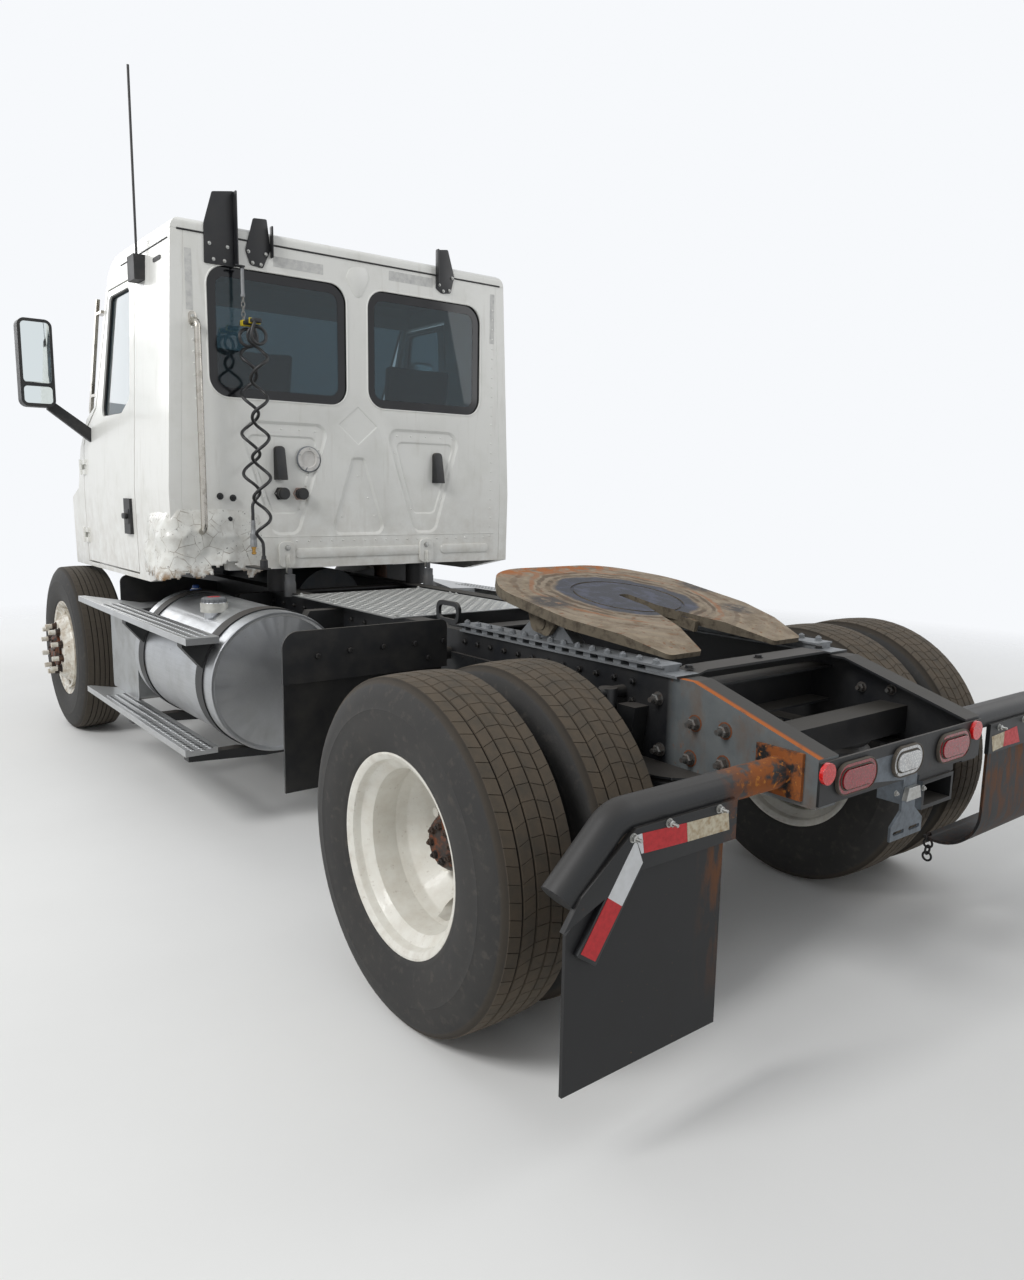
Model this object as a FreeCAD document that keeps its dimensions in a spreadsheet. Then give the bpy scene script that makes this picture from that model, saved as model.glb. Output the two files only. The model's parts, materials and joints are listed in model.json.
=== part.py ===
"""Day-cab tractor unit with one driven axle and its bonnet and bumper off.

Millimetres. +Z is up, the front points to -Y and the truck's left side is +X.
The origin is on the ground, under the middle of the bounding box.
Places along the truck are given from the rear axle, rearward positive.
"""
import FreeCAD
import Part
import math
import os
import Sketcher

Vector = FreeCAD.Vector
Rotation = FreeCAD.Rotation
Placement = FreeCAD.Placement

doc = FreeCAD.newDocument("tractor_unit")
sheet = doc.addObject("Spreadsheet::Sheet", "Sizes")

# Driving dimensions: name and value. Lengths in mm, angles in degrees.
SIZES = [
    # Axles and track
    ("wheelbase", 4190.0),
    ("axle_z", 518.0),
    ("front_track_half", 1032.0),
    ("rear_dual_half", 923.0),
    # Tyres and wheels
    ("tyre_radius", 518.0),
    ("tyre_width", 279.0),
    ("tread_width", 214.0),
    ("bead_radius", 287.0),
    ("rim_width", 238.0),
    ("rim_flange_radius", 298.0),
    ("rim_wall", 11.0),
    ("wheel_offset", 165.0),
    ("wheel_disc_radius", 168.0),
    ("wheel_bore_radius", 112.0),
    ("hand_hole_radius", 34.0),
    ("hub_radius", 106.0),
    ("drum_radius", 212.0),
    ("drum_length", 188.0),
    ("stud_circle_radius", 142.9),
    ("stud_radius", 15.0),
    ("stud_cover_length", 62.0),
    ("bearing_gap", 0.3),
    # Frame
    ("rail_half", 432.0),
    ("rail_depth", 270.0),
    ("rail_bottom", 735.0),
    ("rail_flange", 89.0),
    ("rail_wall", 8.0),
    ("rail_front", 5150.0),
    ("rail_back", 836.0),
    ("rail_taper_start", 400.0),
    ("rail_taper_drop", 132.0),
    ("member_wall", 8.0),
    ("member_depth", 160.0),
    # Tail
    ("tail_plate_wall", 8.0),
    ("tail_plate_height", 120.0),
    ("tail_plate_bottom", 745.0),
    ("lamp_length", 166.0),
    ("lamp_height", 66.0),
    ("lamp_z", 805.0),
    ("lamp_left_x", 270.0),
    ("lamp_right_x", 255.0),
    ("reflector_radius", 30.0),
    ("lamp_proud", 16.0),
    ("grommet_lip", 13.0),
    # Mud flaps and their hangers
    ("hanger_y", 720.0),
    ("hanger_z", 815.0),
    ("hanger_radius", 43.0),
    ("hanger_corner_x", 1060.0),
    ("hanger_end_x", 1225.0),
    ("hanger_end_z", 660.0),
    ("hanger_bend", 90.0),
    ("flap_inner", 700.0),
    ("flap_outer", 1225.0),
    ("flap_wall", 10.0),
    ("flap_bottom", 190.0),
    ("flap_plate_drop", 95.0),
    ("flap_curl_radius", 140.0),
    ("flap_curl_reach", 200.0),
    ("flap_curl_bottom", 290.0),
    ("chain_ring", 16.0),
    ("chain_wire", 4.0),
    # Quarter guards ahead of the driven wheels
    ("guard_ahead", 850.0),
    ("guard_inner", 470.0),
    ("guard_outer", 1165.0),
    ("guard_top", 1050.0),
    ("guard_split", 860.0),
    ("guard_bottom", 460.0),
    ("guard_wall", 9.0),
    # Fifth wheel
    ("fifth_wheel_ahead", 330.0),
    ("trunnion_z", 1092.0),
    ("plate_tilt", 9.65),
    ("plate_radius", 465.0),
    ("plate_wall", 16.0),
    ("plate_rise", 74.0),
    ("plate_tip_back", 552.0),
    ("plate_tip_half", 345.0),
    ("plate_tip_inner", 190.0),
    ("throat_half", 27.0),
    ("throat_neck", 130.0),
    ("throat_end", -28.0),
    ("throat_mouth_half", 92.0),
    ("throat_mouth_back", 320.0),
    ("slide_inner", 345.0),
    ("slide_outer", 445.0),
    ("slide_front", 790.0),
    ("slide_back", 285.0),
    ("slide_height", 30.0),
    ("slide_strip", 6.0),
    ("rack_web", 400.0),
    ("rack_pitch", 72.0),
    ("rack_slot", 38.0),
    ("plate_ramp_back", 385.0),
    ("plate_ramp_drop", 24.0),
    ("skirt_wall", 15.0),
    ("skirt_depth", 20.0),
    ("grease_groove_radius", 205.0),
    ("grease_groove_width", 12.0),
    ("grease_groove_depth", 4.0),
    ("jaw_radius", 82.0),
    ("trunnion_inner", 368.0),
    ("trunnion_pin_radius", 25.0),
    # Fuel tank
    ("tank_radius", 317.5),
    ("tank_x", 806.0),
    ("tank_z", 689.0),
    ("tank_front", 2790.0),
    ("tank_back", 1660.0),
    ("tank_end_dish", 24.0),
    ("strap_width", 80.0),
    ("strap_wall", 6.0),
    ("strap_inset", 150.0),
    ("strap_bracket_width", 60.0),
    # Steps
    ("step_wall", 30.0),
    ("step_sheet", 4.0),
    ("upper_step_z", 885.0),
    ("lower_step_z", 385.0),
    ("step_outer", 1215.0),
    ("step_width", 145.0),
    ("step_back", 1700.0),
    ("step_bend", 2300.0),
    ("upper_step_front", 3560.0),
    ("lower_step_front", 3400.0),
    # Boxes
    ("battery_front", 3340.0),
    ("battery_back", 2860.0),
    ("battery_outer", 1085.0),
    ("battery_inner", 500.0),
    ("battery_top", 884.7),
    ("exhaust_front", 3250.0),
    ("exhaust_back", 1900.0),
    ("exhaust_inner", 470.0),
    ("exhaust_top", 884.7),
    # Deck
    ("deck_wall", 5.0),
    ("deck_front", 2220.0),
    ("deck_split", 1850.0),
    ("deck_back", 1220.0),
    ("deck_right", 432.0),
    # Cab shell
    ("cab_back", 2410.0),
    ("cab_wall", 60.0),
    ("cab_bottom", 1055.0),
    ("cab_floor_z", 1130.0),
    ("cab_sill_half", 1022.0),
    ("cab_crease_half", 1030.0),
    ("cab_crease_z", 1530.0),
    ("cab_eaves_half", 975.0),
    ("cab_eaves_z", 2740.0),
    ("cab_roof_z", 2842.0),
    ("cab_roof_half", 800.0),
    ("roof_wall", 45.0),
    ("eaves_front", 3340.0),
    ("header_ahead", 3480.0),
    ("header_z", 2630.0),
    ("pillar_foot_ahead", 3750.0),
    ("pillar_foot_z", 2000.0),
    ("cowl_ahead", 4080.0),
    ("cowl_z", 1770.0),
    ("cab_nose_ahead", 4300.0),
    ("door_front", 4000.0),
    ("door_back", 2960.0),
    ("door_top", 2612.0),
    ("door_gap", 9.0),
    ("door_skin", 20.0),
    ("door_wall", 54.0),
    ("door_step", 12.0),
    ("hinge_out", 12.0),
    ("hinge_radius", 10.0),
    ("hinge_pin", 5.0),
    ("hinge_height", 90.0),
    ("hinge_low", 1200.0),
    ("hinge_high", 1610.0),
    ("glass_wall", 6.0),
    ("glass_gap", 0.3),
    ("rear_window_inner", 60.0),
    ("rear_window_outer", 815.0),
    ("rear_window_bottom", 1985.0),
    ("rear_window_top", 2610.0),
    ("rear_window_round", 100.0),
    ("pocket_depth", 10.0),
    ("panel_depth", 16.0),
    ("pocket_slope", 55.0),
    ("side_window_back", 3050.0),
    ("side_window_bottom", 1935.0),
    ("side_window_top", 2572.0),
    ("side_window_front_low", 3600.0),
    ("side_window_front_top", 3425.0),
    ("tunnel_half", 420.0),
    ("tunnel_top", 1580.0),
    ("tunnel_back", 3700.0),
    ("firewall_ahead", 4050.0),
    ("firewall_wall", 30.0),
    # Power train
    ("engine_front", 4880.0),
    ("engine_back", 3800.0),
    ("engine_half", 250.0),
    ("engine_bottom", 760.0),
    ("engine_top", 1400.0),
    ("cover_half", 170.0),
    ("cover_top", 1535.0),
    ("gearbox_back", 2780.0),
    ("gearbox_radius", 215.0),
    ("gearbox_z", 870.0),
    ("radiator_ahead", 5028.0),
    ("radiator_wall", 70.0),
    ("radiator_half", 500.0),
    ("radiator_bottom", 740.0),
    ("radiator_top", 1700.0),
    ("fan_radius", 330.0),
    ("fan_z", 1270.0),
    ("fan_blades", 9.0),
    ("fan_pitch", 28.0),
    ("damper_z", 900.0),
    ("damper_radius", 110.0),
    ("belt_radius", 62.0),
    ("turbo_x", 370.0),
    ("turbo_z", 1110.0),
    ("exhaust_pipe_radius", 42.0),
    ("exhaust_pipe_x", 560.0),
    ("charge_pipe_radius", 38.0),
    ("cooler_ahead", 5110.0),
    ("cleaner_x", 570.0),
    ("cleaner_z", 1400.0),
    ("cleaner_radius", 130.0),
    ("shaft_radius", 50.0),
    # Front axle and steering
    ("kingpin_half", 850.0),
    ("kingpin_radius", 24.0),
    ("beam_height", 115.0),
    ("beam_width", 100.0),
    ("beam_drop", 100.0),
    ("front_spring_half", 432.0),
    ("front_spring_width", 90.0),
    ("steer_arm_back", 190.0),
    ("tie_rod_radius", 20.0),
    # Driven axle
    ("axle_tube_radius", 68.0),
    ("spindle_radius", 42.0),
    ("bowl_radius", 210.0),
    ("air_spring_radius", 130.0),
    # Mirrors
    ("mirror_inner", 1205.0),
    ("mirror_outer", 1385.0),
    ("mirror_bottom", 1985.0),
    ("mirror_top", 2470.0),
    ("mirror_ahead", 3880.0),
    ("mirror_wall", 90.0),
    # Curly lines behind the cab
    ("line_x", 645.0),
    ("line_1_ahead", 2325.0),
    ("line_2_ahead", 2215.0),
    ("line_top", 2325.0),
    ("line_1_bottom", 1385.0),
    ("line_2_bottom", 1215.0),
    ("line_coil_radius", 52.0),
    # Steering wheel
    ("steering_wheel_x", 500.0),
    ("steering_wheel_ahead", 3440.0),
    ("steering_wheel_z", 1760.0),
    ("steering_wheel_radius", 228.0),
    ("column_tilt", 25.0),
]


class Size:
    """A length that knows its number and its formula over the sheet."""

    def __init__(self, number, formula):
        self.number = float(number)
        self.formula = formula

    def __add__(self, other):
        other = size(other)
        return Size(self.number + other.number, f"({self.formula} + {other.formula})")

    def __radd__(self, other):
        return size(other) + self

    def __sub__(self, other):
        other = size(other)
        return Size(self.number - other.number, f"({self.formula} - {other.formula})")

    def __rsub__(self, other):
        return size(other) - self

    def __mul__(self, other):
        other = size(other)
        return Size(self.number * other.number, f"({self.formula} * {other.formula})")

    def __rmul__(self, other):
        return size(other) * self

    def __truediv__(self, other):
        other = size(other)
        return Size(self.number / other.number, f"({self.formula} / {other.formula})")

    def __neg__(self):
        return Size(-self.number, f"(0 - {self.formula})")


def size(value):
    """A plain number as a Size."""
    if isinstance(value, Size):
        return value
    return Size(value, f"({float(value)!r})")


class Sheet:
    """The driving dimensions, one attribute for each named cell."""


S = Sheet()
for row, (alias, value) in enumerate(SIZES, start=1):
    sheet.set(f"A{row}", alias)
    sheet.set(f"B{row}", str(value))
    sheet.setAlias(f"B{row}", alias)
    setattr(S, alias, Size(value, f"Sizes.{alias}"))
doc.recompute()

# Each finished sub-part, in the order it is written.
sub_parts = []
# How many helper objects have been made, for their names.
made = {}


def new_name(stem):
    """A document name that nothing else has."""
    made[stem] = made.get(stem, 0) + 1
    return f"{stem}_{made[stem]}"


def bind(thing, path, value):
    """Tie one property to its formula over the sheet."""
    thing.setExpression(path, size(value).formula)


def place(thing, spot, rotation=None):
    """Put an object at a point whose three values are tied to the sheet."""
    numbers = [size(value).number for value in spot]
    thing.Placement = Placement(Vector(*numbers), rotation or Rotation())
    for axis, value in zip("xyz", spot):
        bind(thing, f"Placement.Base.{axis}", value)


# The rear axle's place, which puts the origin half way along the truck.
rear_axle_y = (S.rail_front - S.rail_back - S.tail_plate_wall - S.lamp_proud) / 2


def along(distance_back):
    """A place along the truck, from its distance behind the rear axle."""
    return rear_axle_y + distance_back


def ahead(distance):
    """A place along the truck, from its distance ahead of the rear axle."""
    return rear_axle_y - distance


def box(x, y, z):
    """A block between two values on each axis."""
    block = doc.addObject("Part::Box", new_name("block"))
    bind(block, "Length", x[1] - size(x[0]))
    bind(block, "Width", y[1] - size(y[0]))
    bind(block, "Height", z[1] - size(z[0]))
    place(block, (x[0], y[0], z[0]))
    return block


AXIS_TURN = {
    "x": Rotation(Vector(0, 1, 0), 90),
    "y": Rotation(Vector(1, 0, 0), -90),
    "z": Rotation(),
}


def rod(axis, start, length, radius):
    """A round bar from a point along an axis."""
    bar = doc.addObject("Part::Cylinder", new_name("rod"))
    bind(bar, "Radius", radius)
    bind(bar, "Height", length)
    place(bar, start, AXIS_TURN[axis])
    return bar


def cone(axis, start, length, radius_low, radius_high):
    """A tapered round piece from a point along an axis."""
    piece = doc.addObject("Part::Cone", new_name("cone"))
    bind(piece, "Radius1", radius_low)
    bind(piece, "Radius2", radius_high)
    bind(piece, "Height", length)
    place(piece, start, AXIS_TURN[axis])
    return piece


def fuse(*pieces):
    """Join pieces into one object."""
    joined = doc.addObject("Part::MultiFuse", new_name("fuse"))
    joined.Shapes = list(pieces)
    joined.Refine = True
    return joined


def cut(base, *tools):
    """Take tools out of a piece."""
    tool = tools[0] if len(tools) == 1 else fuse(*tools)
    result = doc.addObject("Part::Cut", new_name("cut"))
    result.Base = base
    result.Tool = tool
    result.Refine = True
    return result


def common(first, second):
    """What two pieces share."""
    shared = doc.addObject("Part::MultiCommon", new_name("common"))
    shared.Shapes = [first, second]
    shared.Refine = True
    return shared


def group(*pieces):
    """Several separate solids kept in one object."""
    held = doc.addObject("Part::Compound", new_name("group"))
    held.Links = list(pieces)
    return held


def mirrored(piece):
    """The same piece on the truck's other side."""
    other = doc.addObject("Part::Mirroring", new_name("mirrored"))
    other.Source = piece
    other.Base = Vector(0, 0, 0)
    other.Normal = Vector(1, 0, 0)
    return other


def finish(thing, label):
    """Name a finished sub-part."""
    thing.Label = label
    sub_parts.append(thing)
    return thing


PLANE_ROLE = {"side": "YZ_Plane", "front": "XZ_Plane", "top": "XY_Plane"}


def new_sketch(body, plane, offset):
    """A sketch on one of the body's own planes, shifted along that plane's normal."""
    sketch = body.newObject("Sketcher::SketchObject", new_name("outline"))
    role = PLANE_ROLE[plane]
    support = [item for item in body.Origin.OriginFeatures if item.Role == role][0]
    sketch.AttachmentSupport = [(support, "")]
    sketch.MapMode = "FlatFace"
    shift = size(offset)
    sketch.AttachmentOffset = Placement(Vector(0, 0, shift.number), Rotation())
    bind(sketch, "AttachmentOffset.Base.z", shift)
    return sketch


def pin_point(sketch, geometry, position, across, up):
    """Hold one point of a sketch at its two tied coordinates."""
    for kind, value in (("DistanceX", across), ("DistanceY", up)):
        value = size(value)
        index = sketch.addConstraint(
            Sketcher.Constraint(kind, -1, 1, geometry, position, value.number))
        bind(sketch, f"Constraints[{index}]", value)


def corner_arc(before, corner, after, radius):
    """The tangent points, centre and sense of the arc that rounds a corner."""
    into = (corner - before).normalize()
    out = (after - corner).normalize()
    turn = math.acos(max(-1.0, min(1.0, into.dot(out))))
    reach = radius * math.tan(turn / 2)
    middle = (out - into).normalize()
    centre = corner + middle * (radius / math.cos(turn / 2))
    turns_left = into.cross(out).z > 0
    return corner - into * reach, corner + out * reach, centre, turns_left


def draw(sketch, corners, closed=True):
    """Straight runs through the corners; a third value rounds that corner."""
    count = len(corners)
    spots = [Vector(size(c[0]).number, size(c[1]).number, 0) for c in corners]
    arcs = {}
    for index, corner in enumerate(corners):
        if len(corner) == 3:
            before = spots[index - 1]
            after = spots[(index + 1) % count]
            radius = size(corner[2]).number
            arcs[index] = corner_arc(before, spots[index], after, radius)
    run_count = count if closed else count - 1
    runs = []
    for index in range(run_count):
        following = (index + 1) % count
        start = arcs[index][1] if index in arcs else spots[index]
        end = arcs[following][0] if following in arcs else spots[following]
        runs.append(sketch.addGeometry(Part.LineSegment(start, end), False))
    for index in range(count):
        if not closed and index == 0:
            pin_point(sketch, runs[0], 1, *corners[0][:2])
            continue
        if not closed and index == count - 1:
            pin_point(sketch, runs[-1], 2, *corners[-1][:2])
            continue
        arriving = runs[index - 1]
        leaving = runs[index]
        if index not in arcs:
            sketch.addConstraint(Sketcher.Constraint("Coincident", arriving, 2, leaving, 1))
            pin_point(sketch, leaving, 1, *corners[index][:2])
            continue
        start, end, centre, turns_left = arcs[index]
        radius = size(corners[index][2])
        first, last = (start, end) if turns_left else (end, start)
        angle_first = math.atan2(first.y - centre.y, first.x - centre.x)
        angle_last = math.atan2(last.y - centre.y, last.x - centre.x)
        if angle_last < angle_first:
            angle_last += 2 * math.pi
        circle = Part.Circle(centre, Vector(0, 0, 1), radius.number)
        arc = sketch.addGeometry(Part.ArcOfCircle(circle, angle_first, angle_last), False)
        place_in, place_out = (1, 2) if turns_left else (2, 1)
        sketch.addConstraint(Sketcher.Constraint("Tangent", arriving, 2, arc, place_in))
        sketch.addConstraint(Sketcher.Constraint("Tangent", leaving, 1, arc, place_out))
        held = sketch.addConstraint(Sketcher.Constraint("Radius", arc, radius.number))
        bind(sketch, f"Constraints[{held}]", radius)
        apex = sketch.addGeometry(Part.Point(spots[index]), True)
        pin_point(sketch, apex, 1, *corners[index][:2])
        sketch.addConstraint(Sketcher.Constraint("PointOnObject", apex, 1, arriving))
        sketch.addConstraint(Sketcher.Constraint("PointOnObject", apex, 1, leaving))


def ring_at(sketch, across, up, radius):
    """A circle in a sketch."""
    centre = Vector(size(across).number, size(up).number, 0)
    circle = sketch.addGeometry(
        Part.Circle(centre, Vector(0, 0, 1), size(radius).number), False)
    pin_point(sketch, circle, 3, across, up)
    held = sketch.addConstraint(Sketcher.Constraint("Radius", circle, size(radius).number))
    bind(sketch, f"Constraints[{held}]", radius)


def plate(plane, corners, low, high, holes=()):
    """An outline given thickness between two values across its plane."""
    body = doc.addObject("PartDesign::Body", new_name("body"))
    # The front plane's normal points forward, so its values change sign.
    offset = -size(high) if plane == "front" else size(low)
    sketch = new_sketch(body, plane, offset)
    draw(sketch, corners)
    for hole in holes:
        if len(hole) == 3 and isinstance(hole[0], (Size, float, int)):
            ring_at(sketch, *hole)
        else:
            draw(sketch, hole)
    pad = body.newObject("PartDesign::Pad", new_name("pad"))
    pad.Profile = sketch
    bind(pad, "Length", size(high) - low)
    return body


def lathe(axis, centre, corners):
    """A profile of (place along the axis, radius) points turned about the axis."""
    body = doc.addObject("PartDesign::Body", new_name("body"))
    plane = {"x": "front", "y": "side", "z": "front"}[axis]
    sketch = new_sketch(body, plane, 0)
    if axis == "z":
        corners = [(c[1], c[0], *c[2:]) for c in corners]
    draw(sketch, corners)
    turn = body.newObject("PartDesign::Revolution", new_name("turn"))
    turn.Profile = sketch
    turn.ReferenceAxis = (sketch, ["V_Axis" if axis == "z" else "H_Axis"])
    turn.Angle = 360
    place(body, centre)
    return body


def rectangle(across, up):
    """The four corners of an upright rectangle."""
    return [(across[0], up[0]), (across[1], up[0]), (across[1], up[1]), (across[0], up[1])]


def rounded(across, up, radius):
    """A rectangle with four round corners."""
    return [(a, b, radius) for a, b in rectangle(across, up)]


def pipe(plane, corners, offset, start_plane, start_offset, start, radius):
    """A round bar along a bent path that lies in one plane."""
    body = doc.addObject("PartDesign::Body", new_name("body"))
    path = new_sketch(body, plane, offset)
    draw(path, corners, closed=False)
    section = new_sketch(body, start_plane, start_offset)
    ring_at(section, start[0], start[1], radius)
    sweep = body.newObject("PartDesign::AdditivePipe", new_name("sweep"))
    sweep.Profile = section
    sweep.Spine = path
    return body


# Shared places
front_axle_y = ahead(S.wheelbase)
lower_step_top = S.lower_step_z + S.step_wall
rail_top = S.rail_bottom + S.rail_depth
web_inner = S.rail_half - S.rail_wall


def tyre_at(centre_x, axle_y):
    """One road tyre: flat tread, round shoulders, bulged walls and beads."""
    half = S.tyre_width / 2
    tread = S.tread_width / 2
    bead = S.rim_width / 2 - 18 - S.bearing_gap
    shoulder = S.tyre_radius - 62
    waist = S.bead_radius + 70
    profile = [
        (-bead, S.bead_radius),
        (bead, S.bead_radius),
        (half, waist, 60),
        (half, shoulder, 40),
        (tread + 6, S.tyre_radius - 6, 30),
        (tread - 40, S.tyre_radius),
        (40 - tread, S.tyre_radius),
        (-tread - 6, S.tyre_radius - 6, 30),
        (-half, shoulder, 40),
        (-half, waist, 60),
    ]
    return lathe("x", (centre_x, axle_y, S.axle_z), profile)


def wheel_at(mount_x, axle_y, outward):
    """One steel disc wheel; outward is the side its rim lies on, from the mounting face."""
    wall = S.rim_wall
    near = S.wheel_offset - S.rim_width / 2
    far = S.wheel_offset + S.rim_width / 2
    flange = S.rim_flange_radius
    seat = S.bead_radius - S.bearing_gap
    well = S.bead_radius - 34
    disc = S.wheel_disc_radius
    bore = S.wheel_bore_radius
    profile = [
        (0.15, bore),
        (wall, bore),
        (wall, disc - 10, 20),
        (near + 62, well - 22, 30),
        (near + 96, well - wall, 10),
        (far - 60, well - wall),
        (far - 34, seat - wall - 6),
        (far - 10, seat - wall),
        (far, flange - 6),
        (far, flange),
        (far - 9, flange),
        (far - 18, seat),
        (far - 46, seat - 6),
        (far - 70, well),
        (near + 70, well),
        (near + 46, seat - 6),
        (near + 18, seat),
        (near + 9, flange),
        (near, flange),
        (near, flange - 6),
        (near + 10, seat - wall),
        (near + 40, well - wall, 8),
        (near + 52, well - wall - 4, 30),
        (0.15, disc, 20),
    ]
    turned = lathe("x", (0, 0, 0), [(a * outward, *rest) for a, *rest in profile])
    holes = []
    for index in range(2):
        side = 1 - 2 * index
        centre = (size(near + 20) * outward - 60, 0, (disc + well) / 2 * side)
        holes.append(rod("x", centre, size(120), S.hand_hole_radius))
    pierced = cut(turned, *holes)
    place(pierced, (mount_x, axle_y, S.axle_z))
    return pierced


def studs_at(mount_x, axle_y, outward, length):
    """Ten wheel studs with their nuts, standing out of the disc."""
    studs = []
    for index in range(10):
        angle = math.radians(36 * index + 18)
        x = size(mount_x) if outward > 0 else size(mount_x) - length
        y = size(axle_y) + S.stud_circle_radius * math.cos(angle)
        z = S.axle_z + S.stud_circle_radius * math.sin(angle)
        studs.append(rod("x", (x, y, z), length, S.stud_radius))
    return studs


def wheel_parts(mount, axle_y, spindle_end, hub_start, cap_length):
    """Hub with its closed cap, and the brake drum, round one spindle."""
    face = mount - S.rim_wall - S.bearing_gap
    bore = S.spindle_radius + S.bearing_gap
    back = face - 26
    hub = lathe("x", (0, axle_y, S.axle_z), [
        (hub_start, bore),
        (spindle_end + 5, bore),
        (spindle_end + 5, 0),
        (mount + cap_length, 0),
        (mount + cap_length, 70, 8),
        (mount + cap_length - 20, 84, 10),
        (mount + 14, S.hub_radius, 4),
        (face, S.hub_radius),
        (face, S.wheel_disc_radius - 4),
        (back, S.wheel_disc_radius - 4),
        (back, 104),
        (hub_start, 88),
    ])
    drum_end = back - S.drum_length
    drum = lathe("x", (0, axle_y, S.axle_z), [
        (back - 12, S.wheel_disc_radius - 30),
        (back, S.wheel_disc_radius - 30),
        (back, S.drum_radius - 10, 8),
        (back - 22, S.drum_radius, 8),
        (drum_end, S.drum_radius),
        (drum_end, S.drum_radius - 16),
        (back - 12, S.drum_radius - 22, 10),
    ])
    return hub, drum


def front_wheels():
    """Front tyres and outward-dished wheels with hubs and drums, one body a side."""
    mount = S.front_track_half + S.wheel_offset
    tyre = tyre_at(S.front_track_half, front_axle_y)
    disc = wheel_at(mount, front_axle_y, -1)
    hub, drum = wheel_parts(mount, front_axle_y, mount - 70, S.kingpin_half + 96, 30)
    studs = studs_at(mount + 0.2, front_axle_y, 1, S.stud_cover_length)
    wheel = fuse(disc, hub, drum, *studs)
    finish(tyre, "tyre_front_left")
    finish(wheel, "wheel_front_left")
    finish(mirrored(tyre), "tyre_front_right")
    finish(mirrored(wheel), "wheel_front_right")


def rear_wheels():
    """Twin tyres and wheels back to back on each driven hub."""
    mount = S.rear_dual_half
    outer = tyre_at(mount + S.wheel_offset, rear_axle_y)
    inner = tyre_at(mount - S.wheel_offset, rear_axle_y)
    disc_out = wheel_at(mount, rear_axle_y, 1)
    disc_in = wheel_at(mount, rear_axle_y, -1)
    hub, drum = wheel_parts(mount, rear_axle_y, mount + 70, mount - 200, 130)
    studs = studs_at(mount + 0.2, rear_axle_y, 1, S.stud_cover_length)
    tyres = group(outer, inner)
    wheels = fuse(disc_out, disc_in, hub, drum, *studs)
    finish(tyres, "tyres_rear_left")
    finish(wheels, "wheels_rear_left")
    finish(mirrored(tyres), "tyres_rear_right")
    finish(mirrored(wheels), "wheels_rear_right")


def frame_rails():
    """Two pressed channels whose top flange falls away at the tail."""
    front = ahead(S.rail_front)
    back = along(S.rail_back)
    taper = along(S.rail_taper_start)
    low = S.rail_bottom
    top = rail_top
    tail_top = rail_top - S.rail_taper_drop
    wall = S.rail_wall
    web = plate("side", [
        (front, low), (back, low), (back, tail_top), (taper, top), (front, top),
    ], web_inner, S.rail_half)
    upper = plate("side", [
        (front, top), (front, top - wall), (taper, top - wall),
        (back, tail_top - wall), (back, tail_top), (taper, top),
    ], S.rail_half - S.rail_flange, S.rail_half)
    lower = plate("side", [
        (front, low), (back, low), (back, low + wall), (front, low + wall),
    ], S.rail_half - S.rail_flange, S.rail_half)
    rail = fuse(web, upper, lower)
    return [rail, mirrored(rail)]


def channel_between(centre_y, bottom, depth, width):
    """A pressed cross channel between the rail webs."""
    wall = S.member_wall
    half = size(width) / 2
    y0 = centre_y - half
    y1 = centre_y + half
    z1 = bottom + depth
    return plate("side", [
        (y0, bottom), (y1, bottom), (y1, bottom + wall), (y0 + wall, bottom + wall),
        (y0 + wall, z1 - wall), (y1, z1 - wall), (y1, z1), (y0, z1),
    ], -web_inner, web_inner)


def frame():
    """Both rails joined by cross channels and the tail tube."""
    low = S.rail_bottom + 30
    members = [
        channel_between(ahead(S.rail_front - 70), low, S.member_depth, 90),
        channel_between(ahead(2600), rail_top - 90, 75, 90),
        channel_between(ahead(1130), low, 190, 110),
        channel_between(along(260), low + 60, 130, 90),
    ]
    tube = box((-web_inner, web_inner), (along(500), along(600)), (size(772), size(862)))
    bore = box((-web_inner, web_inner), (along(508), along(592)), (size(780), size(854)))
    members.append(cut(tube, bore))
    finish(fuse(*frame_rails(), *members), "frame")


def oval(centre_x, centre_z, length, height):
    """The corners of an upright lamp with round ends."""
    half = size(length) / 2
    rise = size(height) / 2
    return rounded((centre_x - half, centre_x + half), (centre_z - rise, centre_z + rise),
                   rise * 0.98)


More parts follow.
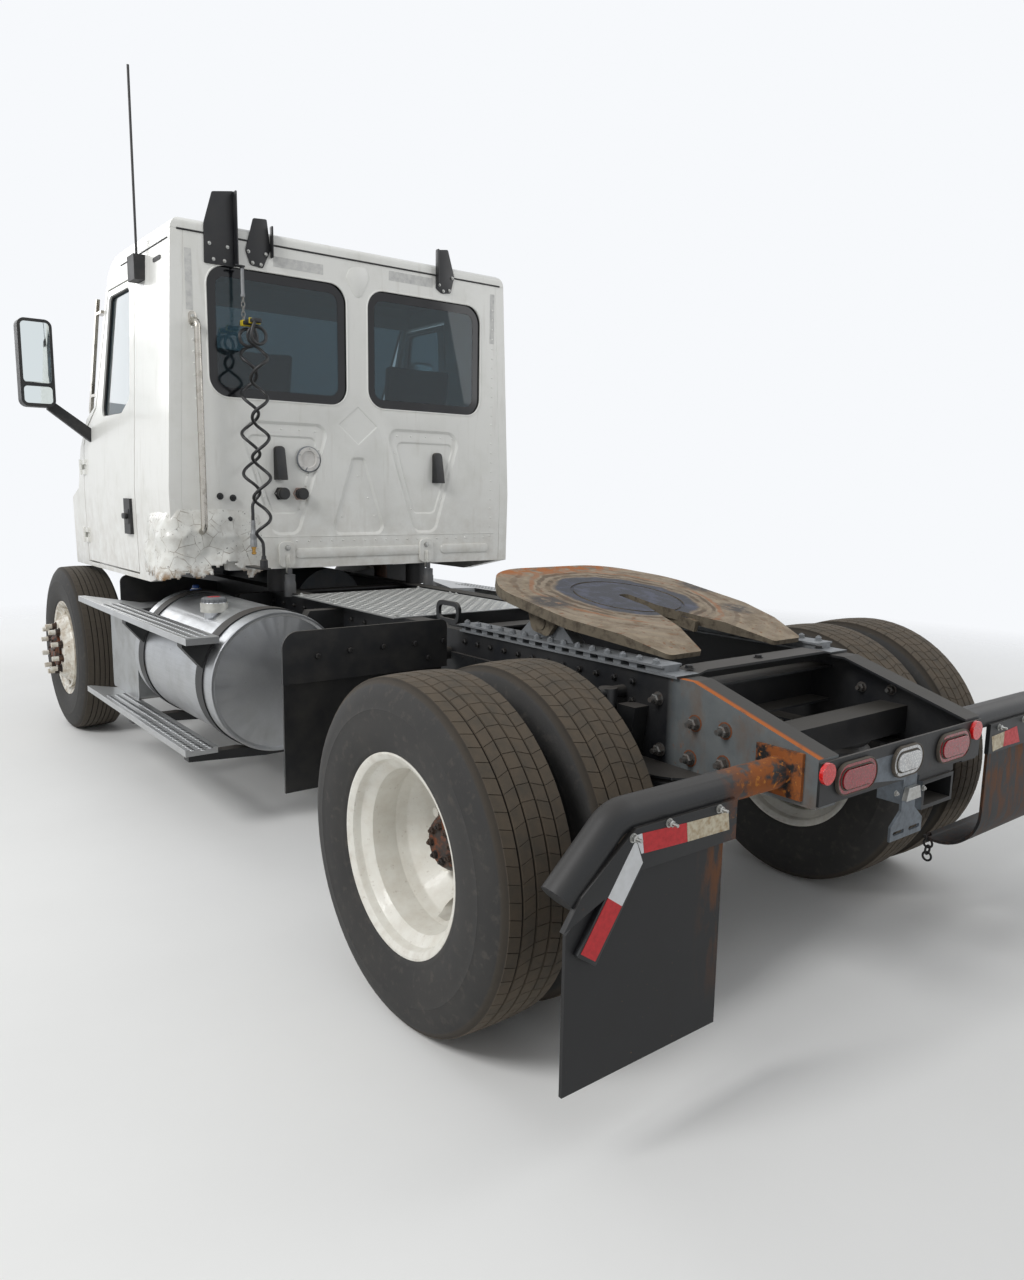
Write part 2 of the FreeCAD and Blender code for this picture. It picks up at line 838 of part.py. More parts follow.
def tail():
    """The closing plate with its lamps in grommets, the slotted number bracket and the receiver."""
    back = along(S.rail_back)
    face = back + S.tail_plate_wall
    low = S.tail_plate_bottom
    lip = S.grommet_lip * 2
    lamp_places = [(S.lamp_left_x, S.lamp_length), (size(10), S.lamp_length * 0.8),
                   (-S.lamp_right_x, S.lamp_length)]
    sheet_metal = plate("front", rectangle(
        (-S.rail_half, S.rail_half), (low, low + S.tail_plate_height)), back, face,
        holes=[oval(x, S.lamp_z, length, S.lamp_height) for x, length in lamp_places])
    bracket = plate("front", [
        (-62, low + 10), (-62, low - 95), (-110, low - 135), (-110, low - 180), (62, low - 180),
        (62, low - 135), (12, low - 95), (12, low + 10),
    ], back, face, holes=[
        rounded((-98, -38), (low - 165, low - 153), 5.5), rounded((-12, 48), (low - 165, low - 153), 5.5),
    ])
    receiver = box((-280, -100), (along(700), face), (S.rail_bottom - 105, S.rail_bottom - 15))
    bore = box((-268, -112), (along(700), face), (S.rail_bottom - 93, S.rail_bottom - 27))
    hanger = box((-290, -90), (along(700), back), (S.rail_bottom - 15, low + 18))
    finish(fuse(sheet_metal, bracket, cut(receiver, bore), hanger), "tail_plate")
    lamps = []
    for x, length in lamp_places:
        lamps.append(fuse(
            plate("front", oval(x, S.lamp_z, length, S.lamp_height), back - 30, face + 6),
            plate("front", oval(x, S.lamp_z, length + lip, S.lamp_height + lip), face + S.bearing_gap, face + 9),
            plate("front", oval(x, S.lamp_z, length - 12, S.lamp_height - 12), face + 5, face + S.lamp_proud)))
    for centre in (S.rail_half - 22, -(S.rail_half - 44)):
        lamps.append(rod("y", (centre, face, low + 90), 12, S.reflector_radius))
    lamps.append(plate("front", [
        (-66, low - 62), (16, low - 62), (4, low - 24), (-54, low - 24),
    ], face, face + S.lamp_proud))
    finish(group(*lamps), "tail_lamps")


def mud_flap_side():
    """One bent hanger arm with its clamp plate, and the flap that hangs from it."""
    y = along(S.hanger_y)
    arm = pipe("front", [
        (S.rail_half, S.hanger_z),
        (S.hanger_corner_x, S.hanger_z, S.hanger_bend),
        (S.hanger_end_x, S.hanger_end_z),
    ], -y, "side", S.rail_half, (y, S.hanger_z), S.hanger_radius)
    foot = box((S.rail_half, S.rail_half + 12), (y - 75, y + 75), (S.hanger_z - 65, S.hanger_z + 65))
    clamp = plate("front", [
        (S.flap_inner - 30, S.hanger_z - 20),
        (S.hanger_corner_x - 30, S.hanger_z - 20),
        (S.hanger_end_x - 30, S.hanger_end_z + 10),
        (S.hanger_end_x + 20, S.hanger_end_z - 60),
        (S.hanger_corner_x - 40, S.hanger_z - 30 - S.flap_plate_drop),
        (S.flap_inner - 30, S.hanger_z - 30 - S.flap_plate_drop),
    ], y + S.hanger_radius - 10, y + S.hanger_radius + 5)
    arm = fuse(arm, foot, clamp)
    flap = plate("front", [
        (S.flap_inner, S.hanger_z - 50),
        (S.hanger_corner_x - 35, S.hanger_z - 50),
        (S.flap_outer, S.hanger_end_z - 75),
        (S.flap_outer, S.flap_bottom),
        (S.flap_inner, S.flap_bottom),
    ], y + S.hanger_radius - 10.2 - S.flap_wall, y + S.hanger_radius - 10.2)
    return arm, flap


def curled_flap():
    """The right flap, curled forward below its clamp, with the rest of its chain at the inner corner."""
    back = along(S.hanger_y) + S.hanger_radius - 10.2
    front = back - S.flap_wall
    turn = S.flap_curl_radius
    low = S.flap_curl_bottom
    tip = back - S.flap_curl_reach
    curl = plate("side", [
        (back, S.hanger_z - 50), (back, low, turn + S.flap_wall), (tip, low + 30), (tip, low + 30 + S.flap_wall),
        (front, low + S.flap_wall, turn), (front, S.hanger_z - 50),
    ], -S.flap_outer, -S.flap_inner)
    outline = plate("front", [
        (-S.flap_inner, S.hanger_z - 50), (-(S.hanger_corner_x - 35), S.hanger_z - 50),
        (-S.flap_outer, S.hanger_end_z - 75), (-S.flap_outer, S.flap_bottom), (-S.flap_inner, S.flap_bottom),
    ], tip - 1, back)
    links = []
    for index in range(4):
        link = doc.addObject("Part::Torus", new_name("link"))
        bind(link, "Radius1", S.chain_ring)
        bind(link, "Radius2", S.chain_wire)
        spot = (-(S.flap_inner + 12), tip + 14, low + 34 - (S.chain_ring * 2 - S.chain_wire - 3) * index)
        place(link, spot, Rotation(Vector(0, 1, 0), 90) if index % 2 else Rotation(Vector(1, 0, 0), 90))
        links.append(link)
    return fuse(common(curl, outline), *links)


def mud_flaps():
    """Both hangers and both flaps, the right one curled."""
    arm, flap = mud_flap_side()
    finish(group(arm, mirrored(arm)), "flap_hangers")
    finish(group(flap, curled_flap()), "mud_flaps")


def splash_guards():
    """Upright guards ahead of the driven wheels and behind the front ones."""
    y = ahead(S.guard_ahead)
    upper = plate("front", [
        (S.guard_inner, S.guard_split),
        (S.guard_outer, S.guard_split),
        (S.guard_outer, S.guard_top, 60),
        (S.guard_inner, S.guard_top, 30),
    ], y, y + S.guard_wall)
    lower = plate("front", rectangle(
        (S.guard_inner + 20, S.guard_outer - 5),
        (S.guard_bottom, S.guard_split + 60)), y - S.guard_wall, y)
    stay = rod("x", (S.rail_half, y - 18 - S.guard_wall, 905), S.guard_outer - 60 - S.rail_half, 25)
    quarter = fuse(upper, lower, stay)
    front_y = ahead(S.battery_front + 100)
    screen = plate("front", [
        (S.rail_half, S.rail_bottom + 75), (S.rail_half, rail_top - 30),
        (size(760), S.cab_bottom - 20), (size(1000), S.cab_bottom - 20, 40),
        (size(1000), lower_step_top, 40), (size(760), lower_step_top),
    ], front_y, front_y + S.guard_wall)
    finish(group(quarter, mirrored(quarter), screen, mirrored(screen)), "splash_guards")


def coupling_outline(inset):
    """The coupling plate seen from above, with its throat, moved inward by an inset."""
    i = size(inset)
    far = S.plate_radius - i
    tip = S.plate_tip_back - i
    half = []
    for x, y, *turn in (
        (far * 0.62, -far, 260 - i), (far, -200, 300 - i), (far, 190, 140 - i),
        (S.plate_tip_half - i, tip, 30), (S.plate_tip_inner + i, tip, 20),
        (S.throat_mouth_half + i, S.throat_mouth_back, 60), (S.throat_half + i, S.throat_neck, 40),
        (S.throat_half + i, S.throat_end - i, 20 + i),
    ):
        half.append((x, y, *turn))
    other = [(-x, y, *turn) for x, y, *turn in reversed(half)]
    return half + other


def fifth_wheel_plate():
    """The coupling plate with ramps, skirt, ribs, jaw, grease groove, cheeks and pins, drawn level."""
    under = S.plate_rise - S.plate_wall
    top = S.plate_rise
    tip = S.plate_tip_back
    reach = S.plate_radius + 5
    drop = S.plate_ramp_drop
    deep = under - S.skirt_depth
    ramps = plate("side", [
        (-reach, under), (S.plate_ramp_back, under), (tip + 5, under - drop), (tip + 5, top - drop),
        (S.plate_ramp_back, top), (-reach, top),
    ], -reach, reach)
    disc = common(plate("top", coupling_outline(0), under - drop - 5, top + 5), ramps)
    groove = lathe("z", (0, 0, 0), [
        (top - S.grease_groove_depth, S.grease_groove_radius),
        (top + 1, S.grease_groove_radius),
        (top + 1, S.grease_groove_radius + S.grease_groove_width),
        (top - S.grease_groove_depth, S.grease_groove_radius + S.grease_groove_width),
    ])
    disc = cut(disc, groove)
    rim = cut(plate("top", coupling_outline(0), deep, under + 1),
              plate("top", coupling_outline(S.skirt_wall), deep - 1, under + 2))
    ramp_side = plate("side", [
        (-reach, deep), (S.plate_ramp_back - 60, deep), (tip + 5, under - drop - 8), (tip + 5, under - drop + 4),
        (S.plate_ramp_back, under + 1), (-reach, under + 1),
    ], -reach, reach)
    jaw = rod("z", (0, -1, under - 45), size(46), S.jaw_radius)
    slot = plate("top", [
        (-S.throat_half, S.throat_end, 20), (S.throat_half, S.throat_end, 20),
        (S.throat_half, S.jaw_radius + 20), (-S.throat_half, S.jaw_radius + 20),
    ], under - 50, under + 5)
    pieces = [disc, common(rim, ramp_side), cut(jaw, slot)]
    for side in (-1, 1):
        for near, far in ((S.trunnion_inner - 56, S.trunnion_inner - 38),
                          (S.trunnion_inner + 27, S.trunnion_inner + 45)):
            low = near if side > 0 else -far
            high = far if side > 0 else -near
            pieces.append(plate("side", [
                (-100, under), (100, under), (45, -40, 30), (-45, -40, 30),
            ], low, high))
        pin_start = S.trunnion_inner - 60 if side > 0 else -(S.trunnion_inner + 49)
        pieces.append(rod("x", (pin_start, 0, 0), size(109), S.trunnion_pin_radius))
        rib_low = size(58) if side > 0 else size(-76)
        pieces.append(box((rib_low, rib_low + 18), (-330, 300), (under - 40, under)))
        inner = S.trunnion_inner - 50
        for rib_y in (-240, -110, 130, 250):
            ends = (size(70), inner) if side > 0 else (-inner, size(-70))
            pieces.append(box(ends, (rib_y, rib_y + 14), (deep, under)))
    pieces.append(box((-300, 300), (-350, -332), (under - 40, under)))
    whole = fuse(*pieces)
    pivot = (0, ahead(S.fifth_wheel_ahead), S.trunnion_z)
    place(whole, pivot, Rotation(Vector(-1, 0, 0), S.plate_tilt.number))
    bind(whole, "Placement.Rotation.Angle", S.plate_tilt)
    finish(whole, "fifth_wheel_plate")


def fifth_wheel_base():
    """Toothed slide rails, their rear strap, the two pedestals and the release handle."""
    pivot_y = ahead(S.fifth_wheel_ahead)
    seat = rail_top + S.slide_height
    front = ahead(S.slide_front)
    back = along(S.slide_back)
    strip = S.slide_strip
    teeth = int((S.slide_front + S.slide_back).number / S.rack_pitch.number)
    rail = fuse(
        box((S.slide_inner, S.slide_outer), (front, back), (rail_top, rail_top + strip)),
        box((S.slide_inner + 20, S.slide_outer - 12), (front, back), (rail_top, seat)),
        box((S.slide_inner + 10, S.slide_outer), (front, back), (seat - strip - 1, seat)))
    slots = []
    for index in range(teeth):
        start = front + 22 + S.rack_pitch * index
        slots.append(box((S.rack_web, S.slide_outer + 5), (start, start + S.rack_slot),
                         (rail_top + strip, seat - strip - 1)))
    rail = cut(rail, *slots)
    pedestal = plate("side", [
        (pivot_y - 150, seat), (pivot_y + 150, seat),
        (pivot_y + 40, S.trunnion_z + 40, 38), (pivot_y - 40, S.trunnion_z + 40, 38),
    ], S.trunnion_inner - 32, S.trunnion_inner + 21)
    bore = rod("x", (S.trunnion_inner - 37, pivot_y, S.trunnion_z), size(63), S.trunnion_pin_radius + S.bearing_gap)
    half = fuse(rail, cut(pedestal, bore))
    rise = size(8)
    strap = plate("front", [
        (-S.slide_outer, rail_top), (-(S.slide_inner + 8), rail_top), (-(S.slide_inner - 30), rail_top + rise),
        (S.slide_inner - 30, rail_top + rise), (S.slide_inner + 8, rail_top), (S.slide_outer, rail_top),
        (S.slide_outer, rail_top + rise), (S.slide_inner, rail_top + rise),
        (S.slide_inner - 38, rail_top + rise * 2), (-(S.slide_inner - 38), rail_top + rise * 2),
        (-S.slide_inner, rail_top + rise), (-S.slide_outer, rail_top + rise),
    ], back - 30, back + 62)
    loop = cut(
        plate("side", rounded((front - 180, front - 20), (seat - 10, seat + 78), 34),
              S.slide_outer - 22, S.slide_outer - 8),
        plate("side", rounded((front - 162, front - 38), (seat + 8, seat + 60), 20),
              S.slide_outer - 30, S.slide_outer))
    link = rod("y", (S.slide_outer - 15, front - 95, seat - 12), size(115), size(7))
    finish(fuse(half, mirrored(half), strap, loop, link), "fifth_wheel_base")


def fuel_tank():
    """A round tank with dished ends, its filler, its straps and brackets."""
    front = ahead(S.tank_front)
    back = ahead(S.tank_back)
    r = S.tank_radius
    dish = S.tank_end_dish
    shell = lathe("y", (S.tank_x, 0, S.tank_z), [
        (front, 0), (front + 3, r * 0.55), (front + dish, r - 22), (front + dish - 8, r - 12),
        (front + dish - 8, r - 3), (front + dish, r), (back - dish, r), (back - dish + 8, r - 3),
        (back - dish + 8, r - 12), (back - dish, r - 22), (back - 3, r * 0.55), (back, 0),
    ])
    filler = lathe("z", (S.tank_x + 150, ahead(2060), 0), [
        (S.tank_z + r - 70, 0), (S.tank_z + r - 70, 44), (S.tank_z + r - 14, 44), (S.tank_z + r - 14, 58, 4),
        (S.tank_z + r + 16, 55, 6), (S.tank_z + r + 16, 0),
    ])
    sender = rod("z", (S.tank_x, front + 60, S.tank_z + r - 4), size(14), size(24))
    finish(fuse(shell, filler, sender), "fuel_tank")
    straps = []
    for y in (front + S.strap_inset, back - S.strap_inset):
        y0 = y - S.strap_width / 2
        band = lathe("y", (S.tank_x, y0, S.tank_z), [
            (0, r + 0.3), (S.strap_width, r + 0.3),
            (S.strap_width, r + 0.3 + S.strap_wall), (0, r + 0.3 + S.strap_wall),
        ])
        arm = plate("front", [
            (S.rail_half, rail_top - 20),
            (S.rail_half, S.tank_z - r + 80),
            (S.tank_x - 60, S.tank_z - r - 40),
            (S.tank_x + 40, S.tank_z - r - 40),
            (S.tank_x + 40, S.tank_z - r),
            (S.tank_x, S.tank_z - r + 2),
            (S.tank_x, S.tank_z),
            (S.tank_x - 200, rail_top - 20),
        ], y - S.strap_bracket_width / 2, y + S.strap_bracket_width / 2)
        hole = rod("y", (S.tank_x, y - S.strap_width, S.tank_z), S.strap_width * 2, r + 0.3)
        upper_arm = plate("front", [
            (S.tank_x + 240, S.upper_step_z), (S.step_outer - 10, S.upper_step_z),
            (S.step_outer - 10, S.upper_step_z - 20), (S.tank_x + 300, S.tank_z + 60),
            (S.tank_x + 260, S.tank_z + 60),
        ], y - S.strap_bracket_width / 2, y + S.strap_bracket_width / 2)
        lower_arm = plate("front", [
            (S.tank_x + 30, S.tank_z - r - 40), (S.step_outer - 20, S.lower_step_z - 30),
            (S.step_outer - 20, S.lower_step_z), (S.tank_x + 150, S.lower_step_z),
            (S.tank_x + 30, S.tank_z - r - 10),
        ], y - S.strap_bracket_width / 2, y + S.strap_bracket_width / 2)
        straps.append(fuse(band, cut(arm, hole), cut(upper_arm, hole), lower_arm))
    finish(group(*straps), "tank_straps")


def step_outlines(inset):
    """The upper and lower treads from above, moved inward by an inset."""
    i = size(inset)
    inner = S.step_outer - S.step_width + i
    outer = S.step_outer - i
    upper = [
        (inner, ahead(S.step_back) - i),
        (inner, ahead(S.tank_front + 12)),
        (S.battery_outer - 160 + i, ahead(S.tank_front + 80)),
        (outer - 50 + i, ahead(S.upper_step_front) + i),
        (outer - 15, ahead(S.upper_step_front) + i),
        (outer, ahead(S.step_bend)),
        (outer, ahead(S.step_back) - i),
    ]
    lower = [
        (inner, ahead(S.step_back + 60) - i),
        (inner, ahead(S.lower_step_front - 150)),
        (outer - 20, ahead(S.lower_step_front) + i),
        (outer, ahead(S.lower_step_front) + i),
        (outer, ahead(S.step_back + 60) - i),
    ]
    return upper, lower


def steps():
    """Pressed treads, open below: a kinked upper one and a straight lower one on each side."""
    wall = S.step_wall
    treads = []
    for outline, hollow, low in zip(step_outlines(0), step_outlines(S.step_sheet),
                                    (S.upper_step_z, S.lower_step_z)):
        sheet_metal = plate("top", outline, low, low + wall)
        inside = plate("top", hollow, low - 1, low + wall - S.step_sheet)
        treads.append(cut(sheet_metal, inside))
    upper, lower = treads
    finish(group(upper, lower, mirrored(upper), mirrored(lower)), "steps")


def side_boxes():
    """Battery box ahead of the tank, exhaust treatment box on the right."""
    battery = plate("side", rounded(
        (ahead(S.battery_front), ahead(S.battery_back)),
        (lower_step_top, S.battery_top), 20), S.battery_inner, S.battery_outer)
    shelf = box((S.rail_half, S.battery_inner), (ahead(S.battery_front - 60), ahead(S.battery_back + 60)),
                (S.rail_bottom + 20, S.battery_top - 20))
    outer = S.step_outer - S.step_width
    exhaust = plate("front", [
        (-S.exhaust_inner, lower_step_top, 20),
        (-S.exhaust_inner, S.exhaust_top, 20),
        (-outer, S.exhaust_top, 30),
        (-outer, lower_step_top, 30),
    ], ahead(S.exhaust_front), ahead(S.exhaust_back))
    holder = box((-S.exhaust_inner, -S.rail_half), (ahead(S.exhaust_front - 100), ahead(S.exhaust_back + 100)),
                 (S.rail_bottom + 20, S.exhaust_top - 30))
    foot = box((-S.step_outer + 20, -outer + 20), (ahead(S.exhaust_front - 200), ahead(S.exhaust_back + 200)),
               (lower_step_top, lower_step_top + 12))
    finish(group(fuse(battery, shelf), fuse(exhaust, holder, foot)), "side_boxes")


def deck_plates():
    """Tread plates bolted over the rails behind the cab."""
    low = rail_top + 0.3
    top = low + S.deck_wall
    pieces = [
        box((-280, 490), (ahead(S.deck_front), ahead(S.deck_split + 3)), (low, top)),
        box((-280, 490), (ahead(S.deck_split), ahead(S.deck_back)), (low, top)),
    ]
    finish(group(*pieces), "deck_plates")


def drive_axle():
    """The driven axle: banjo housing, tubes, spindles, spring seats and brake chambers."""
    mount = S.rear_dual_half
    y = rear_axle_y
    tube_end = mount - 215
    tube = rod("x", (-tube_end, y, S.axle_z), tube_end * 2, S.axle_tube_radius)
    spindle_end = mount + 70
    spindle = rod("x", (-spindle_end, y, S.axle_z), spindle_end * 2, S.spindle_radius)
    bowl = lathe("x", (0, y, S.axle_z), [
        (-150, 0), (-130, 120, 40), (-70, S.bowl_radius, 60), (70, S.bowl_radius, 60),
        (130, 120, 40), (150, 0),
    ])
    nose = cone("y", (0, y - 430, S.axle_z + 30), size(300), size(70), size(150))
    pieces = [tube, spindle, bowl, nose]
    for side in (-1, 1):
        pieces.append(box((side * 432 - 50, side * 432 + 55), (y - 70, y + 70),
                          (S.axle_z - 90, S.axle_z + 96)))
        start = size(482) if side > 0 else size(-608)
        pieces.append(rod("x", (start, y - 190, S.axle_z + 60), size(126), size(80)))
        pieces.append(box((side * 560 - 25, side * 560 + 25), (y - 190, y),
                          (S.axle_z - 15, S.axle_z + 75)))
    finish(fuse(*pieces), "drive_axle")


def rear_suspension():
    """Trailing spring arms from frame hangers, with bellows, dampers and their brackets."""
    y = rear_axle_y
    hanger = plate("side", [
        (y - 850, rail_top - 90), (y - 560, rail_top - 90), (y - 640, S.axle_z - 30, 30),
        (y - 770, S.axle_z - 30, 30),
    ], S.rail_half, S.rail_half + 14)
    boss = rod("x", (S.rail_half - 55, y - 705, S.axle_z + 25), size(70), size(45))
    arm = plate("side", [
        (y - 705, S.axle_z - 5), (y - 250, S.axle_z + 96), (y + 70, S.axle_z + 96),
        (y + 410, S.axle_z + 20), (y + 410, S.axle_z + 55), (y + 80, S.axle_z + 136),
        (y - 260, S.axle_z + 136), (y - 705, S.axle_z + 55),
    ], S.rail_half - 50, S.rail_half + 40)
    low = S.axle_z + 54
    high = S.rail_bottom - 6
    lobe = (high - low - 12) / 3
    neck = S.air_spring_radius - 22
    bellows = [(low, 0), (low, neck)]
    for index in range(3):
        bellows.append((low + 12 + lobe * (index + 0.5), S.air_spring_radius, 18))
        bellows.append((low + 12 + lobe * (index + 1), neck))
    bellows.append((high, 0))
    spring = lathe("z", (S.rail_half - 5, y + 335, 0), bellows)
    cap = rod("z", (S.rail_half - 5, y + 335, S.rail_bottom - 7), size(7), S.air_spring_radius + 2)
    pad = box((S.rail_half - 60, S.rail_half + 100), (y + 250, y + 420), (S.rail_bottom - 8, S.rail_bottom))
    fin = plate("side", [
        (y + 150, S.rail_bottom + 165), (y + 225, S.rail_bottom + 165), (y + 205, S.rail_bottom + 15),
        (y + 180, S.rail_bottom + 15),
    ], S.rail_half, S.rail_half + 60)
    damper = rod("z", (S.rail_half + 66, y + 110, S.axle_z + 60), size(150), size(38))
    damper_rod = rod("z", (S.rail_half + 66, y + 110, S.axle_z + 60), rail_top - 60 - S.axle_z - 60, size(30))
    top_pin = rod("x", (S.rail_half, y + 110, rail_top - 78), size(110), size(20))
    low_pin = box((S.rail_half + 30, S.rail_half + 66), (y + 90, y + 130), (S.axle_z + 60, S.axle_z + 100))
    unit = fuse(hanger, boss, arm, spring, cap, pad, fin, damper, damper_rod, top_pin, low_pin)
    finish(group(unit, mirrored(unit)), "rear_suspension")


def front_axle():
    """A forged beam under two leaf springs, with an eye for each kingpin."""
    y = front_axle_y
    half_w = S.beam_width / 2
    drop = S.beam_drop
    low = S.axle_z - S.beam_height / 2
    high = S.axle_z + S.beam_height / 2
    k = S.kingpin_half
    beam = plate("front", [
        (-k + 38, low + 0), (-k + 38, high), (-k + 130, high),
        (-520, high - drop, 60), (520, high - drop, 60),
        (k - 130, high), (k - 38, high), (k - 38, low),
        (k - 150, low - 20, 40), (560, low - drop, 60), (-560, low - drop, 60), (-k + 150, low - 20, 40),
    ], y - half_w, y + half_w)
    eyes = [rod("z", (side * k, y, low), S.beam_height, size(45)) for side in (-1, 1)]
    pins = [rod("z", (side * k, y, low - 55), S.beam_height + 110, S.kingpin_radius)
            for side in (-1, 1)]
    seat = [box((side * S.front_spring_half - 60, side * S.front_spring_half + 60), (y - 90, y + 90),
                (high - drop - 8, high - drop + 22)) for side in (-1, 1)]
    spring_low = high - drop + 22
    x0 = S.front_spring_half - S.front_spring_width / 2
    x1 = S.front_spring_half + S.front_spring_width / 2
    leaf = plate("side", [
        (y - 720, S.rail_bottom - 45), (y - 300, spring_low + 45, 400), (y - 90, spring_low + 4),
        (y + 90, spring_low + 4), (y + 300, spring_low + 45, 400), (y + 720, S.rail_bottom - 45),
        (y + 720, S.rail_bottom - 20), (y + 300, spring_low + 78, 400), (y + 90, spring_low + 50),
        (y - 90, spring_low + 50), (y - 300, spring_low + 78, 400), (y - 720, S.rail_bottom - 20),
    ], x0, x1)
    front_eye = box((x0, x1), (y - 760, y - 680), (S.rail_bottom - 60, S.rail_bottom))
    back_eye = box((x0, x1), (y + 680, y + 760), (S.rail_bottom - 60, S.rail_bottom))
    clamp = box((x0 + 2, x1 - 2), (y - 70, y + 70), (spring_low, spring_low + 90))
    spring = fuse(leaf, front_eye, back_eye, clamp)
    finish(fuse(beam, *eyes, *pins, *seat, spring, mirrored(spring)), "front_axle")


def knuckles():
    """Steering knuckles with spindle, kingpin lugs and the tie-rod arm."""
    y = front_axle_y
    k = S.kingpin_half
    low = S.axle_z - S.beam_height / 2
    high = S.axle_z + S.beam_height / 2
    mount = S.front_track_half + S.wheel_offset
    spindle = rod("x", (k + 62, y, S.axle_z), mount - 70 - k - 62, S.spindle_radius)
    plate_back = plate("side", [
        (y - 60, low - 70, 20), (y + 60, low - 70, 20), (y + 75, S.axle_z, 60), (y + 60, high + 70, 20),
        (y - 60, high + 70, 20), (y - 75, S.axle_z, 60),
    ], k + 58, k + 86)
    lugs = []
    for z0, z1 in ((low - 60, low - 6), (high + 6, high + 60)):
        lug = fuse(rod("z", (k, y, z0), z1 - z0, size(48)), box((k, k + 60), (y - 45, y + 45), (z0, z1)))
        bore = rod("z", (k, y, z0), z1 - z0, S.kingpin_radius + 0.5)
        lugs.append(cut(lug, bore))
    arm_z = low - 45
    arm = plate("top", [
        (k - 34, y + 20), (k + 70, y + 20), (k + 70, y + 60, 20),
        (k + 28, y + S.steer_arm_back - 40, 60),
        (k + 28, y + S.steer_arm_back + 28, 20),
        (k - 28, y + S.steer_arm_back + 28, 20),
    ], arm_z - 8, arm_z + 22)
    pin_hole = rod("z", (k, y + S.steer_arm_back, arm_z - 30), size(80), size(13))
    bore = rod("z", (k, y, arm_z - 30), size(80), S.kingpin_radius + 0.5)
    knuckle = fuse(spindle, plate_back, *lugs, cut(arm, pin_hole, bore))
    finish(knuckle, "knuckle_left")
    finish(mirrored(knuckle), "knuckle_right")
    rod_z = arm_z - 8 - 32
    bar = rod("x", (-k, y + S.steer_arm_back, rod_z), k * 2, S.tie_rod_radius)
    ends = []
    for side in (-1, 1):
        ends.append(rod("z", (side * k, y + S.steer_arm_back, rod_z - 26), size(52), size(30)))
        ends.append(rod("z", (side * k, y + S.steer_arm_back, rod_z), size(60), 13 - S.bearing_gap))
    finish(fuse(bar, *ends), "tie_rod")


def leaning(start, end, radius):
    """A round bar between two points of one side plane."""
    run = (end[1] - start[1]).number
    rise = (end[2] - start[2]).number
    bar = rod("z", start, size(math.hypot(run, rise)), radius)
    bar.Placement.Rotation = Rotation(Vector(1, 0, 0), -math.degrees(math.atan2(run, rise)))
    return bar


def elbow(spot, radius):
    """A ball that joins two bars at a corner."""
    ball = doc.addObject("Part::Sphere", new_name("elbow"))
    bind(ball, "Radius", radius)
    place(ball, spot)
    return ball


def belt_corners(centres, radius):
    """The corners, with their rounding, of a loop drawn round equal pulleys."""
    spots = [Vector(x, z, 0) for x, z in centres]
    corners = []
    for index, spot in enumerate(spots):
        into = (spot - spots[index - 1]).normalize()
        out = (spots[(index + 1) % len(spots)] - spot).normalize()
        outward = (into - out).normalize()
        half = math.acos(max(-1.0, min(1.0, into.dot(out)))) / 2
        apex = spot + outward * (radius / math.cos(half))
        corners.append((apex.x, apex.y, radius))
    return corners


def engine_front_end(front):
    """Timing cover, crank damper, fan drive, alternator and their belt, ahead of the block."""
    cover = plate("front", [
        (-165, 800, 40), (165, 800, 40), (165, 1180, 40), (120, 1370, 30), (-120, 1370, 30), (-165, 1180, 40),
    ], front + 60, front + 101)
    damper = lathe("y", (0, 0, S.damper_z), [
        (front + 8, 0), (front + 8, 34), (front + 18, 34), (front + 18, S.damper_radius), (front + 52, S.damper_radius),
        (front + 52, 45), (front + 62, 45), (front + 62, 0),
    ])
    hub = rod("y", (0, front, S.fan_z), size(101), size(45))
    alternator = fuse(rod("y", (-215, front + 50, 1235), size(110), size(68)),
                      rod("y", (-215, front + 18, 1235), size(34), size(40)))
    bracket = box((-250, -140), (front + 90, front + 150), (size(1100), size(1240)))
    centres = [(0, 900), (0, 1270), (-215, 1235)]
    band = cut(plate("front", belt_corners(centres, S.belt_radius.number), front + 22, front + 46),
               plate("front", belt_corners(centres, S.belt_radius.number - 7), front + 20, front + 48))
    return [cover, damper, hub, alternator, bracket, band]


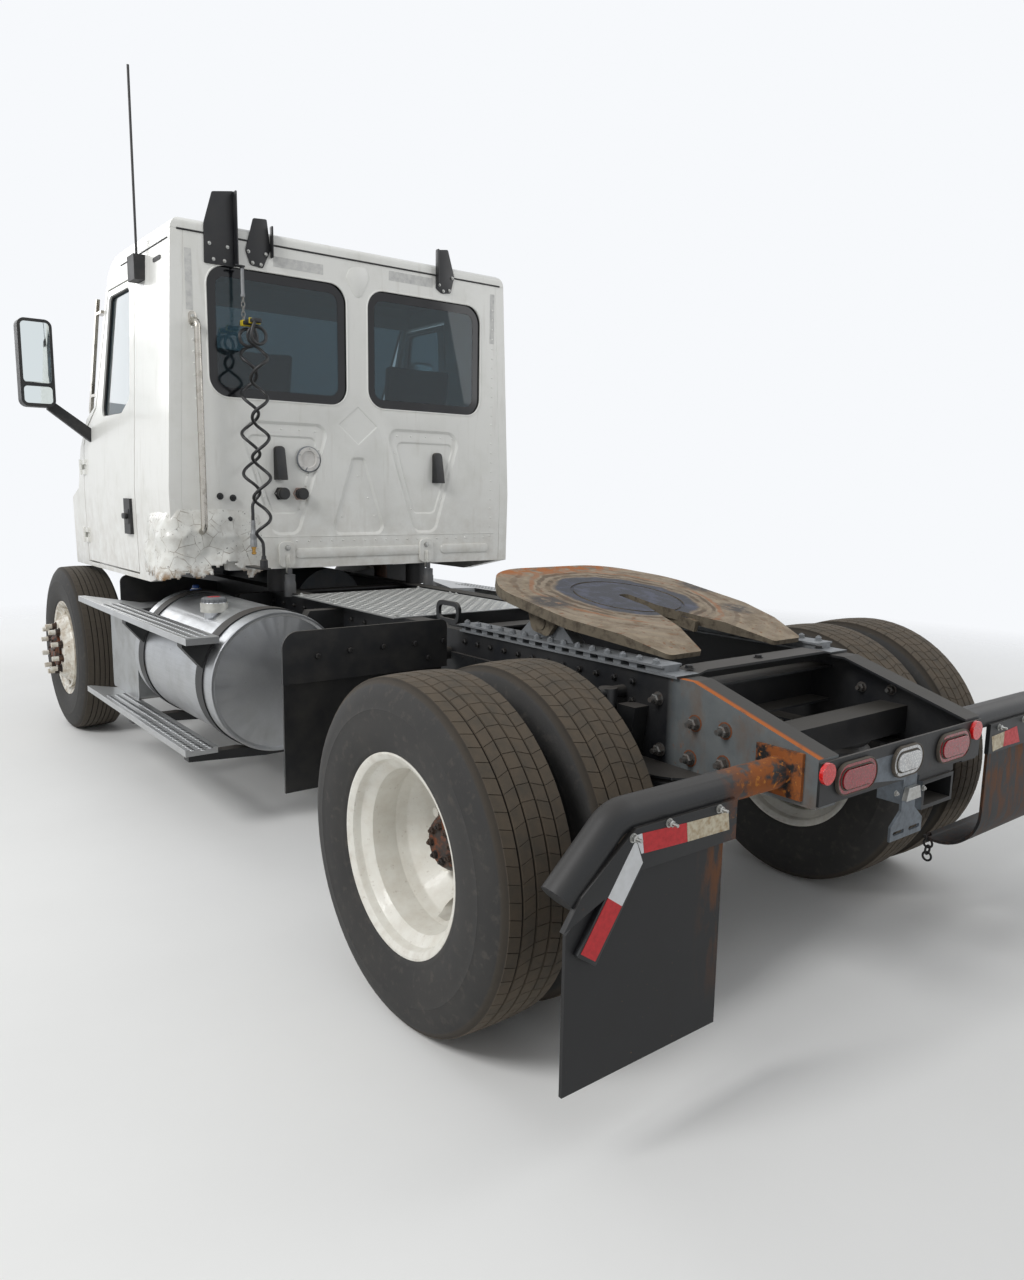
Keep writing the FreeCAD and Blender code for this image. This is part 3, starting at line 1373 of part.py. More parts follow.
def engine_sides(front, back):
    """Intake manifold, exhaust manifold, turbocharger, filters and pump against the block."""
    half = S.engine_half
    z = S.turbo_z
    x = -S.turbo_x
    manifold = plate("front", rounded((half - 5, half + 130), (1120, 1340), 40), front + 240, front + 800)
    runners = [box((S.cover_half - 10, half + 20), (front + 260 + 90 * index, front + 300 + 90 * index),
                   (size(1300), size(1400))) for index in range(6)]
    header = plate("front", rounded((-half - 55, -half + 5), (1190, 1280), 20), front + 240, front + 790)
    ports = [box((-half - 30, -half + 20), (front + 250 + 90 * index, front + 300 + 90 * index),
                 (size(1270), size(1350))) for index in range(6)]
    turbo = lathe("y", (x, 0, z), [
        (ahead(4440), 0), (ahead(4440), 52), (ahead(4428), 52), (ahead(4424), 90, 25), (ahead(4366), 97, 25),
        (ahead(4360), 48, 6), (ahead(4318), 48, 6), (ahead(4312), 85, 20), (ahead(4250), 85, 25), (ahead(4242), 50),
        (ahead(4230), 50), (ahead(4230), 0),
    ])
    outlet = rod("x", (x - 150, ahead(4395), z), size(120), S.charge_pipe_radius)
    neck = box((x, -half + 5), (ahead(4305), ahead(4255)), (z + 10, z + 95))
    filters = [rod("z", (half + 40, front + 330 + 150 * index, size(790)), size(230), size(48))
               for index in range(2)]
    head_pad = box((half - 5, half + 62), (front + 280, front + 530), (size(1000), size(1060)))
    pump = rod("y", (half + 50, front + 130, 1065), size(160), size(52))
    starter = rod("y", (-half - 28, back - 300, 850), size(250), size(50))
    return [manifold, *runners, header, *ports, turbo, outlet, neck, *filters, head_pad, pump, starter]


def engine_fan(front):
    """The fan in its shroud, fixed to the front of its drive."""
    middle = ahead(4917)
    hub = rod("y", (0, ahead(4950), S.fan_z), 4950 - S.engine_front, size(70))
    blades = []
    count = int(S.fan_blades.number)
    for index in range(count):
        blade = group(box((-48, 48), (-3, 3), (size(55), S.fan_radius - 4)))
        turn = Rotation(Vector(0, 1, 0), 360 / count * index) * Rotation(Vector(0, 0, 1), S.fan_pitch.number)
        place(blade, (0, middle, S.fan_z), turn)
        blades.append(blade)
    finish(fuse(hub, *blades), "engine_fan")


def engine_pipes(front):
    """Charge pipes from the cooler to both sides of the engine, and the top coolant hose."""
    face_y = ahead((S.cooler_ahead + S.radiator_ahead) / 2)
    radius = S.charge_pipe_radius
    left = pipe("top", [
        (480, face_y), (548, face_y, 45), (548, ahead(4560), 60), (S.engine_half + 130, ahead(4560)),
    ], size(1230), "side", size(480), (face_y, 1230), radius)
    right = pipe("top", [
        (-480, face_y), (-600, face_y, 50), (-600, ahead(4395), 60), (-S.turbo_x - 150, ahead(4395)),
    ], S.turbo_z, "side", size(-480), (face_y, S.turbo_z), radius)
    start = ahead(S.radiator_ahead) + S.radiator_wall + 10
    hose = pipe("side", [
        (start, 1655), (ahead(4848), 1655, 50), (ahead(4848), 1350, 50), (front + 100, 1350),
    ], size(205), "front", -start, (205, 1655), size(24))
    finish(group(left, right, hose), "engine_pipes")


def exhaust_pipe():
    """From the turbocharger outward, back under the floor and down into the exhaust box."""
    z = S.turbo_z - 25
    x = -S.exhaust_pipe_x
    radius = S.exhaust_pipe_radius
    joint = ahead(3600)
    first = pipe("top", [
        (-S.turbo_x, ahead(4230)), (-S.turbo_x, ahead(4160), 52), (x, ahead(4160), 52), (x, joint),
    ], z, "front", -ahead(4230), (-S.turbo_x, z), radius)
    second = pipe("side", [
        (joint, z), (ahead(3150), z, 70), (ahead(3150), S.exhaust_top),
    ], x, "front", -joint, (x, z), radius)
    sleeve = rod("y", (x, joint - 40, z), size(80), radius + 2)
    finish(fuse(first, second, sleeve), "exhaust_pipe")


def air_side():
    """The air cleaner with its pipe to the turbocharger, and the coolant tank, on the firewall."""
    wall = ahead(S.firewall_ahead + 30)
    x = -S.cleaner_x
    z = S.cleaner_z
    canister = lathe("y", (x, 0, z), [
        (ahead(4480), 0), (ahead(4480), S.cleaner_radius - 20), (ahead(4465), S.cleaner_radius, 8),
        (ahead(4420), S.cleaner_radius), (ahead(4418), S.cleaner_radius - 6), (ahead(4405), S.cleaner_radius - 6),
        (ahead(4403), S.cleaner_radius), (wall, S.cleaner_radius), (wall, 0),
    ])
    bend = ahead(4560)
    radius = size(50)
    drop = math.hypot((S.cleaner_x - S.turbo_x).number, (z - S.turbo_z).number)
    slant = rod("z", (x, bend, z), size(drop), radius)
    lean = math.degrees(math.atan2((S.cleaner_x - S.turbo_x).number, (S.turbo_z - z).number))
    slant.Placement.Rotation = Rotation(Vector(0, 1, 0), lean)
    pieces = [
        canister, rod("y", (x, bend, z), ahead(4470) - bend, radius), elbow((x, bend, z), radius + 4), slant,
        elbow((-S.turbo_x, bend, S.turbo_z), radius + 4),
        rod("y", (-S.turbo_x, bend, S.turbo_z), ahead(4440) - bend, radius),
    ]
    finish(fuse(*pieces), "air_cleaner")
    tank = plate("front", rounded((450, 700), (1480, 1690), 30), ahead(4200), wall)
    cap = rod("z", (600, ahead(4140), 1690), size(28), size(34))
    finish(fuse(tank, cap), "surge_tank")


def steering_gear():
    """The steering box on the left rail, its pitman arm, and the shaft from the firewall."""
    top = size(940)
    wall = ahead(S.firewall_ahead + 30)
    body = plate("side", [
        (ahead(4960), 790, 20), (ahead(4960), 900, 20), (ahead(4900), 940), (ahead(4810), 940), (ahead(4800), 790, 20),
    ], S.rail_half, S.rail_half + 118)
    arm = plate("side", [
        (ahead(4925), 890, 30), (ahead(4845), 890, 30), (ahead(4862), 590, 20), (ahead(4908), 590, 20),
    ], S.rail_half + 117, S.rail_half + 140)
    start = (S.rail_half + 58, ahead(4862), top)
    end = (S.rail_half + 58, wall, size(1380))
    run = (end[1] - start[1]).number
    rise = (end[2] - start[2]).number
    spare = 0.06
    low = (start[0], start[1] - run * spare, start[2] - rise * spare)
    high = (end[0], end[1] + run * spare, end[2] + rise * spare)
    shaft = common(leaning(low, high, size(13)), box(
        (S.rail_half + 20, S.rail_half + 100), (start[1] - 60, wall), (top - 5, top + 520)))
    finish(fuse(body, arm, shaft), "steering_gear")


def power_train():
    """Engine, gearbox, propeller shaft and radiator."""
    front = ahead(S.engine_front)
    back = ahead(S.engine_back)
    block = box((-S.engine_half, S.engine_half), (front + 100, back), (S.engine_bottom, S.engine_top))
    head = plate("front", [
        (-S.cover_half - 30, S.engine_top), (S.cover_half + 30, S.engine_top),
        (S.cover_half, S.cover_top, 30), (-S.cover_half, S.cover_top, 30),
    ], front + 110, back - 20)
    sump = box((-180, 180), (back - 620, back - 40), (size(640), S.engine_bottom))
    feet = [box((min(side * 250, side * 424), max(side * 250, side * 424)),
                (front + 150, front + 260), (size(880), size(960))) for side in (-1, 1)]
    bell = cone("y", (0, back, S.gearbox_z), size(180), size(260), S.gearbox_radius)
    gearbox = rod("y", (0, back + 180, S.gearbox_z), ahead(S.gearbox_back) - back - 180, S.gearbox_radius)
    flange = rod("y", (0, ahead(S.gearbox_back), S.gearbox_z), size(60), size(80))
    finish(fuse(block, head, sump, *feet, bell, gearbox, flange, *engine_front_end(front),
                *engine_sides(front, back)), "engine")
    engine_fan(front)
    engine_pipes(front)
    exhaust_pipe()
    air_side()
    steering_gear()
    shaft_start = ahead(S.gearbox_back) + 60
    shaft_end = rear_axle_y - 430
    run = (shaft_end - shaft_start).number
    fall = S.gearbox_z.number - S.axle_z.number - 30
    tilt = math.degrees(math.atan2(fall, run))
    length = math.hypot(run, fall)
    spare = 20
    back_step = size(spare * run / length)
    rise = size(spare * fall / length)
    tube = rod("y", (0, shaft_start - back_step, S.gearbox_z + rise), size(length + spare * 2), S.shaft_radius)
    tube.Placement.Rotation = Rotation(Vector(1, 0, 0), -90 - tilt)
    between = box((-S.shaft_radius * 2, S.shaft_radius * 2), (shaft_start, shaft_end),
                  (S.axle_z - S.shaft_radius * 2, S.gearbox_z + S.shaft_radius * 2))
    finish(common(tube, between), "driveshaft")
    ry = ahead(S.radiator_ahead)
    clear_of_rail = S.rail_half - S.rail_flange - 8
    core = plate("front", [
        (-clear_of_rail, S.radiator_bottom), (clear_of_rail, S.radiator_bottom),
        (clear_of_rail, rail_top + 8), (S.radiator_half, rail_top + 8),
        (S.radiator_half, S.radiator_top - 60), (-S.radiator_half, S.radiator_top - 60),
        (-S.radiator_half, rail_top + 8), (-clear_of_rail, rail_top + 8),
    ], ry, ry + S.radiator_wall)
    tanks = [box((-S.radiator_half, S.radiator_half), (ry - 10, ry + S.radiator_wall + 10),
                 (S.radiator_top - 90, S.radiator_top))]
    shroud = lathe("y", (0, 0, S.fan_z), [
        (ry + S.radiator_wall, S.fan_radius + 20), (ry + S.radiator_wall + 70, S.fan_radius + 20),
        (ry + S.radiator_wall + 70, S.fan_radius + 30), (ry + S.radiator_wall, S.fan_radius + 60),
    ])
    foot = [box((min(side * 350, side * 425), max(side * 350, side * 425)), (ry, ry + 60),
                (rail_top, rail_top + 8)) for side in (-1, 1)]
    cooler = box((-420, 420), (ahead(S.cooler_ahead), ry + 1), (size(1025), size(1600)))
    ends = [box((min(side * 419, side * 480), max(side * 419, side * 480)),
                (ahead(S.cooler_ahead), ry + 1), (size(1025), size(1600))) for side in (-1, 1)]
    finish(fuse(core, *tanks, shroud, *foot, cooler, *ends), "radiator")


def cab_section(shrink):
    """Corners of the cab's cross-section, moved inward by a wall."""
    s = size(shrink)
    return [
        (-(S.cab_sill_half - s), S.cab_bottom), (S.cab_sill_half - s, S.cab_bottom),
        (S.cab_crease_half - s, S.cab_crease_z), (S.cab_eaves_half - s, S.cab_eaves_z),
        (-(S.cab_eaves_half - s), S.cab_eaves_z), (-(S.cab_crease_half - s), S.cab_crease_z),
    ]


def side_band(low, high):
    """The left wall's thickness as one long extrusion; low and high are depths from its skin."""
    a, b = size(low), size(high)
    return plate("front", [
        (S.cab_sill_half - b, S.cab_bottom), (S.cab_sill_half - a, S.cab_bottom),
        (S.cab_crease_half - a, S.cab_crease_z), (S.cab_eaves_half - a, S.cab_eaves_z),
        (S.cab_eaves_half - b, S.cab_eaves_z), (S.cab_crease_half - b, S.cab_crease_z),
    ], ahead(S.cab_nose_ahead + 200), ahead(S.cab_back))


def side_outline():
    """The cab's side view, without its roof cap."""
    return [
        (ahead(S.cab_back), S.cab_floor_z),
        (ahead(S.cab_back), S.cab_eaves_z),
        (ahead(S.eaves_front), S.cab_eaves_z - 40),
        (ahead(S.header_ahead), S.header_z),
        (ahead(S.pillar_foot_ahead), S.pillar_foot_z),
        (ahead(S.cowl_ahead - 150), S.cowl_z + 170),
        (ahead(S.cowl_ahead), S.cowl_z),
        (ahead(S.cowl_ahead + 50), S.cab_crease_z),
        (ahead(S.cab_nose_ahead), S.cab_crease_z - 60),
        (ahead(S.cab_nose_ahead), S.cab_bottom),
        (ahead(S.cab_back + 370), S.cab_bottom),
    ]


def door_outline(gap):
    """The door in side view, made smaller by a gap all round."""
    g = size(gap)
    return [
        (ahead(S.door_back) - g, S.cab_bottom + 25 + g),
        (ahead(S.door_back) - g, S.door_top - g),
        (ahead(S.header_ahead - 32) + g, S.door_top - g),
        (ahead(S.pillar_foot_ahead - 32) + g, S.pillar_foot_z - g),
        (ahead(S.cowl_ahead - 170) + g, S.cowl_z + 130 - g),
        (ahead(S.door_front) + g, S.cowl_z + 20 - g),
        (ahead(S.door_front) + g, S.cab_bottom + 25 + g),
    ]


def window_outline(inset):
    """The side window, made smaller by an inset."""
    i = size(inset)
    return [
        (ahead(S.side_window_back) - i, S.side_window_bottom + 70 + i, 40),
        (ahead(S.side_window_back) - i, S.side_window_top - i, 40),
        (ahead(S.side_window_front_top) + i, S.side_window_top - i, 40),
        (ahead(S.side_window_front_low) + i, S.side_window_bottom + i, 40),
        (ahead(S.side_window_back + 150) - i, S.side_window_bottom + i, 40),
    ]


def hinge_leaf(low, high, near, far):
    """A hinge's flat leaf and its barrel, between two heights."""
    y = ahead(S.door_front)
    x = S.cab_crease_half + S.hinge_out
    y0, y1 = sorted((y + near, y + far), key=lambda value: value.number)
    leaf = box((S.cab_sill_half - 8, x - 4), (y0, y1), (low, high))
    return fuse(leaf, rod("z", (x, y, low), high - low, S.hinge_radius))


def hinge_halves():
    """The fixed halves with their pins, and the door's halves, of both left hinges."""
    fixed = []
    swinging = []
    y = ahead(S.door_front)
    x = S.cab_crease_half + S.hinge_out
    third = S.hinge_height / 3
    gap = S.bearing_gap
    for low in (S.hinge_low, S.hinge_high):
        pin = rod("z", (x, y, low), S.hinge_height, S.hinge_pin)
        fixed.append(fuse(hinge_leaf(low + third, low + third * 2, -2, -55), pin))
        bore = rod("z", (x, y, low - 5), S.hinge_height + 10, S.hinge_pin + gap)
        swinging.append(cut(hinge_leaf(low, low + third - gap, 2, 60), bore))
        swinging.append(cut(hinge_leaf(low + third * 2 + gap, low + S.hinge_height, 2, 60), bore))
    return fixed, swinging


def cab_frame():
    """Side walls with their door openings, the roof header and the cowl."""
    reach = (size(800), size(1200))
    outer = plate("side", side_outline(), *reach)
    opening = plate("side", door_outline(0), *reach)
    whole = fuse(cut(common(side_band(0, S.cab_wall), outer), opening), *hinge_halves()[0])
    back = ahead(S.cab_back)
    torn = plate("side", [
        (back + 10, 1040), (back + 10, 1345), (back - 35, 1312), (back - 70, 1330), (back - 110, 1262),
        (back - 150, 1290), (back - 185, 1215), (back - 230, 1190), (back - 262, 1120), (back - 262, 1040),
    ], size(950), size(1060))
    header = within_cab(plate("side", [
        (ahead(S.header_ahead), S.header_z), (ahead(S.header_ahead) + 80, S.header_z - 30),
        (ahead(S.header_ahead) + 110, S.header_z + 40), (ahead(S.eaves_front), S.cab_eaves_z - 41),
    ], size(-1000), size(1000)))
    cowl = within_cab(plate("side", [
        (ahead(S.cowl_ahead - 100) - 5, S.cowl_z + 110), (ahead(S.cowl_ahead - 100) + 25, S.cowl_z + 110),
        (ahead(S.firewall_ahead), S.cowl_z), (ahead(S.cowl_ahead), S.cowl_z),
    ], size(-1000), size(1000)))
    finish(group(cut(whole, torn), mirrored(whole), header, cowl), "cab_frame")


def doors():
    """Both doors with their windows."""
    reach = (size(800), size(1200))
    leaf = common(side_band(0, S.door_skin), plate("side", door_outline(S.door_gap), *reach))
    inner = common(side_band(S.door_skin - 1, S.door_wall),
                   plate("side", door_outline(S.door_gap + S.door_step), *reach))
    window = plate("side", window_outline(0), *reach)
    skin = cut(fuse(leaf, inner), window)
    handle = box((S.cab_crease_half - 6, S.cab_crease_half + 14), (ahead(3130), ahead(3020)),
                 (size(1290), size(1480)))
    door = fuse(skin, handle, *hinge_halves()[1])
    finish(door, "door_left")
    finish(mirrored(door), "door_right")
    pane = common(side_band(20, S.glass_wall + 20), plate("side", window_outline(S.glass_gap), *reach))
    finish(pane, "door_glass_left")
    finish(mirrored(pane), "door_glass_right")


def wall_face(height):
    """How far out the side wall's skin lies above its crease."""
    fall = (S.cab_crease_half - S.cab_eaves_half) / (S.cab_eaves_z - S.cab_crease_z)
    return S.cab_crease_half - (size(height) - S.cab_crease_z) * fall


def within_cab(piece):
    """What of a piece lies between the cab's side walls."""
    inside = plate("front", cab_section(S.cab_wall + S.glass_gap), ahead(S.cab_nose_ahead), ahead(S.cab_back))
    return common(piece, inside)


def cab_floor():
    """Floor and firewall with the tunnel over the engine's rear end."""
    back = ahead(S.cab_back)
    wide = size(1000)
    floor = box((-wide, wide), (ahead(S.firewall_ahead), back - S.cab_wall), (S.cab_floor_z, S.cab_floor_z + 30))
    hole = box((-S.tunnel_half, S.tunnel_half), (ahead(S.firewall_ahead + 40), ahead(S.tunnel_back)),
               (S.cab_floor_z - 5, S.tunnel_top))
    tunnel = box((-S.tunnel_half - 12, S.tunnel_half + 12), (ahead(S.firewall_ahead), ahead(S.tunnel_back) + 12),
                 (S.cab_floor_z, S.tunnel_top + 12))
    bulk = box((-wide, wide), (ahead(S.firewall_ahead + 30), ahead(S.firewall_ahead)),
               (S.cab_floor_z, S.cowl_z - 0.3))
    finish(within_cab(cut(fuse(floor, tunnel, bulk), hole)), "cab_floor")


def pressed(corners, depth):
    """The room of a pressed recess in the rear wall, narrower the deeper it goes."""
    back = ahead(S.cab_back)
    room = plate("front", corners, back - depth, back)
    bind(room.Tip, "TaperAngle", -S.pocket_slope)
    return room


def wall_recesses():
    """The rear wall's pressed panels, the level seats of its fittings, and the torn lower left corner."""
    back = ahead(S.cab_back)
    deep = S.panel_depth
    outer = pressed([(165, 1885, 60), (685, 1885, 80), (505, 1305, 60), (355, 1305, 60)], S.pocket_depth)
    inner = pressed([(215, 1830, 50), (660, 1830, 50), (510, 1400, 50), (345, 1400, 50)], deep)
    middle = pressed([(-40, 1720, 25), (40, 1720, 25), (175, 1300, 50), (-175, 1300, 50)], S.pocket_depth)
    diamond = pressed([(0, 1785), (120, 1888), (0, 1990), (-120, 1888)], size(3))
    ring_seat = rod("y", (295, back - deep, 1700), deep, 71)
    socket_seat = box((305, 385), (back - deep, back), (size(1480), size(1560)))
    torn = plate("front", [
        (738, 1100), (752, 1168), (790, 1205), (812, 1262), (858, 1240), (884, 1302), (925, 1318), (948, 1285),
        (970, 1345), (1040, 1345), (1040, 1100),
    ], back - S.cab_wall - 5, back + 5)
    return [outer, mirrored(outer), inner, mirrored(inner), middle, diamond, ring_seat, socket_seat, torn]


def cab_rear_wall():
    """The rear wall with its two window openings, and all fixed glass."""
    back = ahead(S.cab_back)
    windows = []
    panes = []
    for side in (-1, 1):
        low = S.rear_window_inner if side > 0 else -S.rear_window_outer
        high = S.rear_window_outer if side > 0 else -S.rear_window_inner
        windows.append(rounded((low, high), (S.rear_window_bottom, S.rear_window_top), S.rear_window_round))
        gap = S.glass_gap
        panes.append(plate("front", rounded(
            (low + gap, high - gap), (S.rear_window_bottom + gap, S.rear_window_top - gap),
            S.rear_window_round), back - 20, back - 20 + S.glass_wall))
    inner = cab_section(S.cab_wall + S.glass_gap)
    section = [(x, S.cab_floor_z) if z is S.cab_bottom else (x, z) for x, z in inner]
    sheet_metal = plate("front", section, back - S.cab_wall, back, holes=windows)
    under_roof = plate("side", side_outline(), -S.cab_sill_half, S.cab_sill_half)
    finish(common(cut(sheet_metal, *wall_recesses()), under_roof), "cab_rear_wall")
    screen = within_cab(plate("side", [
        (ahead(S.header_ahead) + 2, S.header_z - 5), (ahead(S.header_ahead) + 12, S.header_z - 5),
        (ahead(S.cowl_ahead - 100) + 8, S.cowl_z + 110.3), (ahead(S.cowl_ahead - 100) - 2, S.cowl_z + 110.3),
    ], size(-1000), size(1000)))
    finish(group(*panes, screen), "cab_glass")


def cab_roof():
    """The roof cap, hollow, with a rounded crown."""
    back = ahead(S.cab_back)
    high = ahead(S.cab_back + 190)
    half = S.cab_eaves_half
    outer = plate("side", [
        (back, S.cab_eaves_z + 0.3), (back, S.cab_eaves_z + 50, 30), (high, S.cab_roof_z, 200),
        (ahead(S.eaves_front), S.cab_roof_z - 70, 400), (ahead(S.header_ahead), S.header_z + 40, 40),
        (ahead(S.header_ahead), S.header_z + 0.3), (ahead(S.eaves_front), S.cab_eaves_z - 39.7),
    ], -half, half)
    inner = plate("side", [
        (back - S.roof_wall, S.cab_eaves_z - 60), (back - S.roof_wall, S.cab_eaves_z + 20),
        (high, S.cab_roof_z - S.roof_wall), (ahead(S.eaves_front), S.cab_roof_z - 70 - S.roof_wall),
        (ahead(S.header_ahead - 110), S.header_z + 30), (ahead(S.header_ahead - 110), S.header_z - 60),
    ], -(half - 90), half - 90)
    crown = plate("front", [
        (-half, size(2500)), (half, size(2500)), (half, S.cab_eaves_z + 40, 60),
        (S.cab_roof_half, S.cab_roof_z, 300), (-S.cab_roof_half, S.cab_roof_z, 300),
        (-half, S.cab_eaves_z + 40, 60),
    ], ahead(S.header_ahead + 200), back)
    finish(cut(common(outer, crown), inner), "cab_roof")


def cab_mounts():
    """Rubber mounts between frame and cab floor, and the tongues on the rear wall."""
    pieces = []
    for side in (-1, 1):
        x = S.rail_half * side
        for y in (ahead(S.cab_back + 110), ahead(S.firewall_ahead - 60)):
            pieces.append(rod("z", (x, y, rail_top), S.cab_floor_z - rail_top, size(58)))
        tongue = plate("front", rounded((x - 45, x + 45), (S.cab_floor_z + 5, S.cab_floor_z + 140), 30),
                       ahead(S.cab_back), ahead(S.cab_back) + 14)
        pieces.append(tongue)
    finish(group(*pieces), "cab_mounts")


def wall_fittings():
    """Vents, a port ring and two line sockets, seated in the rear wall's pressed panels."""
    face = ahead(S.cab_back)
    seat = face - S.panel_depth
    pieces = []
    for side in (-1, 1):
        frame_ring = plate("front", rounded((side * 475 - 38, side * 475 + 38), (1600, 1770), 15), seat, seat + 13)
        slots = [box((side * 475 - 28, side * 475 + 28), (seat + 5, seat + 14), (size(z), size(z + 14)))
                 for z in range(1614, 1750, 25)]
        pieces.append(cut(frame_ring, *slots))
    pieces.append(lathe("y", (295, 0, 1700), [
        (seat, 0), (seat, 45), (face - 10, 45), (face - 10, 67, 3), (face + 4, 67, 5), (face + 4, 44), (face - 4, 40),
        (face - 4, 0),
    ]))
    for x in (345, 450):
        flange = plate("front", [
            (x - 36, 1520), (x - 18, 1551), (x + 18, 1551), (x + 36, 1520), (x + 18, 1489), (x - 18, 1489),
        ], seat, seat + 10)
        pieces.append(fuse(flange, rod("y", (x, seat, 1520), size(58), size(27)),
                           rod("y", (x, seat + 40, 1520), size(12), size(31))))
    shelf_top = S.line_2_bottom - 60
    pieces.append(box((S.line_x - 30, S.line_x + 20), (face, ahead(S.line_2_ahead) + 25),
                      (shelf_top - 8, shelf_top)))
    finish(group(*pieces), "wall_fittings")


def handrails():
    """The upright grab handle behind the cab and the bright rail at the left screen pillar."""
    y = ahead(S.cab_back) + 65
    bar = pipe("side", [
        (ahead(S.cab_back), size(1330)), (y, size(1330), 40), (y, size(2330), 40),
        (ahead(S.cab_back), size(2330)),
    ], size(885), "front", -ahead(S.cab_back), (size(885), size(1330)), size(16))
    top = (ahead(3600), size(2585))
    low = (ahead(3880), size(1985))
    cowl_fall = (S.pillar_foot_z - S.cowl_z - 170) / (S.cowl_ahead - 150 - S.pillar_foot_ahead)
    foot_z = S.pillar_foot_z - (3880 - S.pillar_foot_ahead) * cowl_fall + S.bearing_gap
    rail = plate("side", [
        top, (top[0] - 24, top[1]), (low[0] - 24, low[1]), (low[0], foot_z), (low[0] + 16, low[1]),
    ], size(985), size(1003))
    run = (S.pillar_foot_ahead - S.header_ahead) / (S.header_z - S.pillar_foot_z)
    stays = []
    for low_z, reach in ((2060, 3850), (2500, 3640)):
        edges = [ahead(S.header_ahead + (S.header_z - z) * run) - 0.3 for z in (low_z, low_z + 16)]
        stays.append(plate("side", [
            (ahead(reach), low_z), (edges[0], low_z), (edges[1], low_z + 16), (ahead(reach), low_z + 16),
        ], size(965), size(1003)))
    finish(group(bar, fuse(rail, *stays)), "handrails")


def hose_tender():
    """The line holder at the roof's rear edge, its spring tube and ring, and the roof brackets."""
    face = ahead(S.cab_back)
    base = box((size(660), size(820)), (face, face + 10), (size(2600), size(2735)))
    post = box((size(700), size(780)), (face + 10, face + 40), (size(2600), size(2960)))
    tube = rod("z", (size(655), face + 60, S.line_top + 20), 2620 - S.line_top - 20, size(16))
    arm = box((size(640), size(740)), (face + 30, face + 75), (size(2600), size(2640)))
    clip = box((S.line_x - 22, S.line_x + 28), (ahead(S.line_1_ahead) - 25, ahead(S.line_2_ahead) + 20),
               (S.line_top, S.line_top + 20))
    pieces = [fuse(base, post, tube, arm, clip)]
    for x in (545, -560):
        pieces.append(box((x - 55, x + 55), (face, face + 8), (size(2630), size(2738))))
    finish(group(*pieces), "hose_tender")


def coil_lines():
    """Two curly lines that hang from the clip, each as the plain round of its turns, and their plugs."""
    x = S.line_x
    y_1 = ahead(S.line_1_ahead)
    y_2 = ahead(S.line_2_ahead)
    line_1 = rod("z", (x, y_1, S.line_1_bottom), S.line_top - S.line_1_bottom, S.line_coil_radius)
    line_2 = rod("z", (x - 5, y_2, S.line_2_bottom), S.line_top - S.line_2_bottom, S.line_coil_radius)
    plug_1 = rod("z", (x, y_1, S.line_1_bottom - 180), size(180), size(17))
    plug_2 = rod("z", (x - 5, y_2, S.line_2_bottom - 60), size(60), size(20))
    finish(line_1, "coil_line_1")
    finish(line_2, "coil_line_2")
    finish(group(plug_1, plug_2), "line_plugs")
    for line, length in ((line_1, S.line_top - S.line_1_bottom), (line_2, S.line_top - S.line_2_bottom)):
        print(line.Label, "is straight, length", length.number, "section radius", S.line_coil_radius.number)


def antenna():
    """A whip aerial on its foot at the cab's left eaves."""
    x = S.cab_eaves_half
    y = ahead(2830)
    foot = plate("front", [
        (wall_face(2560) + 0.3, 2560), (x + 60, 2560), (x + 60, 2680), (wall_face(2680) + 0.3, 2680),
    ], y - 60, y + 50)
    whip = rod("z", (x + 30, y, size(2680)), size(880), size(6))
    finish(fuse(foot, whip), "antenna")


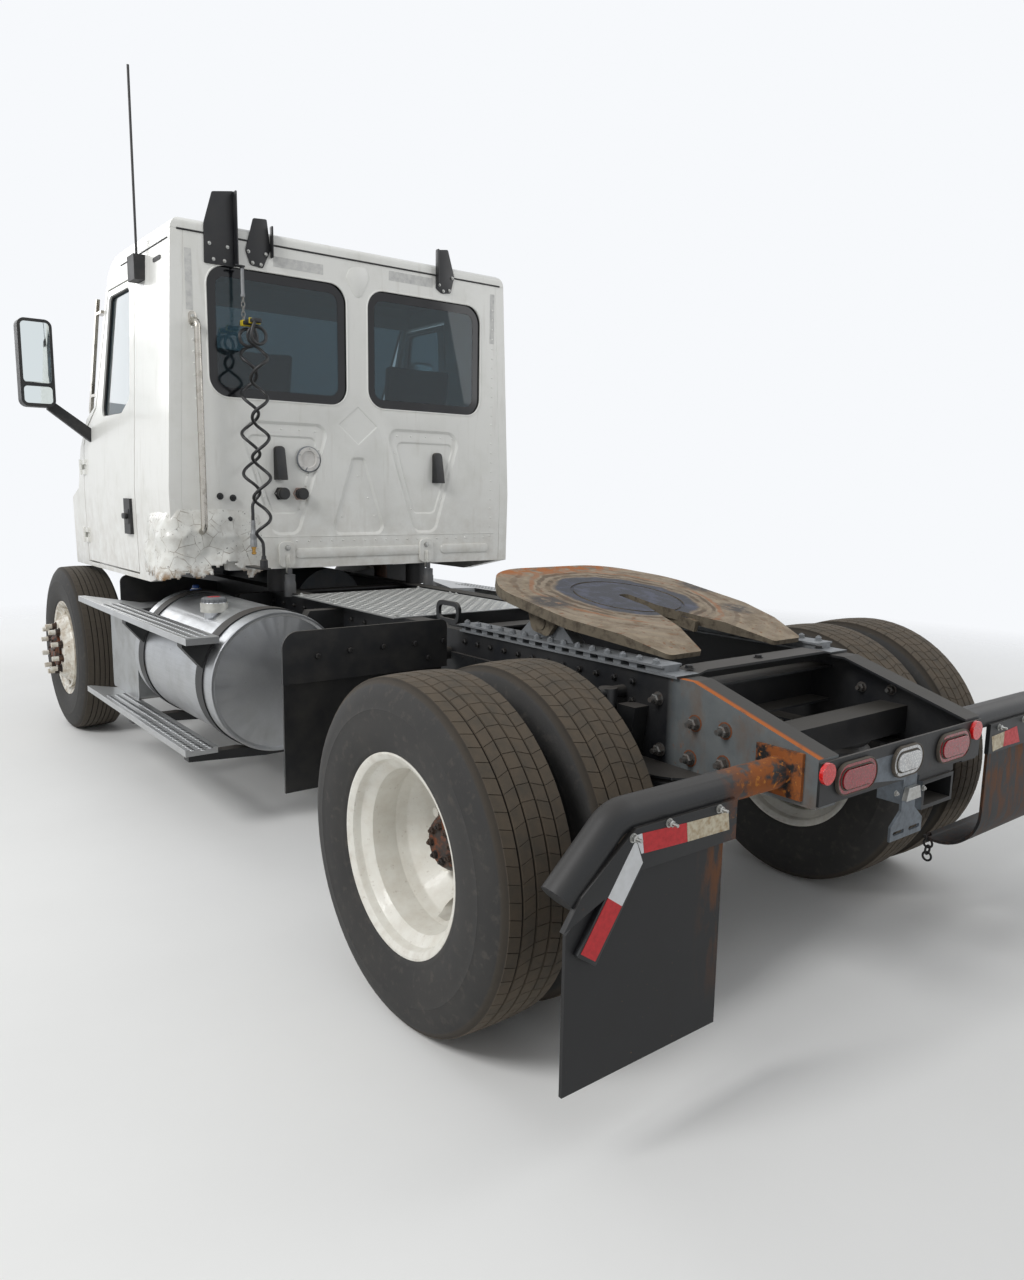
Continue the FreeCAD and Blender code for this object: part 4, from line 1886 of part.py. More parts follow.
def cab_inside():
    """Seats, dashboard and steering column."""
    seats = []
    for side in (-1, 1):
        cx = side * 500
        base = box((cx - 200, cx + 200), (ahead(3080), ahead(2700)), (S.cab_floor_z + 30, S.cab_floor_z + 330))
        cushion = box((cx - 250, cx + 250), (ahead(3150), ahead(2680)), (S.cab_floor_z + 330, S.cab_floor_z + 450))
        rest = plate("side", [
            (ahead(2740), S.cab_floor_z + 450), (ahead(2640), S.cab_floor_z + 450),
            (ahead(2530), S.cab_floor_z + 1150, 30), (ahead(2640), S.cab_floor_z + 1150, 30),
        ], size(cx - 240), size(cx + 240))
        seats.append(fuse(base, cushion, rest))
    finish(group(*seats), "seats")
    dash = plate("side", [
        (ahead(S.firewall_ahead), S.tunnel_top + 13), (ahead(3650), S.tunnel_top + 13, 60),
        (ahead(3700), size(1890), 80), (ahead(3870), size(1860), 60), (ahead(S.firewall_ahead), S.cowl_z - 10),
    ], size(-1000), size(1000))
    cowl = plate("side", [
        (ahead(3760), 1600), (ahead(3535), 1600, 20), (ahead(3478), 1690, 10), (ahead(3505), 1735, 20),
        (ahead(3760), 1780),
    ], S.steering_wheel_x - 45, S.steering_wheel_x + 45)
    centre = (S.steering_wheel_x, ahead(S.steering_wheel_ahead), S.steering_wheel_z)
    column = lathe("z", centre, [(-280, 0), (-280, 30), (-34.3, 30), (-34.3, 0)])
    column.Placement.Rotation = Rotation(Vector(-1, 0, 0), S.column_tilt.number)
    bind(column, "Placement.Rotation.Angle", S.column_tilt)
    rim = lathe("z", (0, 0, 0), [
        (-14, S.steering_wheel_radius, 12), (14, S.steering_wheel_radius, 12),
        (14, S.steering_wheel_radius - 28, 12), (-14, S.steering_wheel_radius - 28, 12),
    ])
    boss = rod("z", (0, 0, -34), size(52), size(60))
    spokes = [box((-S.steering_wheel_radius + 15, S.steering_wheel_radius - 15), (-18, 18), (-10, 4)),
              box((-18, 18), (-S.steering_wheel_radius + 15, 0), (-10, 4))]
    wheel = fuse(rim, boss, *spokes)
    place(wheel, centre, Rotation(Vector(-1, 0, 0), S.column_tilt.number))
    bind(wheel, "Placement.Rotation.Angle", S.column_tilt)
    finish(fuse(within_cab(dash), cowl, column), "dashboard")
    finish(wheel, "steering_wheel")


def mirrors():
    """Door mirrors on their arms."""
    y = ahead(S.mirror_ahead)
    shell = plate("front", rounded((S.mirror_inner, S.mirror_outer), (S.mirror_bottom, S.mirror_top), 40),
                  y, y + S.mirror_wall)
    arm = plate("front", [
        (S.cab_crease_half - 12, 1800), (S.mirror_inner + 40, S.mirror_bottom - 10),
        (S.mirror_inner + 40, S.mirror_bottom + 30), (S.mirror_inner, S.mirror_bottom + 30),
        (S.cab_crease_half - 15, 1880),
    ], y + 20, y + 60)
    mirror = fuse(shell, arm)
    finish(mirror, "mirror_left")
    finish(mirrored(mirror), "mirror_right")


front_wheels()
rear_wheels()
frame()
tail()
mud_flaps()
splash_guards()
fifth_wheel_plate()
fifth_wheel_base()
fuel_tank()
steps()
side_boxes()
deck_plates()
drive_axle()
rear_suspension()
front_axle()
knuckles()
power_train()
cab_frame()
doors()
cab_floor()
cab_rear_wall()
cab_roof()
cab_mounts()
wall_fittings()
handrails()
hose_tender()
coil_lines()
antenna()
cab_inside()
mirrors()
doc.recompute()

# Nothing is written unless every object and every shape is sound.
faults = []
for thing in doc.Objects:
    if set(thing.State) & {"Invalid", "Error"}:
        faults.append(f"{thing.Name} ({thing.Label}) failed: {thing.State}")
for part in sub_parts:
    if part.Shape.isNull() or not part.Shape.isValid() or not part.Shape.Solids:
        faults.append(f"{part.Label} has no sound shape")
if faults:
    raise RuntimeError("; ".join(faults))

os.makedirs("parts", exist_ok=True)
for part in sub_parts:
    part.Shape.exportStep(f"parts/{part.Label}.step")
print(len(sub_parts), "sub-parts written")
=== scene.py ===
# %% Load the fixed frame
import json
import math

import bmesh
import bpy
from mathutils import Matrix
from mathutils import Vector
from mathutils import noise
from mathutils.bvhtree import BVHTree

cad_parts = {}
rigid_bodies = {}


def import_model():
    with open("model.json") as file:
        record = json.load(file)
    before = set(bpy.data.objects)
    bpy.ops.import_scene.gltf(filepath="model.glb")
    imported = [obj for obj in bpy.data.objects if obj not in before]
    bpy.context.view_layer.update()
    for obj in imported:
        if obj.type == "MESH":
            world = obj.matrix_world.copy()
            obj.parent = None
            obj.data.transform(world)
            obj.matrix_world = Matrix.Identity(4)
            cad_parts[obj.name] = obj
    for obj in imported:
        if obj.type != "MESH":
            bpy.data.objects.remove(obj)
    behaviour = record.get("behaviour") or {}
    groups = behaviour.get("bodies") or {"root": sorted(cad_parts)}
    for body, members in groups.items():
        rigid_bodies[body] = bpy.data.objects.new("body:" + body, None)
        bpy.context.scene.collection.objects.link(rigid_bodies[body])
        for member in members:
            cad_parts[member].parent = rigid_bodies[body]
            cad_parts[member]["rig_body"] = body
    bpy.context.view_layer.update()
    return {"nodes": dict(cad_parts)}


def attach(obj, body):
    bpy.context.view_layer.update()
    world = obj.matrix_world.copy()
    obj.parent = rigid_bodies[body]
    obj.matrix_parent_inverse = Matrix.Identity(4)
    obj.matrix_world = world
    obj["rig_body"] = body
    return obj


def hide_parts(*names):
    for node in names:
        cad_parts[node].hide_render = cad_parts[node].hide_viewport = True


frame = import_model()

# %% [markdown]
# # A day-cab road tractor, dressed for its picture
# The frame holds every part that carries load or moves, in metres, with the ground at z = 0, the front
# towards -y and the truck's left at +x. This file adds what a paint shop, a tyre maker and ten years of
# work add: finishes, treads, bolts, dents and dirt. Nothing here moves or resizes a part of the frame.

# %% [markdown]
# ## Camera and stage
# The picture is taken at head height from behind the truck's left rear corner, with a wide lens. The
# camera's place, turn and lens come from fitting the truck's known sizes to the picture: tyres, rails
# and wheelbase. A wide lens close by makes the near tyre large, which a longer lens further off would not.

# %% Camera
REAR_AXLE_Y = 2.145
WHEELBASE = 4.19
FRONT_AXLE_Y = REAR_AXLE_Y - WHEELBASE
EYE = Vector((2.5114, REAR_AXLE_Y + 2.1893, 1.5523))
YAW = math.radians(-38.012)
PITCH = math.radians(-9.096)
ROLL = math.radians(0.929)
FOCAL_PIXELS = 930.74
PICTURE_HEIGHT = 1280
SENSOR_MM = 36.0

ahead_of_eye = Vector((math.sin(YAW) * math.cos(PITCH), -math.cos(YAW) * math.cos(PITCH), math.sin(PITCH)))
level_right = ahead_of_eye.cross(Vector((0, 0, 1))).normalized()
level_up = level_right.cross(ahead_of_eye)
eye_right = math.cos(ROLL) * level_right + math.sin(ROLL) * level_up
eye_up = -math.sin(ROLL) * level_right + math.cos(ROLL) * level_up
camera_data = bpy.data.cameras.new("camera")
camera_data.sensor_width = SENSOR_MM
camera_data.lens = SENSOR_MM * FOCAL_PIXELS / PICTURE_HEIGHT
camera = bpy.data.objects.new("camera", camera_data)
turn = Matrix((eye_right, eye_up, -ahead_of_eye)).transposed()
camera.matrix_world = Matrix.Translation(EYE) @ turn.to_4x4()
bpy.context.scene.collection.objects.link(camera)
bpy.context.scene.camera = camera
print("lens", round(camera_data.lens, 2), "mm")

# %% [markdown]
# Each colour below is written as the hex value that a picture editor shows. Blender mixes light in linear
# numbers, so one function turns the first into the second. Another function adds a shader node with its
# settings and links, which keeps the materials short enough to read as recipes.

# %% Colour and node helpers


def linear(hex_colour):
    """A hex sRGB colour as linear numbers with full opacity."""
    parts = [int(hex_colour[i:i + 2], 16) / 255 for i in (0, 2, 4)]
    return (*[p / 12.92 if p <= 0.04045 else ((p + 0.055) / 1.055) ** 2.4 for p in parts], 1.0)


def add(tree, kind, inputs=None, **settings):
    """Add a node; inputs are numbers, colours or other nodes' outputs, by socket name or index."""
    node = tree.nodes.new(kind)
    for name, value in settings.items():
        setattr(node, name, value)
    for name, value in (inputs or {}).items():
        if isinstance(value, bpy.types.NodeSocket):
            tree.links.new(value, node.inputs[name])
        else:
            node.inputs[name].default_value = value
    return node

# %% [markdown]
# A finish is laid on in coats, as on the real thing: paint, then dust, grease, scratches or rust, each
# let through by a mask. A mask is a number from 0 to 1 that comes from a noise of a real size, from which
# way a face looks, or from where a point is on the truck.

# %% Finishes that are laid on in coats


class Finish:
    """A material that starts as one plain coat and takes more coats through masks."""

    def __init__(self, name, colour, roughness, metallic=0.0, **sockets):
        self.material = bpy.data.materials.new(name)
        self.material.use_nodes = True
        self.tree = self.material.node_tree
        self.shader = self.tree.nodes["Principled BSDF"]
        self.colour = linear(colour)
        self.values = {"Roughness": roughness, "Metallic": metallic}
        self.height = None
        self.depth = 0.0
        for socket, value in sockets.items():
            self.shader.inputs[socket.replace("_", " ")].default_value = value
        self.place = add(self.tree, "ShaderNodeTexCoord").outputs["Object"]

    def patches(self, size_mm, low, high, stretch=(1, 1, 1)):
        """Soft patches about size_mm across; stretch squeezes them along an axis."""
        place = add(self.tree, "ShaderNodeMapping", {"Vector": self.place, "Scale": stretch})
        grain = add(self.tree, "ShaderNodeTexNoise", {
            "Vector": place.outputs["Vector"], "Scale": 1000 / size_mm, "Detail": 5.0, "Roughness": 0.6})
        return self.between(grain.outputs["Fac"], low, high)

    def between(self, value, low, high):
        """0 below low, 1 above high, and a straight ramp between them."""
        ramp = add(self.tree, "ShaderNodeMapRange", {"Value": value, "From Min": low, "From Max": high})
        return ramp.outputs["Result"]

    def along(self, axis, low, high):
        """A ramp along one axis of the truck, in metres."""
        parts = add(self.tree, "ShaderNodeSeparateXYZ", {"Vector": self.place})
        return self.between(parts.outputs[axis], low, high)

    def facing(self, axis, low, high):
        """A ramp by how far a face looks along an axis."""
        look = add(self.tree, "ShaderNodeNewGeometry")
        parts = add(self.tree, "ShaderNodeSeparateXYZ", {"Vector": look.outputs["Normal"]})
        return self.between(parts.outputs[axis], low, high)

    def from_axis(self, centre, flat):
        """How far a point lies from a line through centre; flat names the two axes measured."""
        shift = add(self.tree, "ShaderNodeVectorMath", {0: self.place, 1: centre}, operation="SUBTRACT")
        keep = tuple(1.0 if letter in flat else 0.0 for letter in "XYZ")
        level = add(self.tree, "ShaderNodeVectorMath", {0: shift.outputs[0], 1: keep}, operation="MULTIPLY")
        far = add(self.tree, "ShaderNodeVectorMath", {0: level.outputs[0]}, operation="LENGTH")
        return far.outputs["Value"]

    def combine(self, first, second, operation="MULTIPLY"):
        """Two masks or numbers joined by a sum."""
        joined = add(self.tree, "ShaderNodeMath", {0: first, 1: second}, operation=operation, use_clamp=True)
        return joined.outputs[0]

    def coat(self, mask, colour, roughness=None, metallic=None):
        """Lay a further coat where the mask lets it through."""
        over = linear(colour)
        mixed = add(self.tree, "ShaderNodeMix", {0: mask, 6: self.colour, 7: over}, data_type="RGBA")
        self.colour = mixed.outputs[2]
        for name, value in (("Roughness", roughness), ("Metallic", metallic)):
            if value is not None:
                blend = add(self.tree, "ShaderNodeMix", {0: mask, 2: self.values[name], 3: value})
                self.values[name] = blend.outputs[0]

    def patchy(self, patches, share, colour, roughness, metallic=None):
        """Lay a share of a coat in soft patches."""
        self.coat(self.combine(self.patches(*patches), share), colour, roughness, metallic)

    def relief(self, height, depth_mm):
        """Let a mask stand proud by depth_mm."""
        self.height = height
        self.depth = depth_mm / 1000

    def made(self):
        """Join the coats to the shader and give the material."""
        for name, value in {"Base Color": self.colour, **self.values}.items():
            socket = self.shader.inputs[name]
            if isinstance(value, bpy.types.NodeSocket):
                self.tree.links.new(value, socket)
            else:
                socket.default_value = value
        if self.height is not None:
            bump = add(self.tree, "ShaderNodeBump", {"Height": self.height, "Distance": self.depth})
            self.tree.links.new(bump.outputs["Normal"], self.shader.inputs["Normal"])
        return self.material

# %% [markdown]
# ## Stage
# A pale floor under the truck takes its shadow, so that it stands on something. A floor with an end would
# draw a horizon across the picture, so far out its material turns clear.

# %% Floor
FLOOR_SIZE = 60.0
FLOOR_DROP = 0.0005
CLEAR_FROM = 4.5
CLEAR_AT = 9.0

floor_mesh = bmesh.new()
bmesh.ops.create_grid(floor_mesh, x_segments=1, y_segments=1, size=FLOOR_SIZE / 2)
floor_data = bpy.data.meshes.new("floor")
floor_mesh.to_mesh(floor_data)
floor_mesh.free()
floor = bpy.data.objects.new("floor", floor_data)
floor.location.z = -FLOOR_DROP
bpy.context.scene.collection.objects.link(floor)
floor_finish = Finish("pale_studio_floor", "F2F2F0", 0.85)
floor_finish.coat(floor_finish.patches(900, 0.3, 0.8), "EEEEEC")
floor_data.materials.append(floor_finish.made())
fade = floor_finish.between(floor_finish.from_axis((0, 0, 0), "XY"), CLEAR_FROM, CLEAR_AT)
clear = add(floor_finish.tree, "ShaderNodeBsdfTransparent")
faded = add(floor_finish.tree, "ShaderNodeMixShader", {
    0: fade, 1: floor_finish.shader.outputs[0], 2: clear.outputs[0]})
output = floor_finish.tree.nodes["Material Output"]
floor_finish.tree.links.new(faded.outputs[0], output.inputs["Surface"])
print("floor", FLOOR_SIZE, "m wide, clear beyond", CLEAR_AT, "m")

# %% [markdown]
# The room is a plain pale world with three soft lamps. A world bright enough to look white would wash the
# truck out, so it has its full strength only for what the camera, gloss and glass see, and the lamps stay at
# a level at which a colour renders about as written. The key lamp grazes the rear wall from the truck's
# left, which brings out the wall's panels. The other two keep the far side and the nose from going black.

# %% Room and lamps
ROOM_LIGHT = 0.44
ROOM_AS_SEEN = 1.0

world = bpy.data.worlds.new("studio")
bpy.context.scene.world = world
world.use_nodes = True
room = world.node_tree
sky = room.nodes["Background"]
ray = add(room, "ShaderNodeLightPath")
through = add(room, "ShaderNodeMath", {
    0: ray.outputs["Is Glossy Ray"], 1: ray.outputs["Is Transmission Ray"]}, operation="MAXIMUM")
seen = add(room, "ShaderNodeMath", {0: ray.outputs["Is Camera Ray"], 1: through.outputs[0]},
           operation="MAXIMUM")
shade = add(room, "ShaderNodeMix", {0: seen.outputs[0], 2: ROOM_LIGHT, 3: ROOM_AS_SEEN})
room.links.new(shade.outputs[0], sky.inputs["Strength"])
sky.inputs["Color"].default_value = linear("F7F9FC")


def soft_lamp(name, spot, aim, power, width):
    """A square area lamp that looks at a point."""
    data = bpy.data.lights.new(name, "AREA")
    data.energy = power
    data.size = width
    lamp = bpy.data.objects.new(name, data)
    lamp.matrix_world = Matrix.Translation(Vector(spot)) @ (
        (Vector(aim) - Vector(spot)).to_track_quat("-Z", "Y").to_matrix().to_4x4())
    bpy.context.scene.collection.objects.link(lamp)
    return lamp


lamps = [
    soft_lamp("key_lamp", (7.2, 1.9, 6.8), (0, 0, 1.2), 430, 3.0),
    soft_lamp("fill_lamp", (-6.0, 4.0, 5.0), (0, 0, 1), 110, 5.0),
    soft_lamp("front_lamp", (2.0, -8.0, 5.0), (0, -1, 1), 170, 5.0),
]
bpy.context.scene.view_settings.view_transform = "Standard"
print("lamps", [(lamp.name, lamp.data.energy) for lamp in lamps])

# %% [markdown]
# ## Finishes
# A working tractor has few finishes, each in several states: white enamel that greys towards the sills,
# black chassis paint under dust, bare steel under grease, aluminium that has gone dull, and rubber. Each
# recipe starts from the clean finish and lays on what the years did.
#
# The cab's enamel is a two-pack paint on aluminium. Its clear top layer gives the sharp highlight, so it is
# made with the shader's coat. Road film greys it low down, and rain leaves upright runs, which are patches
# squeezed along z.

# %% White cab enamel
FINISH = {}


def white_cab_enamel():
    """Two-pack enamel on aluminium: glossy, greyed by road film low down, with runs of rain dirt."""
    paint = Finish("white_cab_enamel", "E8E8E3", 0.3, Coat_Weight=0.3, Coat_Roughness=0.1)
    paint.coat(paint.patches(260, 0.5, 0.8), "DCDCD5", 0.38)
    runs = paint.combine(paint.patches(45, 0.56, 0.8, (1, 1, 0.12)), 0.35)
    paint.coat(runs, "B9B4A8", 0.5)
    film = paint.combine(paint.along("Z", 1.65, 1.08), paint.patches(70, 0.3, 0.75))
    paint.coat(paint.combine(film, 0.55), "AFA698", 0.6)
    specks = paint.patches(9, 0.74, 0.8)
    paint.coat(paint.combine(specks, 0.5), "7A6A58", 0.7)
    return paint.made()


FINISH["enamel"] = white_cab_enamel()

# %% [markdown]
# Where the sheet has been folded like foil, the same enamel has cracked along the folds and been scuffed to
# grey. The cracks run where cells of a Voronoi noise meet, which gives short straight lines that a soft
# noise can't.

# %% Crumpled enamel


def crumpled_enamel():
    """The cab's enamel where its sheet is folded like foil: cracked along the folds and scuffed."""
    paint = Finish("crumpled_enamel", "E2E2DC", 0.34, Coat_Weight=0.2)
    paint.patchy((60, 0.42, 0.72), 0.55, "B4AFA4", 0.5)
    cells = add(paint.tree, "ShaderNodeTexVoronoi", {"Vector": paint.place, "Scale": 13.0},
                feature="DISTANCE_TO_EDGE")
    cracks = paint.combine(paint.between(cells.outputs["Distance"], 0.022, 0.0), paint.patches(70, 0.45, 0.6))
    paint.coat(cracks, "6E5A44", 0.7)
    paint.patchy((16, 0.63, 0.68), 0.8, "46403A", 0.7)
    paint.coat(paint.combine(paint.along("Z", 1.17, 1.10), paint.patches(30, 0.4, 0.6)), "8A6A44", 0.8)
    return paint.made()


FINISH["crumpled"] = crumpled_enamel()

# %% [markdown]
# Chassis black is a satin alkyd paint on pressed steel. Brown dust settles on what looks up, and rust comes
# through at thin spots. The left flap hanger is orange with rust at its root, and the left rail's tail piece
# is worn to bare blue-grey steel with one orange edge, so both are masked by where they are on the truck.

# %% Black chassis paint
TAIL_FROM_Y = REAR_AXLE_Y + 0.30
LEFT_OF_X = 0.30


def black_chassis_paint(name="black_chassis_paint", dust=0.5, rust=0.15, rusty_root=False):
    """Satin alkyd paint on pressed steel, under brown dust, rusting at its thin spots."""
    paint = Finish(name, "0D0F12", 0.45)
    paint.patchy((130, 0.35, 0.8), dust, "2B2A27", 0.7)
    settled = paint.combine(paint.facing("Z", 0.35, 0.95), dust)
    paint.coat(settled, "55504A", 0.85)
    if rusty_root:
        root = paint.combine(paint.along("X", 0.72, 0.58), paint.along("X", LEFT_OF_X, LEFT_OF_X + 0.01))
        paint.coat(paint.combine(root, paint.patches(45, 0.40, 0.52)), "8A4E22", 0.95)
        paint.coat(paint.combine(root, paint.patches(20, 0.60, 0.66)), "B0702E", 0.95)
    spots = paint.combine(paint.patches(55, 0.66, 0.76), rust)
    paint.coat(spots, "6E3F22", 0.9)
    paint.relief(paint.patches(14, 0.2, 0.9), 0.25)
    return paint.made()


def rail_paint():
    """The rails' black paint, worn to rusty steel on the left rail's bolted tail piece."""
    paint = Finish("rail_paint", "111317", 0.45)
    paint.patchy((140, 0.35, 0.8), 0.4, "36332E", 0.8)
    paint.coat(paint.combine(paint.facing("Z", 0.35, 0.95), 0.5), "4C4841", 0.9)
    tail = paint.combine(paint.along("Y", TAIL_FROM_Y, TAIL_FROM_Y + 0.04),
                         paint.along("X", LEFT_OF_X, LEFT_OF_X + 0.01))
    steel = paint.patches(90, 0.2, 0.9)
    paint.coat(tail, "5E6467", 0.5, 0.35)
    paint.coat(paint.combine(tail, steel), "777A79", 0.6, 0.2)
    bloom = paint.patches(120, 0.52, 0.66, (1, 1, 0.5))
    paint.coat(paint.combine(tail, paint.combine(bloom, 0.6)), "64503F", 0.85, 0.1)
    spots = paint.combine(tail, paint.patches(34, 0.64, 0.70))
    paint.coat(paint.combine(spots, 0.7), "7D4E2A", 0.95, 0.0)
    flange = paint.combine(tail, paint.facing("Z", 0.25, 0.45))
    paint.coat(flange, "3E3C39", 0.7, 0.2)
    edge = paint.combine(flange, paint.along("X", 0.405, 0.417))
    paint.coat(paint.combine(edge, paint.patches(60, 0.25, 0.4)), "B0622A", 0.95, 0.0)
    paint.relief(paint.patches(12, 0.2, 0.9), 0.3)
    return paint.made()


FINISH["chassis"] = black_chassis_paint()
FINISH["hanger"] = black_chassis_paint("hanger_paint", 0.25, 0.25, True)
FINISH["rail"] = rail_paint()

# %% [markdown]
# Axles, knuckles and the exhaust are iron that never kept its paint: rough, brown and greasy. The wheels are
# steel discs in white powder coat. Their dirt lies in rings, so it follows how far a point is from the axle,
# and the hub in the middle is dark and oily.

# %% Iron and wheel paint
AXLE_Z = 0.518
HUB_RADIUS = 0.118


def rusty_iron(name="rusty_iron", base="2A2624", grease=0.4):
    """Cast or forged iron that never kept its paint: dark, dry and brown, with greasy patches."""
    iron = Finish(name, base, 0.75, 0.2)
    iron.coat(iron.patches(60, 0.4, 0.65), "4F3A2C", 0.9, 0.0)
    iron.coat(iron.patches(22, 0.58, 0.7), "6B4427", 0.95, 0.0)
    iron.patchy((90, 0.5, 0.62), grease, "15130F", 0.35, 0.0)
    iron.relief(iron.patches(8, 0.2, 0.9), 0.5)
    return iron.made()


def dusty_wheel_paint(name, centre_y, dirt):
    """White powder coat on a steel disc wheel, with road dirt, and a dark greasy hub in its middle."""
    paint = Finish(name, "E3E1D8", 0.38, Coat_Weight=0.15)
    far = paint.from_axis((0, centre_y, AXLE_Z), "YZ")
    paint.patchy((50, 0.4, 0.75), dirt, "A8957A", 0.7)
    paint.patchy((14, 0.62, 0.7), dirt, "7B5A3A", 0.85)
    rim = paint.combine(paint.between(far, 0.25, 0.29), paint.patches(35, 0.45, 0.7))
    paint.coat(paint.combine(rim, dirt), "8F7C66", 0.8)
    centre = paint.between(far, HUB_RADIUS + 0.004, HUB_RADIUS - 0.004)
    paint.coat(centre, "2B221C", 0.7, 0.1)
    paint.coat(paint.combine(centre, paint.patches(26, 0.45, 0.6)), "6A3A20", 0.9, 0.0)
    return paint.made()


FINISH["iron"] = rusty_iron()
FINISH["axle"] = rusty_iron("axle_iron", "211F1D", 0.6)
FINISH["exhaust"] = rusty_iron("exhaust_steel", "4A342A", 0.2)
FINISH["rear_wheel"] = dusty_wheel_paint("rear_wheel_paint", REAR_AXLE_Y, 0.25)
FINISH["front_wheel"] = dusty_wheel_paint("front_wheel_paint", FRONT_AXLE_Y, 0.9)

# %% [markdown]
# Mill-finish aluminium shows the fine lines of its rolling: a noise of 3 mm, squeezed along the grain until
# only lines are left. The tank, steps and tread plates differ in colour, grain and dirt alone. The rear
# handle is polished stainless tube, and small fasteners are zinc plated, gone grey with a little brown.

# %% Aluminium, stainless and zinc


def spun_aluminium(name, colour="B9BBBD", grain=(1, 0.02, 1), dirt=0.4):
    """Mill-finish aluminium: fine lines along its rolling direction, dull film and dark road spots."""
    metal = Finish(name, colour, 0.36, 1.0)
    lines = metal.patches(3, 0.3, 0.75, grain)
    metal.coat(metal.combine(lines, 0.5), "9FA1A3", 0.5)
    metal.patchy((180, 0.45, 0.75), dirt, "8D8B86", 0.6, 0.7)
    low = metal.combine(metal.facing("Z", -0.1, -0.9), dirt)
    metal.coat(low, "5E574E", 0.8, 0.1)
    metal.patchy((20, 0.66, 0.74), dirt, "54493C", 0.8, 0.0)
    metal.relief(lines, 0.03)
    return metal.made()


def bright_bar():
    """Polished stainless tube, filmed over and spotted."""
    metal = Finish("polished_stainless", "B4B0A8", 0.24, 1.0)
    metal.coat(metal.patches(40, 0.50, 0.75), "8A847A", 0.4, 0.9)
    return metal.made()


def zinc_plate():
    """Zinc-plated fasteners, gone grey with a little brown."""
    metal = Finish("zinc_plated_bolt", "8A8A86", 0.45, 0.9)
    metal.coat(metal.patches(12, 0.5, 0.7), "5B4A3A", 0.8, 0.1)
    return metal.made()


FINISH["tank"] = spun_aluminium("tank_aluminium")
FINISH["step"] = spun_aluminium("step_aluminium", "C3C4C4", (1, 1, 1), 0.3)
FINISH["tread_plate"] = spun_aluminium("tread_plate_aluminium", "AEB0B0", (0.2, 1, 1), 0.7)
FINISH["bright"] = bright_bar()
FINISH["zinc"] = zinc_plate()

# %% [markdown]
# The coupling plate's top is bare rolled steel. A trailer's plate has turned on it for years, so wear,
# rust and dried grease lie in rings round the kingpin's place, and the fresh grease in the middle is nearly
# black with a blue cast. The rings are a sine of the distance from that place, bent a little by a noise, and
# a few named bands and patches are laid where the real plate has them.

# %% Coupling plate steel
KINGPIN_Y = REAR_AXLE_Y - 0.33
COUPLING_Z = 1.1
FRESH_GREASE_RADIUS = 0.560
RING_BANDS = [(0.585, 0.600, "4A3B2E", 0.8), (0.628, 0.640, "4A3A2C", 0.75), (0.655, 0.668, "9C5E30", 0.5),
              (0.720, 0.733, "5A4636", 0.5)]
DARK_PATCHES = [(0.38, 1.823, 0.075), (-0.461, 1.779, 0.075), (-0.342, 2.075, 0.06)]


def coupling_steel():
    """A fifth wheel's top: bare rolled steel, tan with dried grease, blue-black where it is fresh."""
    steel = Finish("coupling_steel", "8D7F6B", 0.6, 0.35)
    far = steel.from_axis((0, KINGPIN_Y, COUPLING_Z), "XY")
    swirl = add(steel.tree, "ShaderNodeTexNoise", {"Vector": steel.place, "Scale": 9.0, "Detail": 4.0})
    ring = steel.combine(far, steel.between(swirl.outputs["Fac"], -4.0, 11.0), "ADD")
    rings = add(steel.tree, "ShaderNodeMath", {0: ring, 1: 130.0}, operation="MULTIPLY")
    wave = add(steel.tree, "ShaderNodeMath", {0: rings.outputs[0]}, operation="SINE")
    steel.coat(steel.combine(steel.between(wave.outputs[0], -0.2, 1.0), 0.35), "A39377", 0.5, 0.45)
    steel.patchy((70, 0.42, 0.62), 0.7, "6D5D49", 0.75, 0.1)
    steel.patchy((24, 0.58, 0.66), 0.7, "7A4B2A", 0.85, 0.0)
    side = steel.facing("Z", 0.75, 0.45)
    steel.coat(side, "6A6152", 0.85, 0.05)
    steel.coat(steel.combine(side, steel.patches(30, 0.45, 0.65)), "4A4136", 0.9, 0.0)
    top = steel.facing("Z", 0.8, 0.95)
    for inner, outer, colour, share in RING_BANDS:
        band = steel.combine(steel.between(ring, inner - 0.006, inner),
                             steel.between(ring, outer + 0.006, outer))
        broken = steel.combine(band, steel.patches(110, 0.36, 0.52))
        steel.coat(steel.combine(steel.combine(broken, top), share), colour, 0.8, 0.1)
    for x, y, wide in DARK_PATCHES:
        near = steel.from_axis((x, y, COUPLING_Z), "XY")
        spot = steel.combine(steel.between(near, wide + 0.02, wide - 0.02), steel.patches(30, 0.34, 0.5))
        steel.coat(steel.combine(spot, top), "332C26", 0.6, 0.1)
    fresh = steel.combine(steel.between(ring, FRESH_GREASE_RADIUS + 0.015, FRESH_GREASE_RADIUS), top)
    steel.coat(fresh, "1B1D28", 0.6, 0.0)
    steel.coat(steel.combine(fresh, steel.patches(60, 0.48, 0.62)), "2A2E42", 0.55, 0.0)
    steel.coat(steel.combine(fresh, steel.patches(18, 0.60, 0.66)), "131419", 0.6, 0.0)
    front = steel.combine(steel.along("Y", 1.50, 1.42), steel.patches(45, 0.42, 0.55))
    steel.coat(steel.combine(front, top), "A0602E", 0.85, 0.0)
    steel.relief(steel.patches(10, 0.2, 0.9), 0.6)
    return steel.made()


FINISH["coupling"] = coupling_steel()
